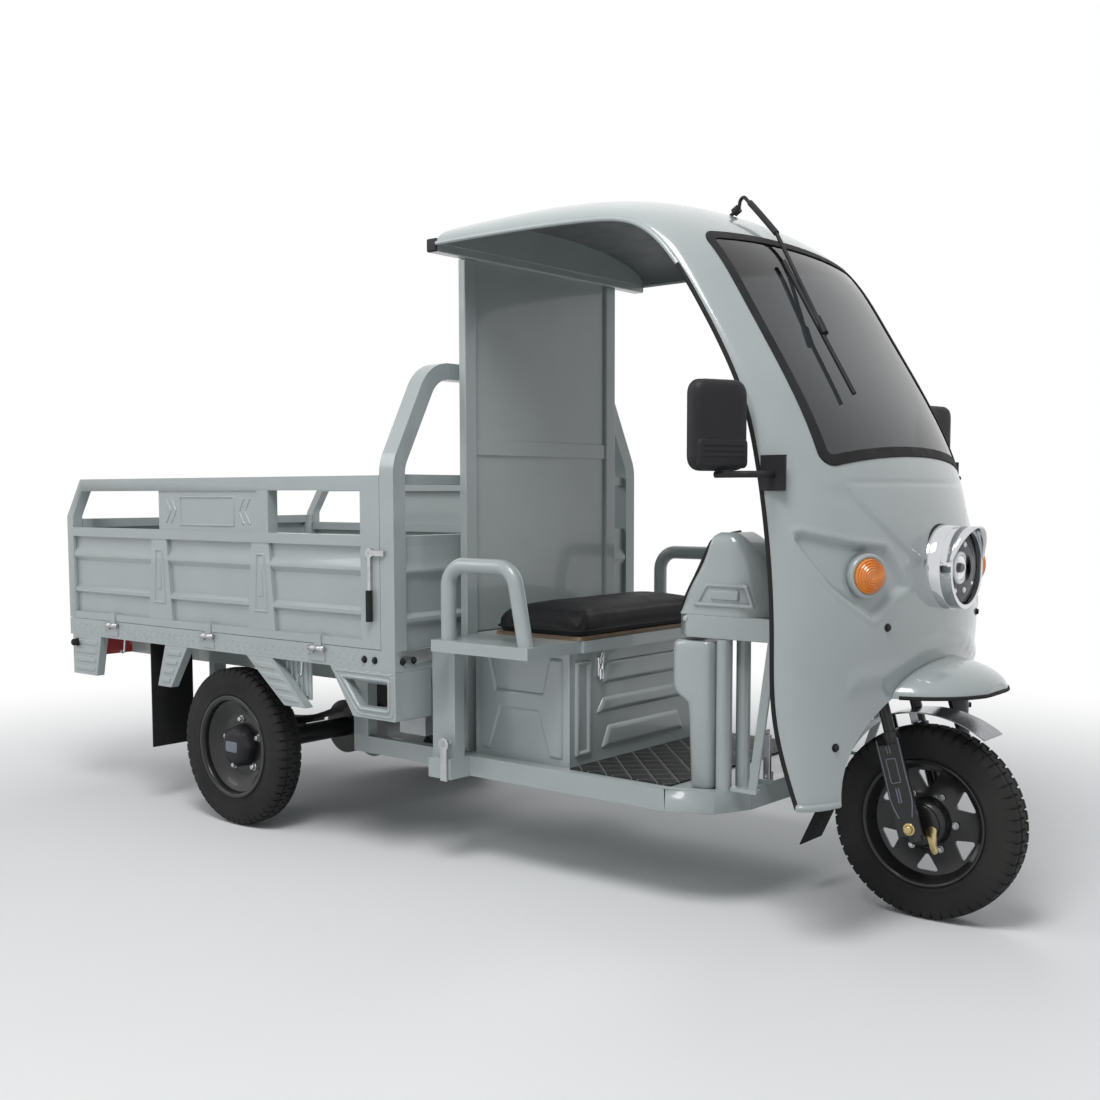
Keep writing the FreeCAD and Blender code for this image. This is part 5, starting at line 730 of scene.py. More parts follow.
# End of the front hub: places inward from it, and radii
HUB_END = ((0.008, 0.062), (0.0, 0.04), (0.0, 0.026))
FRONT_HOLES = 6
HOLE = ((-0.034, 0.02), (0.034, 0.02), (0.0, -0.03))
HOLE_REACH = 0.112
HOLE_CORNER = 0.014
CUT_HALF = 0.05
DISC_BOLTS = {"count": FRONT_HOLES, "shift": 0, "reach": 0.078, "rise": 0.014, "radius": 0.007,
              "height": 0.007}


def mirrored(profile):
    """The other half of a profile, run backward."""
    return [(-along, radius) for along, radius in profile[::-1]]


def prism(plane, outline, back, front):
    return loft("prism", [plane.ring(outline, rise) for rise in (back, front)])


def front_wheel_disc():
    """A dished disc with rounded three-sided holes, in place of the plain rim."""
    low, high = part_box("front_rim")
    hub = middle("front_rim")
    half = (high.y - low.y) / 2
    bead = radius_of("front_rim")
    barrel = beyond(BARREL_HALF, bead)
    barrel += mirrored(barrel)
    rim = lathe("front_rim_barrel", barrel + barrel[:1], hub, LEFT, steps=96, caps=False)
    section = [*DISC_OUTSIDE, *beyond(DISC_EDGE, bead), *DISC_INSIDE, DISC_OUTSIDE[0]]
    disc = lathe("disc", section, hub, LEFT, steps=96, caps=False)
    cutters = []
    for i in range(FRONT_HOLES):
        way = spoke(i + 0.5, FRONT_HOLES)
        plane = Plane(hub + way * HOLE_REACH, way.cross(LEFT), way)
        cutters.append(prism(plane, ccw(round_off(ccw(HOLE), HOLE_CORNER, 5)), -CUT_HALF, CUT_HALF))
    carve(disc, joined("cutters", cutters))
    hub_half = [HUB_BELLY] + [(half - back, radius) for back, radius in HUB_END]
    tube = lathe("hub", mirrored(hub_half) + hub_half, hub, LEFT)
    bolts = nuts_round(hub, RIGHT, **DISC_BOLTS)
    sharpen(disc, 40)
    dress(joined("front_wheel_disc", [disc, tube]), BLACK_PAINT, "front_wheel", ["front_rim"])
    dress(rim, BLACK_PAINT, "front_wheel")
    dress(joined("front_disc_bolts", bolts), ZINC, "front_wheel")


# Cab shell. Each bow runs from a crown on the centre line to a rim at both sides:
# crown x and z, rim x and z, as shares of the shell's length and height
SHELL_SHARES = (
    (0.0, 0.992, 0.0, 0.928), (0.25, 1.0, 0.25, 0.928), (0.44, 0.985, 0.425, 0.923),
    (0.565, 0.95, 0.52, 0.909), (0.656, 0.893, 0.584, 0.872), (0.754, 0.774, 0.667, 0.778),
    (0.857, 0.64, 0.757, 0.64), (0.937, 0.525, 0.796, 0.529), (0.989, 0.383, 0.822, 0.383),
    (1.0, 0.255, 0.831, 0.255), (0.981, 0.128, 0.839, 0.128), (0.962, 0.0, 0.886, 0.0))
SHELL_LENGTH = 1.322
SHELL_WALL = 0.005
SHELL_ROWS = 236
SHELL_COLUMNS = 200
# Share of the shell's run where its rows lie closer, and how much closer
NOSE_RUN = (0.5, 0.84)
NOSE_ROWS = 3.4
RUN_STEPS = 400
# Chart of the shell: the bow's turn times this length, and height
CHART = 0.45
# Marks on the right side of the shell, as y and z
KITE = (
    (-0.487, 1.016), (-0.472, 1.020), (-0.355, 0.991), (-0.256, 0.982), (-0.216, 0.918), (-0.192, 0.872),
    (-0.246, 0.850), (-0.321, 0.797), (-0.346, 0.812), (-0.429, 0.880), (-0.484, 0.985))
BROW = (
    (-0.372, 0.652), (-0.354, 0.659), (-0.289, 0.666), (-0.22, 0.69), (-0.163, 0.715), (-0.094, 0.729),
    (0.0, 0.733))
HOOD = ((-0.384, 1.200), (-0.368, 1.162), (-0.32, 1.091), (-0.268, 1.042), (-0.191, 0.98), (-0.125, 0.941))
# Chart points that close the hood's line on its lower side
HOOD_BELOW = ((-1.0, 0.941), (-1.0, 1.2))
# Relief: its height or depth, and the distances between which it fades
KITE_DEPTH, KITE_FADE = 0.015, (0.0, 0.022)
KITE_RIM, KITE_RIM_FADE = 0.0025, (0.002, 0.014)
BROW_RISE, BROW_FADE = 0.007, (0.006, 0.027)
HOOD_DEPTH, HOOD_START, HOOD_END, HOOD_TOP = 0.006, (0.0, 0.014), (0.02, 0.11), (1.09, 1.14)
BAR_DEPTH, BAR_FADE, BAR_ENDS, BAR_Z = 0.0025, (0.001, 0.009), (0.3, 0.36), 1.132


def spline(knots, values, places):
    """A smooth curve through points, with no bend at its ends."""
    count = len(knots)
    gaps = np.diff(knots)
    system = np.eye(count)
    right = np.zeros(values.shape)
    for i in range(1, count - 1):
        system[i, i - 1:i + 2] = gaps[i - 1], 2 * (gaps[i - 1] + gaps[i]), gaps[i]
        right[i] = 6 * ((values[i + 1] - values[i]) / gaps[i] - (values[i] - values[i - 1]) / gaps[i - 1])
    bend = np.linalg.solve(system, right)
    k = np.clip(np.searchsorted(knots, places) - 1, 0, count - 2)
    a = ((knots[k + 1] - places) / gaps[k])[:, None]
    b = 1 - a
    curl = ((a ** 3 - a) * bend[k] + (b ** 3 - b) * bend[k + 1]) * (gaps[k] ** 2)[:, None] / 6
    return a * values[k] + b * values[k + 1] + curl


def shell_lines():
    """Crown and rim lines of the shell, as rows of x and z, and the half width."""
    low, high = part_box("cab_shell")
    scale = np.array((SHELL_LENGTH, high.z - low.z) * 2)
    points = np.array((low.x, low.z) * 2) + np.array(SHELL_SHARES) * scale
    runs = np.concatenate(([0], np.cumsum(np.linalg.norm(np.diff(points[:, :2], axis=0), axis=1))))
    shares = np.linspace(0, 1, RUN_STEPS)
    weight = np.where((shares > NOSE_RUN[0]) & (shares < NOSE_RUN[1]), NOSE_ROWS, 1.0)
    filled = np.concatenate(([0], np.cumsum((weight[1:] + weight[:-1]) / 2)))
    places = np.interp(np.linspace(0, filled[-1], SHELL_ROWS + 1), filled, shares)
    return spline(runs, points, places * runs[-1]), high.y


def chart(points, half):
    points = np.array(points)
    turn = np.arccos(np.clip(points[:, 0] / half, -1, 1)) - math.pi / 2
    return np.stack((turn * CHART, points[:, 1]), axis=1)


def line_distance(places, line):
    """Distance of chart places from a line of chart points."""
    best = np.full(len(places), math.inf)
    for a, b in zip(line, line[1:]):
        run = b - a
        share = np.clip(((places - a) @ run) / (run @ run), 0, 1)
        best = np.minimum(best, np.linalg.norm(places - a - share[:, None] * run, axis=1))
    return best


def inside(places, outline):
    found = np.zeros(len(places), bool)
    for a, b in zip(outline, np.roll(outline, -1, axis=0)):
        crosses = (a[1] > places[:, 1]) != (b[1] > places[:, 1])
        rise = b[1] - a[1] if b[1] != a[1] else 1e-9
        found ^= crosses & (places[:, 0] < (b[0] - a[0]) * (places[:, 1] - a[1]) / rise + a[0])
    return found


def ease(value, low, high):
    share = np.clip((value - low) / (high - low), 0, 1)
    return share * share * (3 - 2 * share)


def fade(value, low, high):
    return 1 - ease(value, low, high)


def shell_relief(places, half):
    """How far the shell stands out or in: hollows round the lamps, a brow, creases of the hood."""
    folded = places.copy()
    folded[:, 0] = np.abs(folded[:, 0])
    height = folded[:, 1]
    kite = chart(KITE, half)
    edge = line_distance(folded, np.vstack((kite, kite[:1])))
    relief = -KITE_DEPTH * ease(np.where(inside(folded, kite), edge, 0), *KITE_FADE)
    relief += KITE_RIM * fade(edge, *KITE_RIM_FADE)
    relief += BROW_RISE * fade(line_distance(folded, chart(BROW, half)), *BROW_FADE)
    hood = chart(HOOD, half)
    away = line_distance(folded, hood)
    below = inside(folded, np.vstack((hood, HOOD_BELOW)))
    sunk = np.where(below, 0, ease(away, *HOOD_START) * fade(away, *HOOD_END))
    relief -= HOOD_DEPTH * sunk * fade(height, *HOOD_TOP)
    relief -= BAR_DEPTH * fade(np.abs(height - BAR_Z), *BAR_FADE) * fade(folded[:, 0], *BAR_ENDS)
    return relief


def shell_grid(grow):
    """Points of the shell's surface, moved out by some amount, as rows along it."""
    rows, half = shell_lines()
    turns = np.linspace(0, math.pi, SHELL_COLUMNS + 1)
    crown = rows[:, None, 0:2]
    rim = rows[:, None, 2:4]
    way = crown - rim
    depth = np.linalg.norm(way, axis=2, keepdims=True)
    bow = rim + way / depth * (depth + grow) * np.sin(turns)[None, :, None]
    y = np.broadcast_to((half + grow) * np.cos(turns)[None, :], bow.shape[:2])
    grid = np.stack((bow[..., 0], y, bow[..., 1]), axis=2)
    normal = np.cross(np.gradient(grid, axis=1), np.gradient(grid, axis=0))
    normal /= np.linalg.norm(normal, axis=2, keepdims=True)
    if normal[SHELL_ROWS // 2, SHELL_COLUMNS // 2, 0] < 0:
        normal = -normal
    across = np.broadcast_to((turns - math.pi / 2)[None, :] * CHART, y.shape)
    places = np.stack((across, grid[..., 2]), axis=2)
    step = shell_relief(places.reshape(-1, 2), half).reshape(y.shape)
    return grid + normal * step[..., None]


# Windscreen: its middle, its lean in degrees, and the hole for it
SCREEN_MIDDLE = (1.1853, 0, 1.479)
SCREEN_LEAN = math.radians(32.4)
SCREEN_HOLE = ((-0.395, -0.339), (0.395, -0.339), (0.389, 0.339), (-0.389, 0.339))
SCREEN_CORNER = 0.04
SCREEN_CUT = 0.2
# Wheel arch in the shell: half width, height of its middle, rise and steps
ARCH_HALF, ARCH_MIDDLE, ARCH_RISE, ARCH_STEPS = 0.4, 0.36, 0.3, 64
ARCH_START = 1.0
LAMP_HOLE = ((-0.12, 0.088), (0.1, 0.088))
SIGNAL_HOLE = ((-0.06, 0.047), (0.06, 0.047))
# Left turn signal: its place, and its yaw from straight ahead
SIGNAL_X, SIGNAL_Y, SIGNAL_Z = 1.4273, 0.338, 0.909
SIGNAL_YAW = math.radians(28)


def signal_axis(side):
    """Place of a turn signal and the way that it faces."""
    way = Vector((math.cos(SIGNAL_YAW), side * math.sin(SIGNAL_YAW), 0))
    return Vector((SIGNAL_X, side * SIGNAL_Y, SIGNAL_Z)), way


def shell_cutters():
    lean = Vector((-math.sin(SCREEN_LEAN), 0, math.cos(SCREEN_LEAN)))
    screen = Plane(SCREEN_MIDDLE, LEFT, lean)
    hole = ccw(round_off(ccw(SCREEN_HOLE), SCREEN_CORNER, 8))
    cutters = [prism(screen, hole, -SCREEN_CUT, SCREEN_CUT)]
    arch = []
    for i in range(ARCH_STEPS):
        turn = 2 * math.pi * i / ARCH_STEPS
        arch.append((ARCH_HALF * math.cos(turn), ARCH_MIDDLE + ARCH_RISE * math.sin(turn)))
    cutters.append(prism(front_face(0), arch, ARCH_START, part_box("front_lip")[1].x))
    cutters.append(lathe("bucket", LAMP_HOLE, middle("headlight_body"), FORWARD))
    cutters += [lathe("signal", SIGNAL_HOLE, *signal_axis(side), steps=48) for _, side in SIDES]
    return joined("cutters", cutters)


def cab_skin():
    """The cab's front and roof as one thin shell, cut for glass, lamps and wheel; its inside is a darker
    grey, painted shade.
    """
    outer = shell_grid(0.0)
    inner = shell_grid(-SHELL_WALL)
    rows, columns = outer.shape[:2]
    verts = np.concatenate((outer.reshape(-1, 3), inner.reshape(-1, 3)))
    shift = rows * columns
    faces = []
    for i in range(rows - 1):
        for j in range(columns - 1):
            quad = (i * columns + j, i * columns + j + 1, (i + 1) * columns + j + 1, (i + 1) * columns + j)
            faces.append(quad)
            faces.append(tuple(shift + k for k in quad[::-1]))
    border = list(range(columns)) + [i * columns + columns - 1 for i in range(1, rows)]
    border += [(rows - 1) * columns + j for j in range(columns - 2, -1, -1)]
    border += [i * columns for i in range(rows - 2, 0, -1)]
    for a, b in zip(border, border[1:] + border[:1]):
        faces.append((b, a, shift + a, shift + b))
    skin = new_mesh("cab_skin", verts, faces)
    skin.data.materials.append(PAINT)
    skin.data.materials.append(UNDER_ROOF_PAINTED_SHADE)
    # The inner faces take the darker grey of painted shade
    for face in skin.data.polygons:
        if all(v >= shift for v in face.vertices):
            face.material_index = 1
    form = opened(skin)
    face_out(form)
    closed(form, skin)
    carve(skin, shell_cutters())
    sharpen(skin, 40)
    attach(skin, body_of("cab_shell"))
    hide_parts("cab_shell")


# Share of the shell's rows that lie on the roof, and the steps of its trim in rows
ROOF_SHARE = 0.22
TRIM_STEP = 3
ROOF_OVERLAP = 4
EDGE_RADIUS, ROOF_RADIUS, FOOT_RADIUS = 0.0065, 0.006, 0.009
# Rubber's place from the edge, back and inward
EDGE_BACK, EDGE_IN = 0.001, 0.002
FOOT_START = 0.408
FOOT_RISE = 0.004
REAR_WALL = 0.006


def shell_trim():
    """Rubber along the shell's rear edges, a rolled lip at its feet and a wall at the roof's rear."""
    grid = shell_grid(0.0)
    roof_end = int(len(grid) * ROOF_SHARE)
    for name, side in SIDES:
        line = [Vector(point) for point in grid[:, -1 if side < 0 else 0]]
        shift = Vector((-EDGE_BACK, -side * EDGE_IN, 0))
        edge = [point + shift for point in line[roof_end::TRIM_STEP] + line[-1:]]
        dress(wire(f"edge_rubber_{name}", edge, EDGE_RADIUS), RUBBER)
        roof = line[:roof_end + ROOF_OVERLAP:TRIM_STEP]
        dress(wire(f"roof_bead_{name}", roof, ROOF_RADIUS), PAINT)
        foot = [Vector(point) + UP * FOOT_RISE for point in grid[-1] if point[1] * side > FOOT_START]
        dress(wire(f"foot_lip_{name}", foot, FOOT_RADIUS), PAINT)
    bow = [Vector(point) for point in grid[0]]
    dress(loft("roof_rear_wall", [bow, [point + FORWARD * REAR_WALL for point in bow]]), PAINT)


# Lamps

# Pieces of the headlamp, turned about the lens: finish, steps, whether its ends are closed, and profile
HEADLAMP = {
    "headlamp_face": (LAMP_BLACK, 64, True, (
        (-0.0038, 0.0925), (0.004, 0.0925), (0.004, 0.0885), (-0.001, 0.079), (-0.0025, 0.052),
        (-0.0025, 0.034))),
    "headlamp_ring": (WHITE_LENS, 64, False, (
        (-0.0028, 0.042), (0.002, 0.041), (0.0035, 0.037), (0.002, 0.033), (-0.0028, 0.032))),
    "headlamp_bowl": (SILVER, 48, False, (
        (0.0, 0.032), (-0.001, 0.028), (-0.0018, 0.018), (-0.002, 0.012), (-0.002, 0.001), (-0.003, 0.001),
        (-0.003, 0.032), (0.0, 0.032))),
    "headlamp_eye": (LAMP_BLACK, 32, True, (
        (-0.0025, 0.013), (0.001, 0.012), (0.003, 0.008), (0.004, 0.003))),
}
LAMP_DOT = ((-0.003, 0.008), (0.0, 0.0075), (0.002, 0.005), (0.003, 0.002))
DOT_Y, DOT_Z = 0.028, 0.058
LAMP_GLASS = (
    (0.0042, 0.0925), (0.006, 0.092), (0.011, 0.07), (0.014, 0.04), (0.015, 0.001), (0.013, 0.001),
    (0.012, 0.04), (0.009, 0.07), (0.0055, 0.089), (0.0042, 0.0925))
# Turned about a place behind the lamp body's front, with radii from the body's
LAMP_SEAT = 0.05
LAMP_GASKET = ((-0.04, -0.01), (-0.04, 0.007), (-0.022, 0.007), (-0.018, 0.004), (-0.018, -0.01))
LAMP_SHROUD = ((-0.022, -0.008), (-0.022, 0.004), (-0.016, 0.005), (0.02, 0.002), (0.022, -0.004))
# Peak over the headlamp: start behind the front, depth, half angle in degrees, steps, and its two faces
PEAK_BACK, PEAK_LEAST, PEAK_DEPTH = 0.012, 0.001, 0.03
PEAK_REACH = 80
PEAK_STEPS = 32
PEAK_OUTSIDE, PEAK_INSIDE = 0.0015, -0.002


def headlamp():
    """Headlamp face with a ring of light, in a bowl with a peak."""
    centre = middle("headlight_lens")
    for name, (material, steps, caps, profile) in HEADLAMP.items():
        dress(lathe(name, profile, centre, FORWARD, steps, caps), material)
    dots = []
    for z in (DOT_Z, -DOT_Z):
        for y in (-DOT_Y, DOT_Y):
            dots.append(lathe("dot", LAMP_DOT, centre + Vector((0, y, z)), FORWARD, steps=24))
    dress(joined("headlamp_dots", dots), WHITE_LENS)
    glass = lathe("headlamp_glass", LAMP_GLASS, centre, FORWARD, caps=False)
    dress(glass, LENS, stands_for=["headlight_lens"])
    radius = radius_of("headlight_body")
    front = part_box("headlight_body")[1].x
    seat = (front - LAMP_SEAT, centre.y, centre.z)
    dress(lathe("headlamp_gasket", beyond(LAMP_GASKET, radius), seat, FORWARD, caps=False), RUBBER)
    dress(lathe("headlamp_shroud", beyond(LAMP_SHROUD, radius), seat, FORWARD, caps=False), CHROME)
    start = front - PEAK_BACK
    outer, inner = radius + PEAK_OUTSIDE, radius + PEAK_INSIDE
    peak = []
    for i in range(PEAK_STEPS + 1):
        turn = math.radians(PEAK_REACH) * (2 * i / PEAK_STEPS - 1)
        across = Vector((0, math.sin(turn), math.cos(turn)))
        tip = front + PEAK_DEPTH * math.cos(turn * 90 / PEAK_REACH) + PEAK_LEAST
        section = ((start, outer), (tip, outer), (tip, inner), (start, inner))
        peak.append([Vector((x, centre.y, centre.z)) + across * reach for x, reach in section])
    dress(loft("headlamp_brow", peak), CHROME)


# Turned profiles of a turn signal
SIGNAL_CUP = ((-0.03, 0.03), (-0.028, 0.04), (-0.008, 0.0435), (-0.006, 0.042))
SIGNAL_RING = ((-0.016, 0.043), (-0.016, 0.054), (0.002, 0.054), (0.006, 0.051), (0.007, 0.046),
               (0.004, 0.0425))
SIGNAL_FOOT = ((-0.007, 0.042), (0.004, 0.043), (0.008, 0.042))
# Steps of the lens: their count and width, its dome, and the ridge and the groove of each
LENS_STEPS, LENS_STEP, LENS_DOME = 6, 0.006, 0.013
LENS_RIDGE, LENS_GROOVE = (0.0012, 0.0035), (-0.0006, 0.0008)


def signal_lamps():
    """Faceted turn signals in pale rings."""
    lens_profile = list(SIGNAL_FOOT)
    foot, width = SIGNAL_FOOT[-1]
    for k in range(1, LENS_STEPS + 1):
        height = foot + LENS_DOME * math.sin(k / LENS_STEPS * math.pi / 2)
        radius = width - LENS_STEP * k
        lens_profile += [(height + rise, radius + out) for rise, out in (LENS_RIDGE, LENS_GROOVE)]
    ambers = []
    rings = []
    cups = []
    for _, side in SIDES:
        place, out = signal_axis(side)
        cups.append(lathe("cup", SIGNAL_CUP, place, out, steps=40))
        ambers.append(lathe("amber", lens_profile, place, out, steps=20))
        rings.append(lathe("ring", SIGNAL_RING, place, out, steps=48, caps=False))
    lenses = joined("signal_lenses", ambers)
    shade_faces(lenses.data, False)
    dress(lenses, AMBER, stands_for=["turn_signals"])
    dress(joined("signal_rings", rings), PAINT)
    dress(joined("signal_cups", cups), PLASTIC)


TAIL_WIDTH, TAIL_HEIGHT, TAIL_EDGE = 0.13, 0.07, 0.01
TAIL_RIBS, RIB_START, RIB_PITCH, RIB_WIDTH = 9, 0.0115, 0.012, 0.009


def tail_lamp_faces():
    """Black frames and red ribs on the tail lamps."""
    low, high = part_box("tail_lamps")
    back = Plane((low.x, 0, 0), RIGHT)
    foot = low.z
    top = foot + TAIL_HEIGHT
    frames = []
    ribs = []
    for _, side in SIDES:
        u0, u1 = sorted((-side * high.y, -side * (high.y - TAIL_WIDTH)))
        frames.append(frame_pad(back, rectangle(u0, u1, foot, top), width=0.007, rise=0.004, corner=0.008))
        for i in range(TAIL_RIBS):
            u = u0 + RIB_START + i * RIB_PITCH
            rib = rectangle(u, u + RIB_WIDTH, foot + TAIL_EDGE, top - TAIL_EDGE)
            ribs.append(pad(back, rib, rise=0.002, slope=0.002, corner=0.002))
    dress(joined("tail_lamp_frames", frames), PLASTIC)
    dress(joined("tail_lamp_ribs", ribs), RED)


# Springs

SPRING_STATIONS = 9


def cut_across(form, x, way, **options):
    everything = form.verts[:] + form.edges[:] + form.faces[:]
    bmesh.ops.bisect_plane(form, geom=everything, plane_co=(x, 0, 0), plane_no=(way, 0, 0), **options)


def bending_springs():
    """The leaf springs in two halves, split at the axle, each cut across in steps between its hanger and the
    axle.
    """
    low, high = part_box("leaf_springs")
    axle = middle("rear_axle_housing")
    for name, end, sign in (("front", high.x, 1), ("rear", low.x, -1)):
        half = placed(f"springs_{name}", NODES["leaf_springs"].data.copy())
        form = opened(half)
        weld(form, WELD_GAP)
        cut_across(form, axle.x, sign, clear_inner=True)
        bmesh.ops.holes_fill(form, edges=[edge for edge in form.edges if edge.is_boundary])
        for i in range(1, SPRING_STATIONS):
            cut_across(form, axle.x + (end - axle.x) * i / SPRING_STATIONS, 1)
        face_out(form)
        closed(form, half)
        sharpen(half, 30)
        paint(half, SPRING)
        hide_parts("leaf_springs")
        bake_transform(half)


# Seat and dash

CUSHION_VOXEL = 0.006
CUSHION_LIMIT = 0.008
CUSHION_HELD = 0.014
CUSHION_PRESSURE = 4.0
PUFF_FRAMES = 20
PIPING_IN, PIPING_UP, PIPING_CORNER, PIPING_RADIUS = 0.003, 0.016, 0.04, 0.0032


def cushion():
    """The foam pad, puffed up by a short cloth simulation over its packed form."""
    low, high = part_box("seat_cushion")
    body = body_of("seat_cushion")
    seat = placed("seat_pad", NODES["seat_cushion"].data.copy())
    form = opened(seat)
    weld(form, WELD_GAP)
    closed(form, seat)
    remesh = seat.modifiers.new("remesh", "REMESH")
    remesh.mode = "VOXEL"
    remesh.voxel_size = CUSHION_VOXEL
    bake(seat)
    puff(seat, low.z + CUSHION_HELD)
    relax = seat.modifiers.new("relax", "CORRECTIVE_SMOOTH")
    relax.iterations = 3
    finer = seat.modifiers.new("finer", "SUBSURF")
    finer.levels = 1
    finer.render_levels = 1
    bake(seat)
    shade_faces(seat.data, True)
    dress(seat, VINYL, body, ["seat_cushion"])
    edge = rectangle(low.x + PIPING_IN, high.x - PIPING_IN, low.y + PIPING_IN, high.y - PIPING_IN)
    seam = [(u, v, low.z + PIPING_UP) for u, v in round_off(ccw(edge), PIPING_CORNER, 6)]
    dress(wire("seat_piping", seam, PIPING_RADIUS, cyclic=True), VINYL, body)


def puff(seat, pin_height):
    """Blows the cover out with its foot held, then keeps each point near its start."""
    scene = bpy.context.scene
    start = np.array([v.co for v in seat.data.vertices])
    held = seat.vertex_groups.new(name="held")
    held.add([int(i) for i in np.nonzero(start[:, 2] < pin_height)[0]], 1.0, "ADD")
    cloth = seat.modifiers.new("cloth", "CLOTH")
    cloth.settings.use_pressure = True
    cloth.settings.uniform_pressure_force = CUSHION_PRESSURE
    cloth.settings.effector_weights.gravity = 0.0
    cloth.settings.vertex_group_mass = "held"
    cloth.settings.quality = 5
    cloth.point_cache.frame_start = 1
    cloth.point_cache.frame_end = PUFF_FRAMES
    for step in range(1, PUFF_FRAMES + 1):
        scene.frame_set(step)
    graph = bpy.context.evaluated_depsgraph_get()
    moved = np.array([v.co for v in seat.evaluated_get(graph).data.vertices])
    seat.modifiers.clear()
    scene.frame_set(1)
    way = moved - start
    length = np.linalg.norm(way, axis=1, keepdims=True)
    way *= np.minimum(1, CUSHION_LIMIT / np.maximum(length, 1e-9))
    seat.data.vertices.foreach_set("co", (start + way).astype(np.float32).ravel())
    seat.data.update()


# Leg cover sections: height, rear end and corner, as shares of its box
LEG_SHARES = (
    (0.0, 0.47, 0.9), (0.02, 0.46, 1.0), (0.5, 0.4, 1.0), (0.575, 0.36, 1.0), (0.6, 0.27, 1.0),
    (0.63, 0.1, 1.0), (0.66, 0.03, 1.0), (0.7, 0.0, 1.0), (0.95, 0.0, 1.0), (0.985, 0.015, 1.1),
    (1.0, 0.05, 1.2))
LEG_INNER = 0.236
LEG_CORNER = 0.03
LEG_END_INSET = 0.004
# Trim on a cover's rear corner: outward, its share of the corner, and radius
LEG_TRIM_OUT, LEG_TRIM_SHARE, LEG_TRIM_RADIUS = 0.001, 1.1, 0.005


def leg_covers():
    """Bulged covers under the dash, with rubber on their rear corners."""
    low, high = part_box("dash_leg_covers")
    covers = []
    trims = []
    for _, side in SIDES:
        rings = []
        line = []
        for rise, rear, bend in LEG_SHARES:
            z = low.z + rise * (high.z - low.z)
            x0 = low.x + rear * (high.x - low.x)
            end = rise in (0.0, 1.0)
            outline = round_off(ccw(rectangle(x0, high.x, LEG_INNER, high.y)), LEG_CORNER * bend, 5)
            points = inset(ccw(outline), LEG_END_INSET if end else 0)
            rings.append([(u, v * side, z) for u, v in points])
            if not end:
                line.append((x0 + LEG_TRIM_OUT, side * (high.y - LEG_CORNER * LEG_TRIM_SHARE), z))
        covers.append(loft("leg", rings))
        trims.append(wire("trim", line, LEG_TRIM_RADIUS))
    legs = joined("leg_covers", covers)
    sharpen(legs, 50)
    dress(legs, PAINT, stands_for=["dash_leg_covers"])
    dress(joined("leg_trims", trims), RUBBER)


# Bed

# Gate plate: its ends, foot and top; stiffeners: their middles, foot and top
PLATE_SHARES = (0.344, 0.665, 0.656, 0.916)
STIFFENER_SHARES = (0.343, 0.671)
STIFFENER_FOOT_SHARE, STIFFENER_TOP_SHARE = 0.16, 0.53
# Half widths of a stiffener and of the bar inside it, at foot and top, and the bar's gap to its ends
STIFFENER_HALVES, BAR_HALVES, BAR_GAP = (0.036, 0.022), (0.012, 0.008), 0.05
GATE_RISE = 0.0035
PLATE_FRAME_ENDS, PLATE_FRAME_EDGE = 0.12, 0.016
CHEVRON_STARTS = (0.062, 0.092)
CHEVRON = {"arm": 0.026, "height": 0.042, "width": 0.012}


def chevron(tip, arm, height, width):
    """A bent bar whose tip points along u."""
    u, v = tip
    return [(u - arm, v - height), (u - arm + width, v - height), (u + width, v),
            (u - arm + width, v + height), (u - arm, v + height), (u, v)]


def tapered(centre, foot, top, foot_half, top_half):
    """An upright four-sided outline that narrows or widens upward."""
    return [(centre - foot_half, foot), (centre + foot_half, foot), (centre + top_half, top),
            (centre - top_half, top)]


def gate_pressings():
    """A framed plate with chevrons high on each side gate, and two stiffeners below it."""
    gate = NODES["gate_right"]
    low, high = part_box("gate_right")
    length = high.x - low.x
    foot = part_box("bed_deck")[1].z
    height = high.z - foot
    u0, u1 = (low.x + share * length for share in PLATE_SHARES[:2])
    v0, v1 = (foot + share * height for share in PLATE_SHARES[2:])
    mid = (v0 + v1) / 2
    plane = side_face(touch(gate, ((u0 + u1) / 2, FAR_RIGHT, mid), LEFT).y)
    band = rectangle(
        u0 + PLATE_FRAME_ENDS, u1 - PLATE_FRAME_ENDS, v0 + PLATE_FRAME_EDGE, v1 - PLATE_FRAME_EDGE)
    pieces = [frame_pad(plane, band, width=0.008, rise=GATE_RISE)]
    for start in CHEVRON_STARTS:
        rear = chevron((u0 + start, mid), **CHEVRON)
        front = [(u0 + u1 - u, v) for u, v in rear]
        pieces += [pad(plane, outline, GATE_RISE, slope=0.003, corner=0.002) for outline in (rear, front)]
    v2, v3 = foot + STIFFENER_FOOT_SHARE * height, foot + STIFFENER_TOP_SHARE * height
    for share in STIFFENER_SHARES:
        centre = low.x + share * length
        face = side_face(touch(gate, (centre, FAR_RIGHT, (v2 + v3) / 2), LEFT).y)
        stiffener = tapered(centre, v2, v3, *STIFFENER_HALVES)
        pieces.append(frame_pad(face, stiffener, width=0.009, rise=GATE_RISE))
        bar = tapered(centre, v2 + BAR_GAP, v3 - BAR_GAP, *BAR_HALVES)
        pieces.append(pad(face, bar, GATE_RISE, slope=0.004))
    both("gate_pressing", pieces, STEEL_PAINT, ("gate_right", "gate_left"))


# Chequer studs on the edge rail: rows, pitch along and across, and size
STUD_ROWS, STUD_PITCH, STUD_ROW_PITCH = 3, 0.0175, 0.0135
STUD_FOOT, STUD_START, STUD_END = 0.012, 0.02, 0.03
STUD_LENGTH, STUD_WIDTH, STUD_RISE = 0.017, 0.006, 0.0013
RAIL_SPOT = 0.9
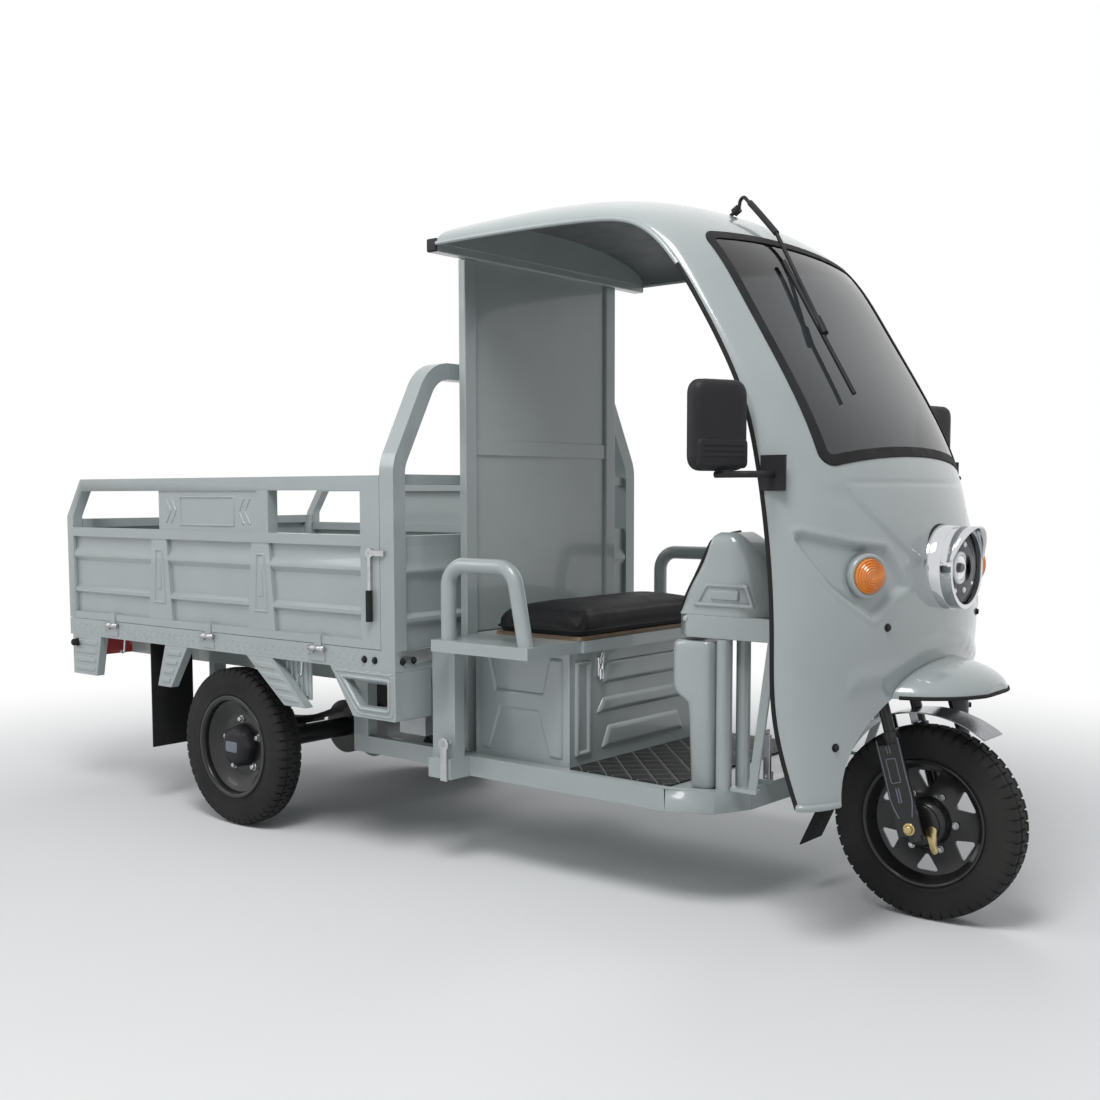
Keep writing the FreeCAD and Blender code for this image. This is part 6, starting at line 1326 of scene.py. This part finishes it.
# Hinges and hooks along the gate, as shares of its length
HINGE_SHARES = (0.151, 0.487, 0.816)
HINGE_IN, HINGE_DROP = 0.008, 0.012
SLEEVE = (
    (-0.003, 0.004), (-0.002, 0.0085), (0.031, 0.0092), (0.032, 0.0078), (0.033, 0.0092), (0.066, 0.0085),
    (0.067, 0.004))
HOOK_SHARES = (0.2, 0.78)
# Line of a hook: inward from the rail's face, and up from its foot
HOOK = ((0.014, 0.004), (0.012, -0.02), (0.01, -0.042), (0.002, -0.05), (-0.004, -0.04))
HOOK_RADIUS = 0.0038
BED_BOLT = {"radius": 0.008, "height": 0.008}
BED_BOLT_UP = 0.03
BED_BOLTS_BACK, BED_BOLTS_IN = (0.13, 0.085), (0.03, 0.075)


def stud(plane, u, v, turn):
    """A small roof-shaped stud of chequer plate."""
    along = Vector((math.cos(turn), math.sin(turn))) * STUD_LENGTH
    side = Vector((-math.sin(turn), math.cos(turn))) * STUD_WIDTH
    centre = Vector((u, v))
    base = [centre + along * a / 2 + side * b / 2 for a, b in ((-1, 0), (0, -1), (1, 0), (0, 1))]
    top = [centre + along * a / 5 for a in (-1, 1)]
    faces = [(0, 1, 4), (1, 5, 4), (1, 2, 5), (2, 3, 5), (3, 4, 5), (3, 0, 4), (0, 3, 2, 1)]
    return new_mesh("stud", plane.ring(base, -SUNK) + plane.ring(top, STUD_RISE), faces, smooth=False)


def bed_edge():
    """Chequer studs along the bed's edge rail, bright hinge sleeves, rope hooks and black bolts."""
    deck_low, deck_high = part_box("bed_deck")
    hoop_low, hoop_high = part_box("bed_hoop")
    gate_low, gate_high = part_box("gate_right")
    length = gate_high.x - gate_low.x
    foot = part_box("bed_frame")[0].z
    face = touch(NODES["bed_frame"], (deck_low.x + RAIL_SPOT, FAR_RIGHT, foot + STUD_FOOT), LEFT).y
    plane = side_face(face)
    studs = []
    count = int((hoop_low.x - gate_low.x - STUD_END) / STUD_PITCH)
    for row in range(STUD_ROWS):
        v = foot + STUD_FOOT + row * STUD_ROW_PITCH
        for i in range(count):
            u = gate_low.x + STUD_START + (i + 0.5 * (row % 2)) * STUD_PITCH
            studs.append(stud(plane, u, v, math.radians(45 if (i + row) % 2 else -45)))
    both("rail_studs", studs, STEEL_PAINT)
    sleeves = []
    for share in HINGE_SHARES:
        start = (gate_low.x + share * length, gate_low.y + HINGE_IN, deck_high.z - HINGE_DROP)
        sleeves.append(lathe("sleeve", SLEEVE, start, FORWARD, steps=24))
    both("hinge_sleeves", sleeves, ZINC)
    hooks = []
    for share in HOOK_SHARES:
        x = gate_low.x + share * length
        hooks.append(wire("hook", [(x, face + back, foot + up) for back, up in HOOK], HOOK_RADIUS))
    both("rope_hooks", hooks, ZINC)
    level = foot + BED_BOLT_UP
    bolts = [bolt((hoop_high.x - gap, face, level), RIGHT, **BED_BOLT) for gap in BED_BOLTS_BACK]
    bolts += [bolt((hoop_high.x, face + gap, level), FORWARD, **BED_BOLT) for gap in BED_BOLTS_IN]
    both("bed_bolts", bolts, PLASTIC)


# Bracket outlines, metres from the bed's rear end: top start and end, foot start and end
BED_LENGTH = 1.746
BRACKETS = ((0.015, 0.205, 0.015, 0.171), (0.603, 0.731, 0.555, 0.633), (1.052, 1.184, 1.24, 1.346))
BAR_SHARES = (0.17, 0.39, 0.61, 0.83)
BAR_INSET, BAR_HALF, BAR_LEAN_SHARE = 0.018, 0.01, 0.07
# Window of the corner bracket: starts at the top and at the foot, and the wall round it
WINDOW_TOP, WINDOW_FOOT, WINDOW_WALL = 1.461, 1.562, 0.034
# Rims round the window: distance, width, rise and corner
WINDOW_RIMS = ((0.013, 0.011, 0.005, 0.014), (0.026, 0.006, 0.003, 0.018))
# Bosses over the window: start, pitch, count and width, and their foot and top below the bracket's top
BOSS_START, BOSS_PITCH, BOSSES, BOSS_WIDTH = 1.52, 0.048, 5, 0.022
BOSS_FOOT, BOSS_TOP = 0.012, 0.004
STOP = ((-0.002, 0.014), (0.004, 0.015), (0.012, 0.012), (0.02, 0.013), (0.024, 0.01), (0.025, 0.004))
STOP_PLACE, STOP_DROP = 0.05, 0.028
FENDER_PLACE, FENDER_LENGTH, FENDER_IN, FENDER_RISE = 1.2, 0.13, 0.04, 0.004
FENDER_FOOT, FENDER_TOP = 0.02, 0.004
FENDER_RIBS, FENDER_RIB_START, FENDER_RIB_PITCH, FENDER_RIB_WIDTH = 5, 0.01, 0.024, 0.012
FENDER_RIB_FOOT, FENDER_RIB_TOP = 0.03, -0.004


def bracket_pressings():
    """Ribs on the pressed brackets under the bed, a rim round the corner's window, and a rubber stop."""
    low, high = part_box("bed_side_brackets")
    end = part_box("bed_hoop")[1].x
    start = end - BED_LENGTH
    plane = side_face(low.y)
    pieces = []
    for top0, top1, foot0, foot1 in BRACKETS:
        lean = (top0 - foot0) * BAR_LEAN_SHARE
        for share in BAR_SHARES:
            u0 = start + foot0 + (top0 - foot0) * share + BAR_INSET
            u1 = start + foot1 + (top1 - foot1) * share - BAR_INSET
            v = low.z + share * (high.z - low.z)
            bar = [(u0 - lean, v - BAR_HALF), (u1 - lean, v - BAR_HALF), (u1 + lean, v + BAR_HALF),
                   (u0 + lean, v + BAR_HALF)]
            pieces.append(pad(plane, bar, rise=0.004, slope=0.005))
    top, foot = high.z - WINDOW_WALL, low.z + WINDOW_WALL
    window = ccw([
        (start + WINDOW_TOP + 2 * WINDOW_WALL, top), (end - WINDOW_WALL, top), (end - WINDOW_WALL, foot),
        (start + WINDOW_FOOT + WINDOW_WALL, foot)])
    for gap, width, rise, corner in WINDOW_RIMS:
        pieces.append(frame_pad(plane, inset(window, -gap), width, rise, corner))
    for i in range(BOSSES):
        u = start + BOSS_START + i * BOSS_PITCH
        boss = rectangle(u, u + BOSS_WIDTH, high.z - BOSS_FOOT, high.z - BOSS_TOP)
        pieces.append(pad(plane, boss, rise=0.003, slope=0.002, corner=0.003))
    both("bracket_pressing", pieces, STEEL_PAINT)
    stop = lathe("stop", STOP, (start + STOP_PLACE, low.y, high.z - STOP_DROP), RIGHT, steps=32)
    both("bed_stop", [stop], RUBBER)
    u = start + FENDER_PLACE
    fender = side_face(low.y + FENDER_IN)
    outline = rectangle(u, u + FENDER_LENGTH, low.z + FENDER_FOOT, high.z + FENDER_TOP)
    sheet = [pad(fender, outline, FENDER_RISE, slope=0.002, corner=0.006)]
    for i in range(FENDER_RIBS):
        rib_u = u + FENDER_RIB_START + i * FENDER_RIB_PITCH
        rib = rectangle(rib_u, rib_u + FENDER_RIB_WIDTH, low.z + FENDER_RIB_FOOT, high.z + FENDER_RIB_TOP)
        sheet.append(pad(fender.raised(FENDER_RISE), rib, rise=0.006, slope=0.004))
    both("inner_fender", sheet, STEEL_PAINT)


# Cab body

# Pressing on the seat box's side, from its lower rear corner
BOX_PRESSING = (
    (0.025, 0.02), (0.062, 0.02), (0.105, 0.15), (0.245, 0.15), (0.288, 0.02), (0.335, 0.02), (0.335, 0.31),
    (0.288, 0.31), (0.262, 0.205), (0.088, 0.205), (0.062, 0.31), (0.025, 0.31))
BOX_RISE = 0.007
# Frames on its front: their middle, half width and gap; bars between them: foot, top and half width
BOX_FRAME_Y, BOX_FRAME_HALF, BOX_FRAME_GAP = 0.3, 0.036, 0.025
BOX_BARS = ((0.035, 0.1, 0.2), (0.14, 0.185, 0.225), (0.225, 0.29, 0.2))
# How much wider a bar is at its foot, and narrower at its top
BOX_BAR_FLARE, BOX_BAR_TAPER = 0.012, 0.02
LATCH_Y, LATCH_DROP = -0.225, 0.05
# Right half of the latch's bail: forward, across and up from the latch
BAIL = ((0.011, -0.007, 0.01), (0.016, -0.007, 0.045))
BAIL_RADIUS = 0.002
LATCH_PLATE = rectangle(-0.012, 0.012, -0.03, 0.03)
LATCH_HANDLE, HANDLE_FACE = rectangle(-0.008, 0.008, -0.04, -0.006), 0.008


def seat_box_pressings():
    """Pressings on the seat box's sides and front, and a latch."""
    low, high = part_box("seat_box")
    outline = moved_by(BOX_PRESSING, low.x, low.z)
    both("seat_box_side", [pad(side_face(low.y), outline, BOX_RISE, slope=0.009, corner=0.006)], STEEL_PAINT)
    front = front_face(high.x)
    frames = []
    for y in (-BOX_FRAME_Y, BOX_FRAME_Y):
        foot, top = low.z + BOX_FRAME_GAP, high.z - BOX_FRAME_GAP
        outline = rectangle(y - BOX_FRAME_HALF, y + BOX_FRAME_HALF, foot, top)
        frames.append(frame_pad(front, outline, width=0.017, rise=BOX_RISE, corner=0.008))
    for foot, top, half in BOX_BARS:
        bar = tapered(0, low.z + foot, low.z + top, half + BOX_BAR_FLARE, half - BOX_BAR_TAPER)
        frames.append(pad(front, bar, BOX_RISE, slope=0.012, corner=0.006))
    dress(joined("seat_box_front", frames), STEEL_PAINT)
    z = high.z - LATCH_DROP
    bail = [*BAIL, *((x, -y, up) for x, y, up in BAIL[::-1])]
    plate, handle = (moved_by(outline, LATCH_Y, z) for outline in (LATCH_PLATE, LATCH_HANDLE))
    parts = [
        pad(front, plate, rise=0.009, slope=0.002, corner=0.003),
        wire("bail", [(high.x + x, LATCH_Y + y, z + up) for x, y, up in bail], BAIL_RADIUS),
        pad(front.raised(HANDLE_FACE), handle, rise=0.006, slope=0.003, corner=0.005)]
    dress(joined("seat_box_latch", parts), CHROME)


# Rear outer corner of a dash cowl: height, rear end and outer side, as shares of the belt's box
COWL_EDGE_SHARES = (
    (0.01, 0.02, 0.985), (0.25, 0.1, 0.985), (0.5, 0.21, 0.98), (0.78, 0.31, 0.965), (0.95, 0.37, 0.94))
# Crest of a cowl: a share of its length, and y
CREST_SHARE, CREST_Y = 0.55, -0.26
# How far outside the cowl a probe starts, behind and above it, and where its side is probed
PROBE, CREST_PROBE = 0.08, 0.1
COWL_SPOT_X, COWL_SPOT_UP = 1.0, 0.06
PIPING = 0.0055
SCREW_IN, SCREW_DROP = 0.045, 0.012
# Pressings on a cowl's side, from its lower rear corner
COWL_FRAME = ((0.06, 0.022), (0.25, 0.022), (0.225, 0.085), (0.1, 0.085))
COWL_PANEL = rectangle(0.115, 0.2, 0.04, 0.068)


def dash_trim():
    """Black piping on the cowls' rear edges, their pressings, and screws on the belt."""
    belt_low, belt_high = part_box("dash_belt")
    low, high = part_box("dash_cowls")
    cowl = NODES["dash_cowls"]
    line = []
    for rise, rear, outer in COWL_EDGE_SHARES:
        x = belt_low.x + rear * (belt_high.x - belt_low.x)
        z = low.z + rise * (high.z - low.z)
        line.append(touch(cowl, (x - PROBE, -outer * belt_high.y - PROBE, z), (1, 1, 0)))
    line.append(touch(cowl, (low.x + CREST_SHARE * (high.x - low.x), CREST_Y, high.z + CREST_PROBE), -UP))
    both("cowl_piping", [wire("piping", [spot for spot in line if spot], PIPING)], RUBBER)
    face = side_face(touch(cowl, (COWL_SPOT_X, FAR_RIGHT, low.z + COWL_SPOT_UP), LEFT).y)
    pieces = [
        frame_pad(face, moved_by(COWL_FRAME, low.x, low.z), width=0.012, rise=0.005, corner=0.008),
        pad(face, moved_by(COWL_PANEL, low.x, low.z), rise=0.005, slope=0.005, corner=0.006)]
    both("cowl_pressing", pieces, PAINT)
    place = (belt_low.x + SCREW_IN, belt_low.y, belt_high.z - SCREW_DROP)
    both("belt_screws", [bolt(place, RIGHT, radius=0.005, height=0.003)], ZINC)


# Rubber of the lip: its level, and where the lip is probed along its sides and across its front
LIP_LEVEL, LIP_RADIUS = 0.003, 0.005
LIP_SHARES = np.linspace(0.1, 0.97, 14)
LIP_FRONT_SHARE, LIP_FRONT_POINTS = 0.9, 7


def lip_edge():
    """Rubber along the lower edge of the lip over the front wheel."""
    low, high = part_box("front_lip")
    lip = NODES["front_lip"]
    level = low.z + LIP_LEVEL
    right = []
    for share in LIP_SHARES:
        right.append(touch(lip, (low.x + share * (high.x - low.x), FAR_RIGHT, level), LEFT))
    reach = -right[-1].y * LIP_FRONT_SHARE
    across = np.linspace(-reach, reach, LIP_FRONT_POINTS)
    front = [touch(lip, (FAR_FRONT, y, level), -FORWARD) for y in across]
    left = [Vector((point.x, -point.y, point.z)) for point in right if point]
    line = [point for point in right + front if point] + left[::-1]
    dress(wire("lip_rubber", line, LIP_RADIUS), RUBBER)


# Fork covers: their lean, and lines on them as places across and up from the axle
FORK_LEAN = math.radians(16)
FORK_SPOT = 0.15
FORK_FRAME = rectangle(-0.017, 0.012, 0.12, 0.185)
FORK_BARS = (
    rectangle(-0.009, -0.0055, 0.068, 0.108), rectangle(-0.002, 0.0015, 0.068, 0.108),
    rectangle(-0.008, -0.005, 0.196, 0.216), rectangle(0.0, 0.003, 0.196, 0.216))
FORK_EDGE = ((0.03, 0.235), (0.028, 0.16), (0.029, 0.1), (0.03, 0.07), (0.018, 0.03))
FORK_EDGE_RADIUS = 0.0016
FORK_BODIES = ("fork_lower", "fork_lower")
NUT_SUNK = 0.001
BRAKE_PLATE = ((0.0, 0.03), (0.001, 0.05), (0.005, 0.056), (0.008, 0.05), (0.01, 0.03))
BRAKE_ARM = (
    (0.02, -0.008), (0.034, 0.004), (0.052, 0.0), (0.05, -0.045), (0.058, -0.062), (0.046, -0.072),
    (0.036, -0.06))
BRAKE_PLATE_OUT, BRAKE_ARM_OUT = 0.054, 0.064


def fork_trim():
    """Pale lines on the black fork covers, axle nuts and the brake's plate and arm."""
    axle = middle("front_tyre")
    up = Vector((-math.sin(FORK_LEAN), 0, math.cos(FORK_LEAN)))
    along = Vector((math.cos(FORK_LEAN), 0, math.sin(FORK_LEAN)))
    spot = touch(NODES["fork_sliders"], axle + up * FORK_SPOT + RIGHT, LEFT)
    plane = Plane((axle.x, spot.y, axle.z), along, up)
    lines = [frame_pad(plane, FORK_FRAME, width=0.0028, rise=0.0012, corner=0.004)]
    lines += [pad(plane, bar, rise=0.0012, slope=0.0006, corner=0.001) for bar in FORK_BARS]
    for sign in (-1, 1):
        lines.append(wire("edge", [plane.at((sign * u, v)) for u, v in FORK_EDGE], FORK_EDGE_RADIUS))
    both("fork_lines", lines, PALE, FORK_BODIES)
    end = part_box("fork_sliders")[0].y + NUT_SUNK
    both("axle_nuts", [bolt((axle.x, end, axle.z), RIGHT, radius=0.0115, height=0.011)], BRASS, FORK_BODIES)
    plate = lathe("front_brake_plate", BRAKE_PLATE, axle + RIGHT * BRAKE_PLATE_OUT, RIGHT, steps=48)
    dress(plate, BLACK_PAINT, "fork_lower")
    lever = Plane(axle + RIGHT * BRAKE_ARM_OUT, FORWARD)
    arm = pad(lever, BRAKE_ARM, rise=0.005, slope=0.001, corner=0.006)
    arm.name = "front_brake_arm"
    dress(arm, BRASS, "fork_lower")


# Mirror head: half width, corner, and its section as steps inward and out of its middle plane
MIRROR_HALF = 0.077
MIRROR_CORNER = 0.036
MIRROR_STEPS = (
    (0.006, -0.022), (0.002, -0.02), (0.0, -0.014), (0.001, 0.004), (0.006, 0.013), (0.015, 0.018),
    (0.03, 0.0205))
# Forms on its front: their outlines, and the planes that they stand on
MIRROR_FRAME, MIRROR_FACE = rectangle(-0.034, 0.034, 0.022, 0.042), 0.0185
MIRROR_BLOCK, MIRROR_BLOCK_FACE = rectangle(-0.07, 0.073, -0.1, -0.03), 0.012
MIRROR_RIBS, MIRROR_RIB_HALF, MIRROR_RIB_FACE = (-0.045, -0.058, -0.071), 0.0035, 0.0212
MIRROR_RIB_ENDS = (-0.056, 0.06)
MIRROR_GLASS, MIRROR_BACK = rectangle(-0.066, 0.066, -0.094, 0.094), 0.0218


def mirror_plane(node):
    """The middle plane of a mirror, along its longest level direction."""
    flat = np.array([v.co[:2] for v in NODES[node].data.vertices])
    longest = np.linalg.eigh(np.cov((flat - flat.mean(0)).T))[1][:, 1]
    across = Vector((longest[0], longest[1], 0))
    return Plane(middle(node), -across if across.y < 0 else across)


def mirror_heads():
    """Rounded mirror housings with a ribbed lower part, bare, and the glass behind."""
    for name, _ in SIDES:
        node = f"mirror_{name}"
        half_height = radius_of(node)
        plane = mirror_plane(node)
        outline = rectangle(-MIRROR_HALF, MIRROR_HALF, -half_height, half_height)
        rings = []
        for step, rise in MIRROR_STEPS:
            rings.append(plane.ring(round_off(inset(outline, step), MIRROR_CORNER - step / 2, 8), rise))
        parts = [
            loft("shell", rings),
            frame_pad(plane.raised(MIRROR_FACE), MIRROR_FRAME, width=0.003, rise=0.0018, corner=0.008),
            pad(plane.raised(MIRROR_BLOCK_FACE), MIRROR_BLOCK, rise=0.01, slope=0.006, corner=0.012)]
        for rise in MIRROR_RIBS:
            rib = rectangle(*MIRROR_RIB_ENDS, rise - MIRROR_RIB_HALF, rise + MIRROR_RIB_HALF)
            parts.append(pad(plane.raised(MIRROR_RIB_FACE), rib, rise=0.0022, slope=0.0015, corner=0.002))
        head = joined(f"mirror_head_{name}", parts)
        sharpen(head, 50)
        dress(head, PLASTIC, node, [node])
        back = Plane(plane.origin - plane.out * MIRROR_BACK, -plane.across)
        glass = pad(back, MIRROR_GLASS, rise=0.0008, slope=0.0005, corner=0.026)
        glass.name = f"mirror_glass_{name}"
        dress(glass, MIRROR, node)


# Wiper: arm from the spindle's knee to the blade's block, and the blade
WIPER_ARM = [Vector(point) for point in (
    (0.8713, -0.02, 1.937), (0.95, -0.054, 1.868), (1.0223, -0.085, 1.799), (1.12, -0.136, 1.66),
    (1.2203, -0.188, 1.516))]
WIPER_BLADE = ((1.0873, -0.16, 1.709), (1.2043, -0.187, 1.531), (1.3213, -0.214, 1.352))
BLOCK_SHARES = (0.75, 0.9, 1.05)
ARM_RADIUS, NECK_RADIUS, BLOCK_RADIUS, BLADE_RADIUS = 0.0085, 0.0055, 0.0105, 0.0055


def wiper_trim():
    """A broad arm cover, a block and a rubber blade over the wiper's rods."""
    knee = WIPER_ARM[0].lerp(WIPER_ARM[1], 0.5)
    arm = wire("arm", [knee] + WIPER_ARM[1:3], ARM_RADIUS)
    neck = wire("neck", WIPER_ARM[2:], NECK_RADIUS)
    block = wire("block", [WIPER_ARM[3].lerp(WIPER_ARM[4], share) for share in BLOCK_SHARES], BLOCK_RADIUS)
    dress(joined("wiper_cover", [arm, neck, block]), PLASTIC, "wiper")
    dress(wire("wiper_blade", WIPER_BLADE, BLADE_RADIUS), RUBBER, "wiper")


BEAM_DEPTH = 0.038
# Bolts in the right half of the shell, as y and z
SHELL_BOLTS = ((-0.278, 0.782), (-0.41, 0.5))
# Step aside that finds how the shell turns at a bolt
BOLT_STEP = 0.01


def small_parts():
    """Caps on the roof beam's ends, and bolts in the shell."""
    low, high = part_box("cab_rear_frame")
    end = rectangle(high.x - BEAM_DEPTH, high.x, high.z - BEAM_DEPTH, high.z)
    both("beam_cap", [pad(side_face(low.y), end, rise=0.006, slope=0.003)], PLASTIC)
    skin = bpy.data.objects["cab_skin"]
    bolts = []
    for y, z in SHELL_BOLTS:
        spot = touch(skin, (FAR_FRONT, y, z), -FORWARD)
        near = touch(skin, (FAR_FRONT, y + BOLT_STEP, z), -FORWARD)
        run = (near - spot).normalized()
        bolts.append(bolt(spot, (run.y, -run.x, 0), radius=0.0075, height=0.007, sides=12))
    both("shell_bolts", bolts, PLASTIC)


LATCH_GRIP, LEVER_GRIP = 0.093, 0.12
# Rubber end of the mudguard: its length and its top
GUARD_END, GUARD_END_TOP = 0.12, 0.36


def tint_faces(node, material, chosen):
    """A second finish on those faces of a carried-over solid whose centre is chosen."""
    mesh = NODES[node].data
    mesh.materials.append(material)
    for face in mesh.polygons:
        if chosen(face.center):
            face.material_index = 1


def second_finishes():
    """Rubber grips on latches and parking brake, and the mudguard's rubber end."""
    for name, _ in SIDES:
        for node in (f"gate_latch_{name}", f"tailgate_latch_{name}"):
            grip_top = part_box(node)[0].z + LATCH_GRIP
            tint_faces(node, RUBBER, lambda place, top=grip_top: place.z < top)
    guard_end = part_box("front_mudguard")[0].x + GUARD_END
    tint_faces("front_mudguard", RUBBER, lambda place: place.x < guard_end and place.z < GUARD_END_TOP)
    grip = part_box("parking_brake_lever")[1].x - LEVER_GRIP
    tint_faces("parking_brake_lever", RUBBER, lambda place: place.x > grip)


# Camera, light and floor

# Camera, fitted to the view: place, turn in degrees, lens and shift
EYE = (2.8171, -3.214, 1.1065)
EYE_TURN = (85.40, 0.08, 39.13)
EYE_SENSOR, EYE_LENS = 36.0, 42.74
EYE_SHIFT = (-0.0083, 0.0441)
# Lamps: name, place, aim, power and width
LAMPS = (
    ("key", (1.6, -2.6, 4.6), (0.1, 0, 0.7), 125, 1.8),
    ("side", (-3.2, -3.4, 3.2), (-0.6, 0, 0.8), 40, 2.0),
    ("back", (-1.0, 3.6, 3.8), (0, 0, 0.9), 45, 2.2),
)
WHITE = (1, 1, 1, 1)
SKY_COLOUR = (0.95, 0.98, 1.0, 1)
SKY_LIGHT = 0.34
FLOOR_TONES = (0.9, 0.905, 0.91), (0.88, 0.885, 0.89)
FLOOR_PATCH, FLOOR_ROUGH, FLOOR_LEVEL = 2.0, 0.85, 0.1
# Distances from the origin between which the floor fades to white
FLOOR_FADE = (1.6, 4.2)
FLOOR_REACH = 60
FLOOR_DROP = 0.0005


def stage():
    scene = bpy.context.scene
    scene.view_settings.view_transform = "Standard"
    camera = bpy.data.cameras.new("camera")
    camera.sensor_width = EYE_SENSOR
    camera.lens = EYE_LENS
    camera.shift_x, camera.shift_y = EYE_SHIFT
    eye = placed("camera", camera)
    eye.location = EYE
    eye.rotation_euler = [math.radians(turn) for turn in EYE_TURN]
    scene.camera = eye

    studio_world(scene)
    for name, place, aim, power, width in LAMPS:
        lamp = bpy.data.lights.new(name, "AREA")
        lamp.energy = power
        lamp.size = width
        holder = placed(name, lamp)
        holder.location = place
        holder.rotation_euler = (Vector(aim) - Vector(place)).to_track_quat("-Z", "Y").to_euler()
        # the back lamp only fills: its reflection would blot out the roof
        holder.visible_glossy = name != "back"
    corners = [(u, v, 0) for u, v in rectangle(-FLOOR_REACH, FLOOR_REACH, -FLOOR_REACH, FLOOR_REACH)]
    ground = new_mesh("ground", corners, [(0, 1, 2, 3)])
    ground.location.z = -FLOOR_DROP
    ground.data.materials.append(floor_material())


def seen_share(tree):
    """1 for rays from the eye, from mirrors and through glass, 0 for the light that falls on the object."""
    path = tree.nodes.new("ShaderNodeLightPath")
    share = path.outputs["Is Camera Ray"]
    for other in ("Is Glossy Ray", "Is Transmission Ray"):
        share = add_node(tree, "Math", {0: share, 1: path.outputs[other]}, "MAXIMUM").outputs["Value"]
    return share


def mix_shaders(tree, share, first, second, output):
    mixed = add_node(tree, "MixShader", {"Fac": share, 1: first, 2: second})
    feed(tree, tree.nodes[output], {"Surface": mixed.outputs["Shader"]})


def studio_world(scene):
    """White to the eye, and a softer, cooler light from above on the object."""
    world = bpy.data.worlds.new("studio")
    scene.world = world
    world.use_nodes = True
    tree = world.node_tree
    light = feed(tree, tree.nodes["Background"], {"Color": SKY_COLOUR, "Strength": SKY_LIGHT})
    seen = add_node(tree, "Background", {"Color": WHITE, "Strength": 1.0})
    backgrounds = light.outputs["Background"], seen.outputs["Background"]
    mix_shaders(tree, seen_share(tree), *backgrounds, "World Output")


def floor_material():
    """A pale floor that keeps the shadow near the object and fades to white far off."""
    made, tree, body = shader("pale_floor")
    tone = blend_colour(tree, noise(tree, FLOOR_PATCH), *FLOOR_TONES)
    feed(tree, body, {"Base Color": tone, "Roughness": FLOOR_ROUGH, "Specular IOR Level": FLOOR_LEVEL})
    away = add_node(tree, "VectorMath", {0: places_of(tree)}, "LENGTH")
    far = ranged(tree, away.outputs["Value"], *FLOOR_FADE)
    far.interpolation_type = "SMOOTHSTEP"
    share = add_node(tree, "Math", {0: far.outputs["Result"], 1: seen_share(tree)}, "MULTIPLY")
    white = add_node(tree, "Emission", {"Color": WHITE})
    shaders = body.outputs["BSDF"], white.outputs["Emission"]
    mix_shaders(tree, share.outputs["Value"], *shaders, "Material Output")
    return made


dress_nodes()
stage()
for side_name, side_sign in SIDES:
    treaded_tyre(f"tyre_{side_name}", f"rear_tyre_{side_name}", f"rear_rim_{side_name}")
    rear_wheel_trim(side_name, side_sign)
treaded_tyre("tyre_front", "front_tyre", "front_rim")
front_wheel_disc()
bending_springs()
cab_skin()
shell_trim()
headlamp()
signal_lamps()
tail_lamp_faces()
cushion()
leg_covers()
gate_pressings()
bed_edge()
bracket_pressings()
seat_box_pressings()
dash_trim()
lip_edge()
fork_trim()
mirror_heads()
wiper_trim()
small_parts()
second_finishes()
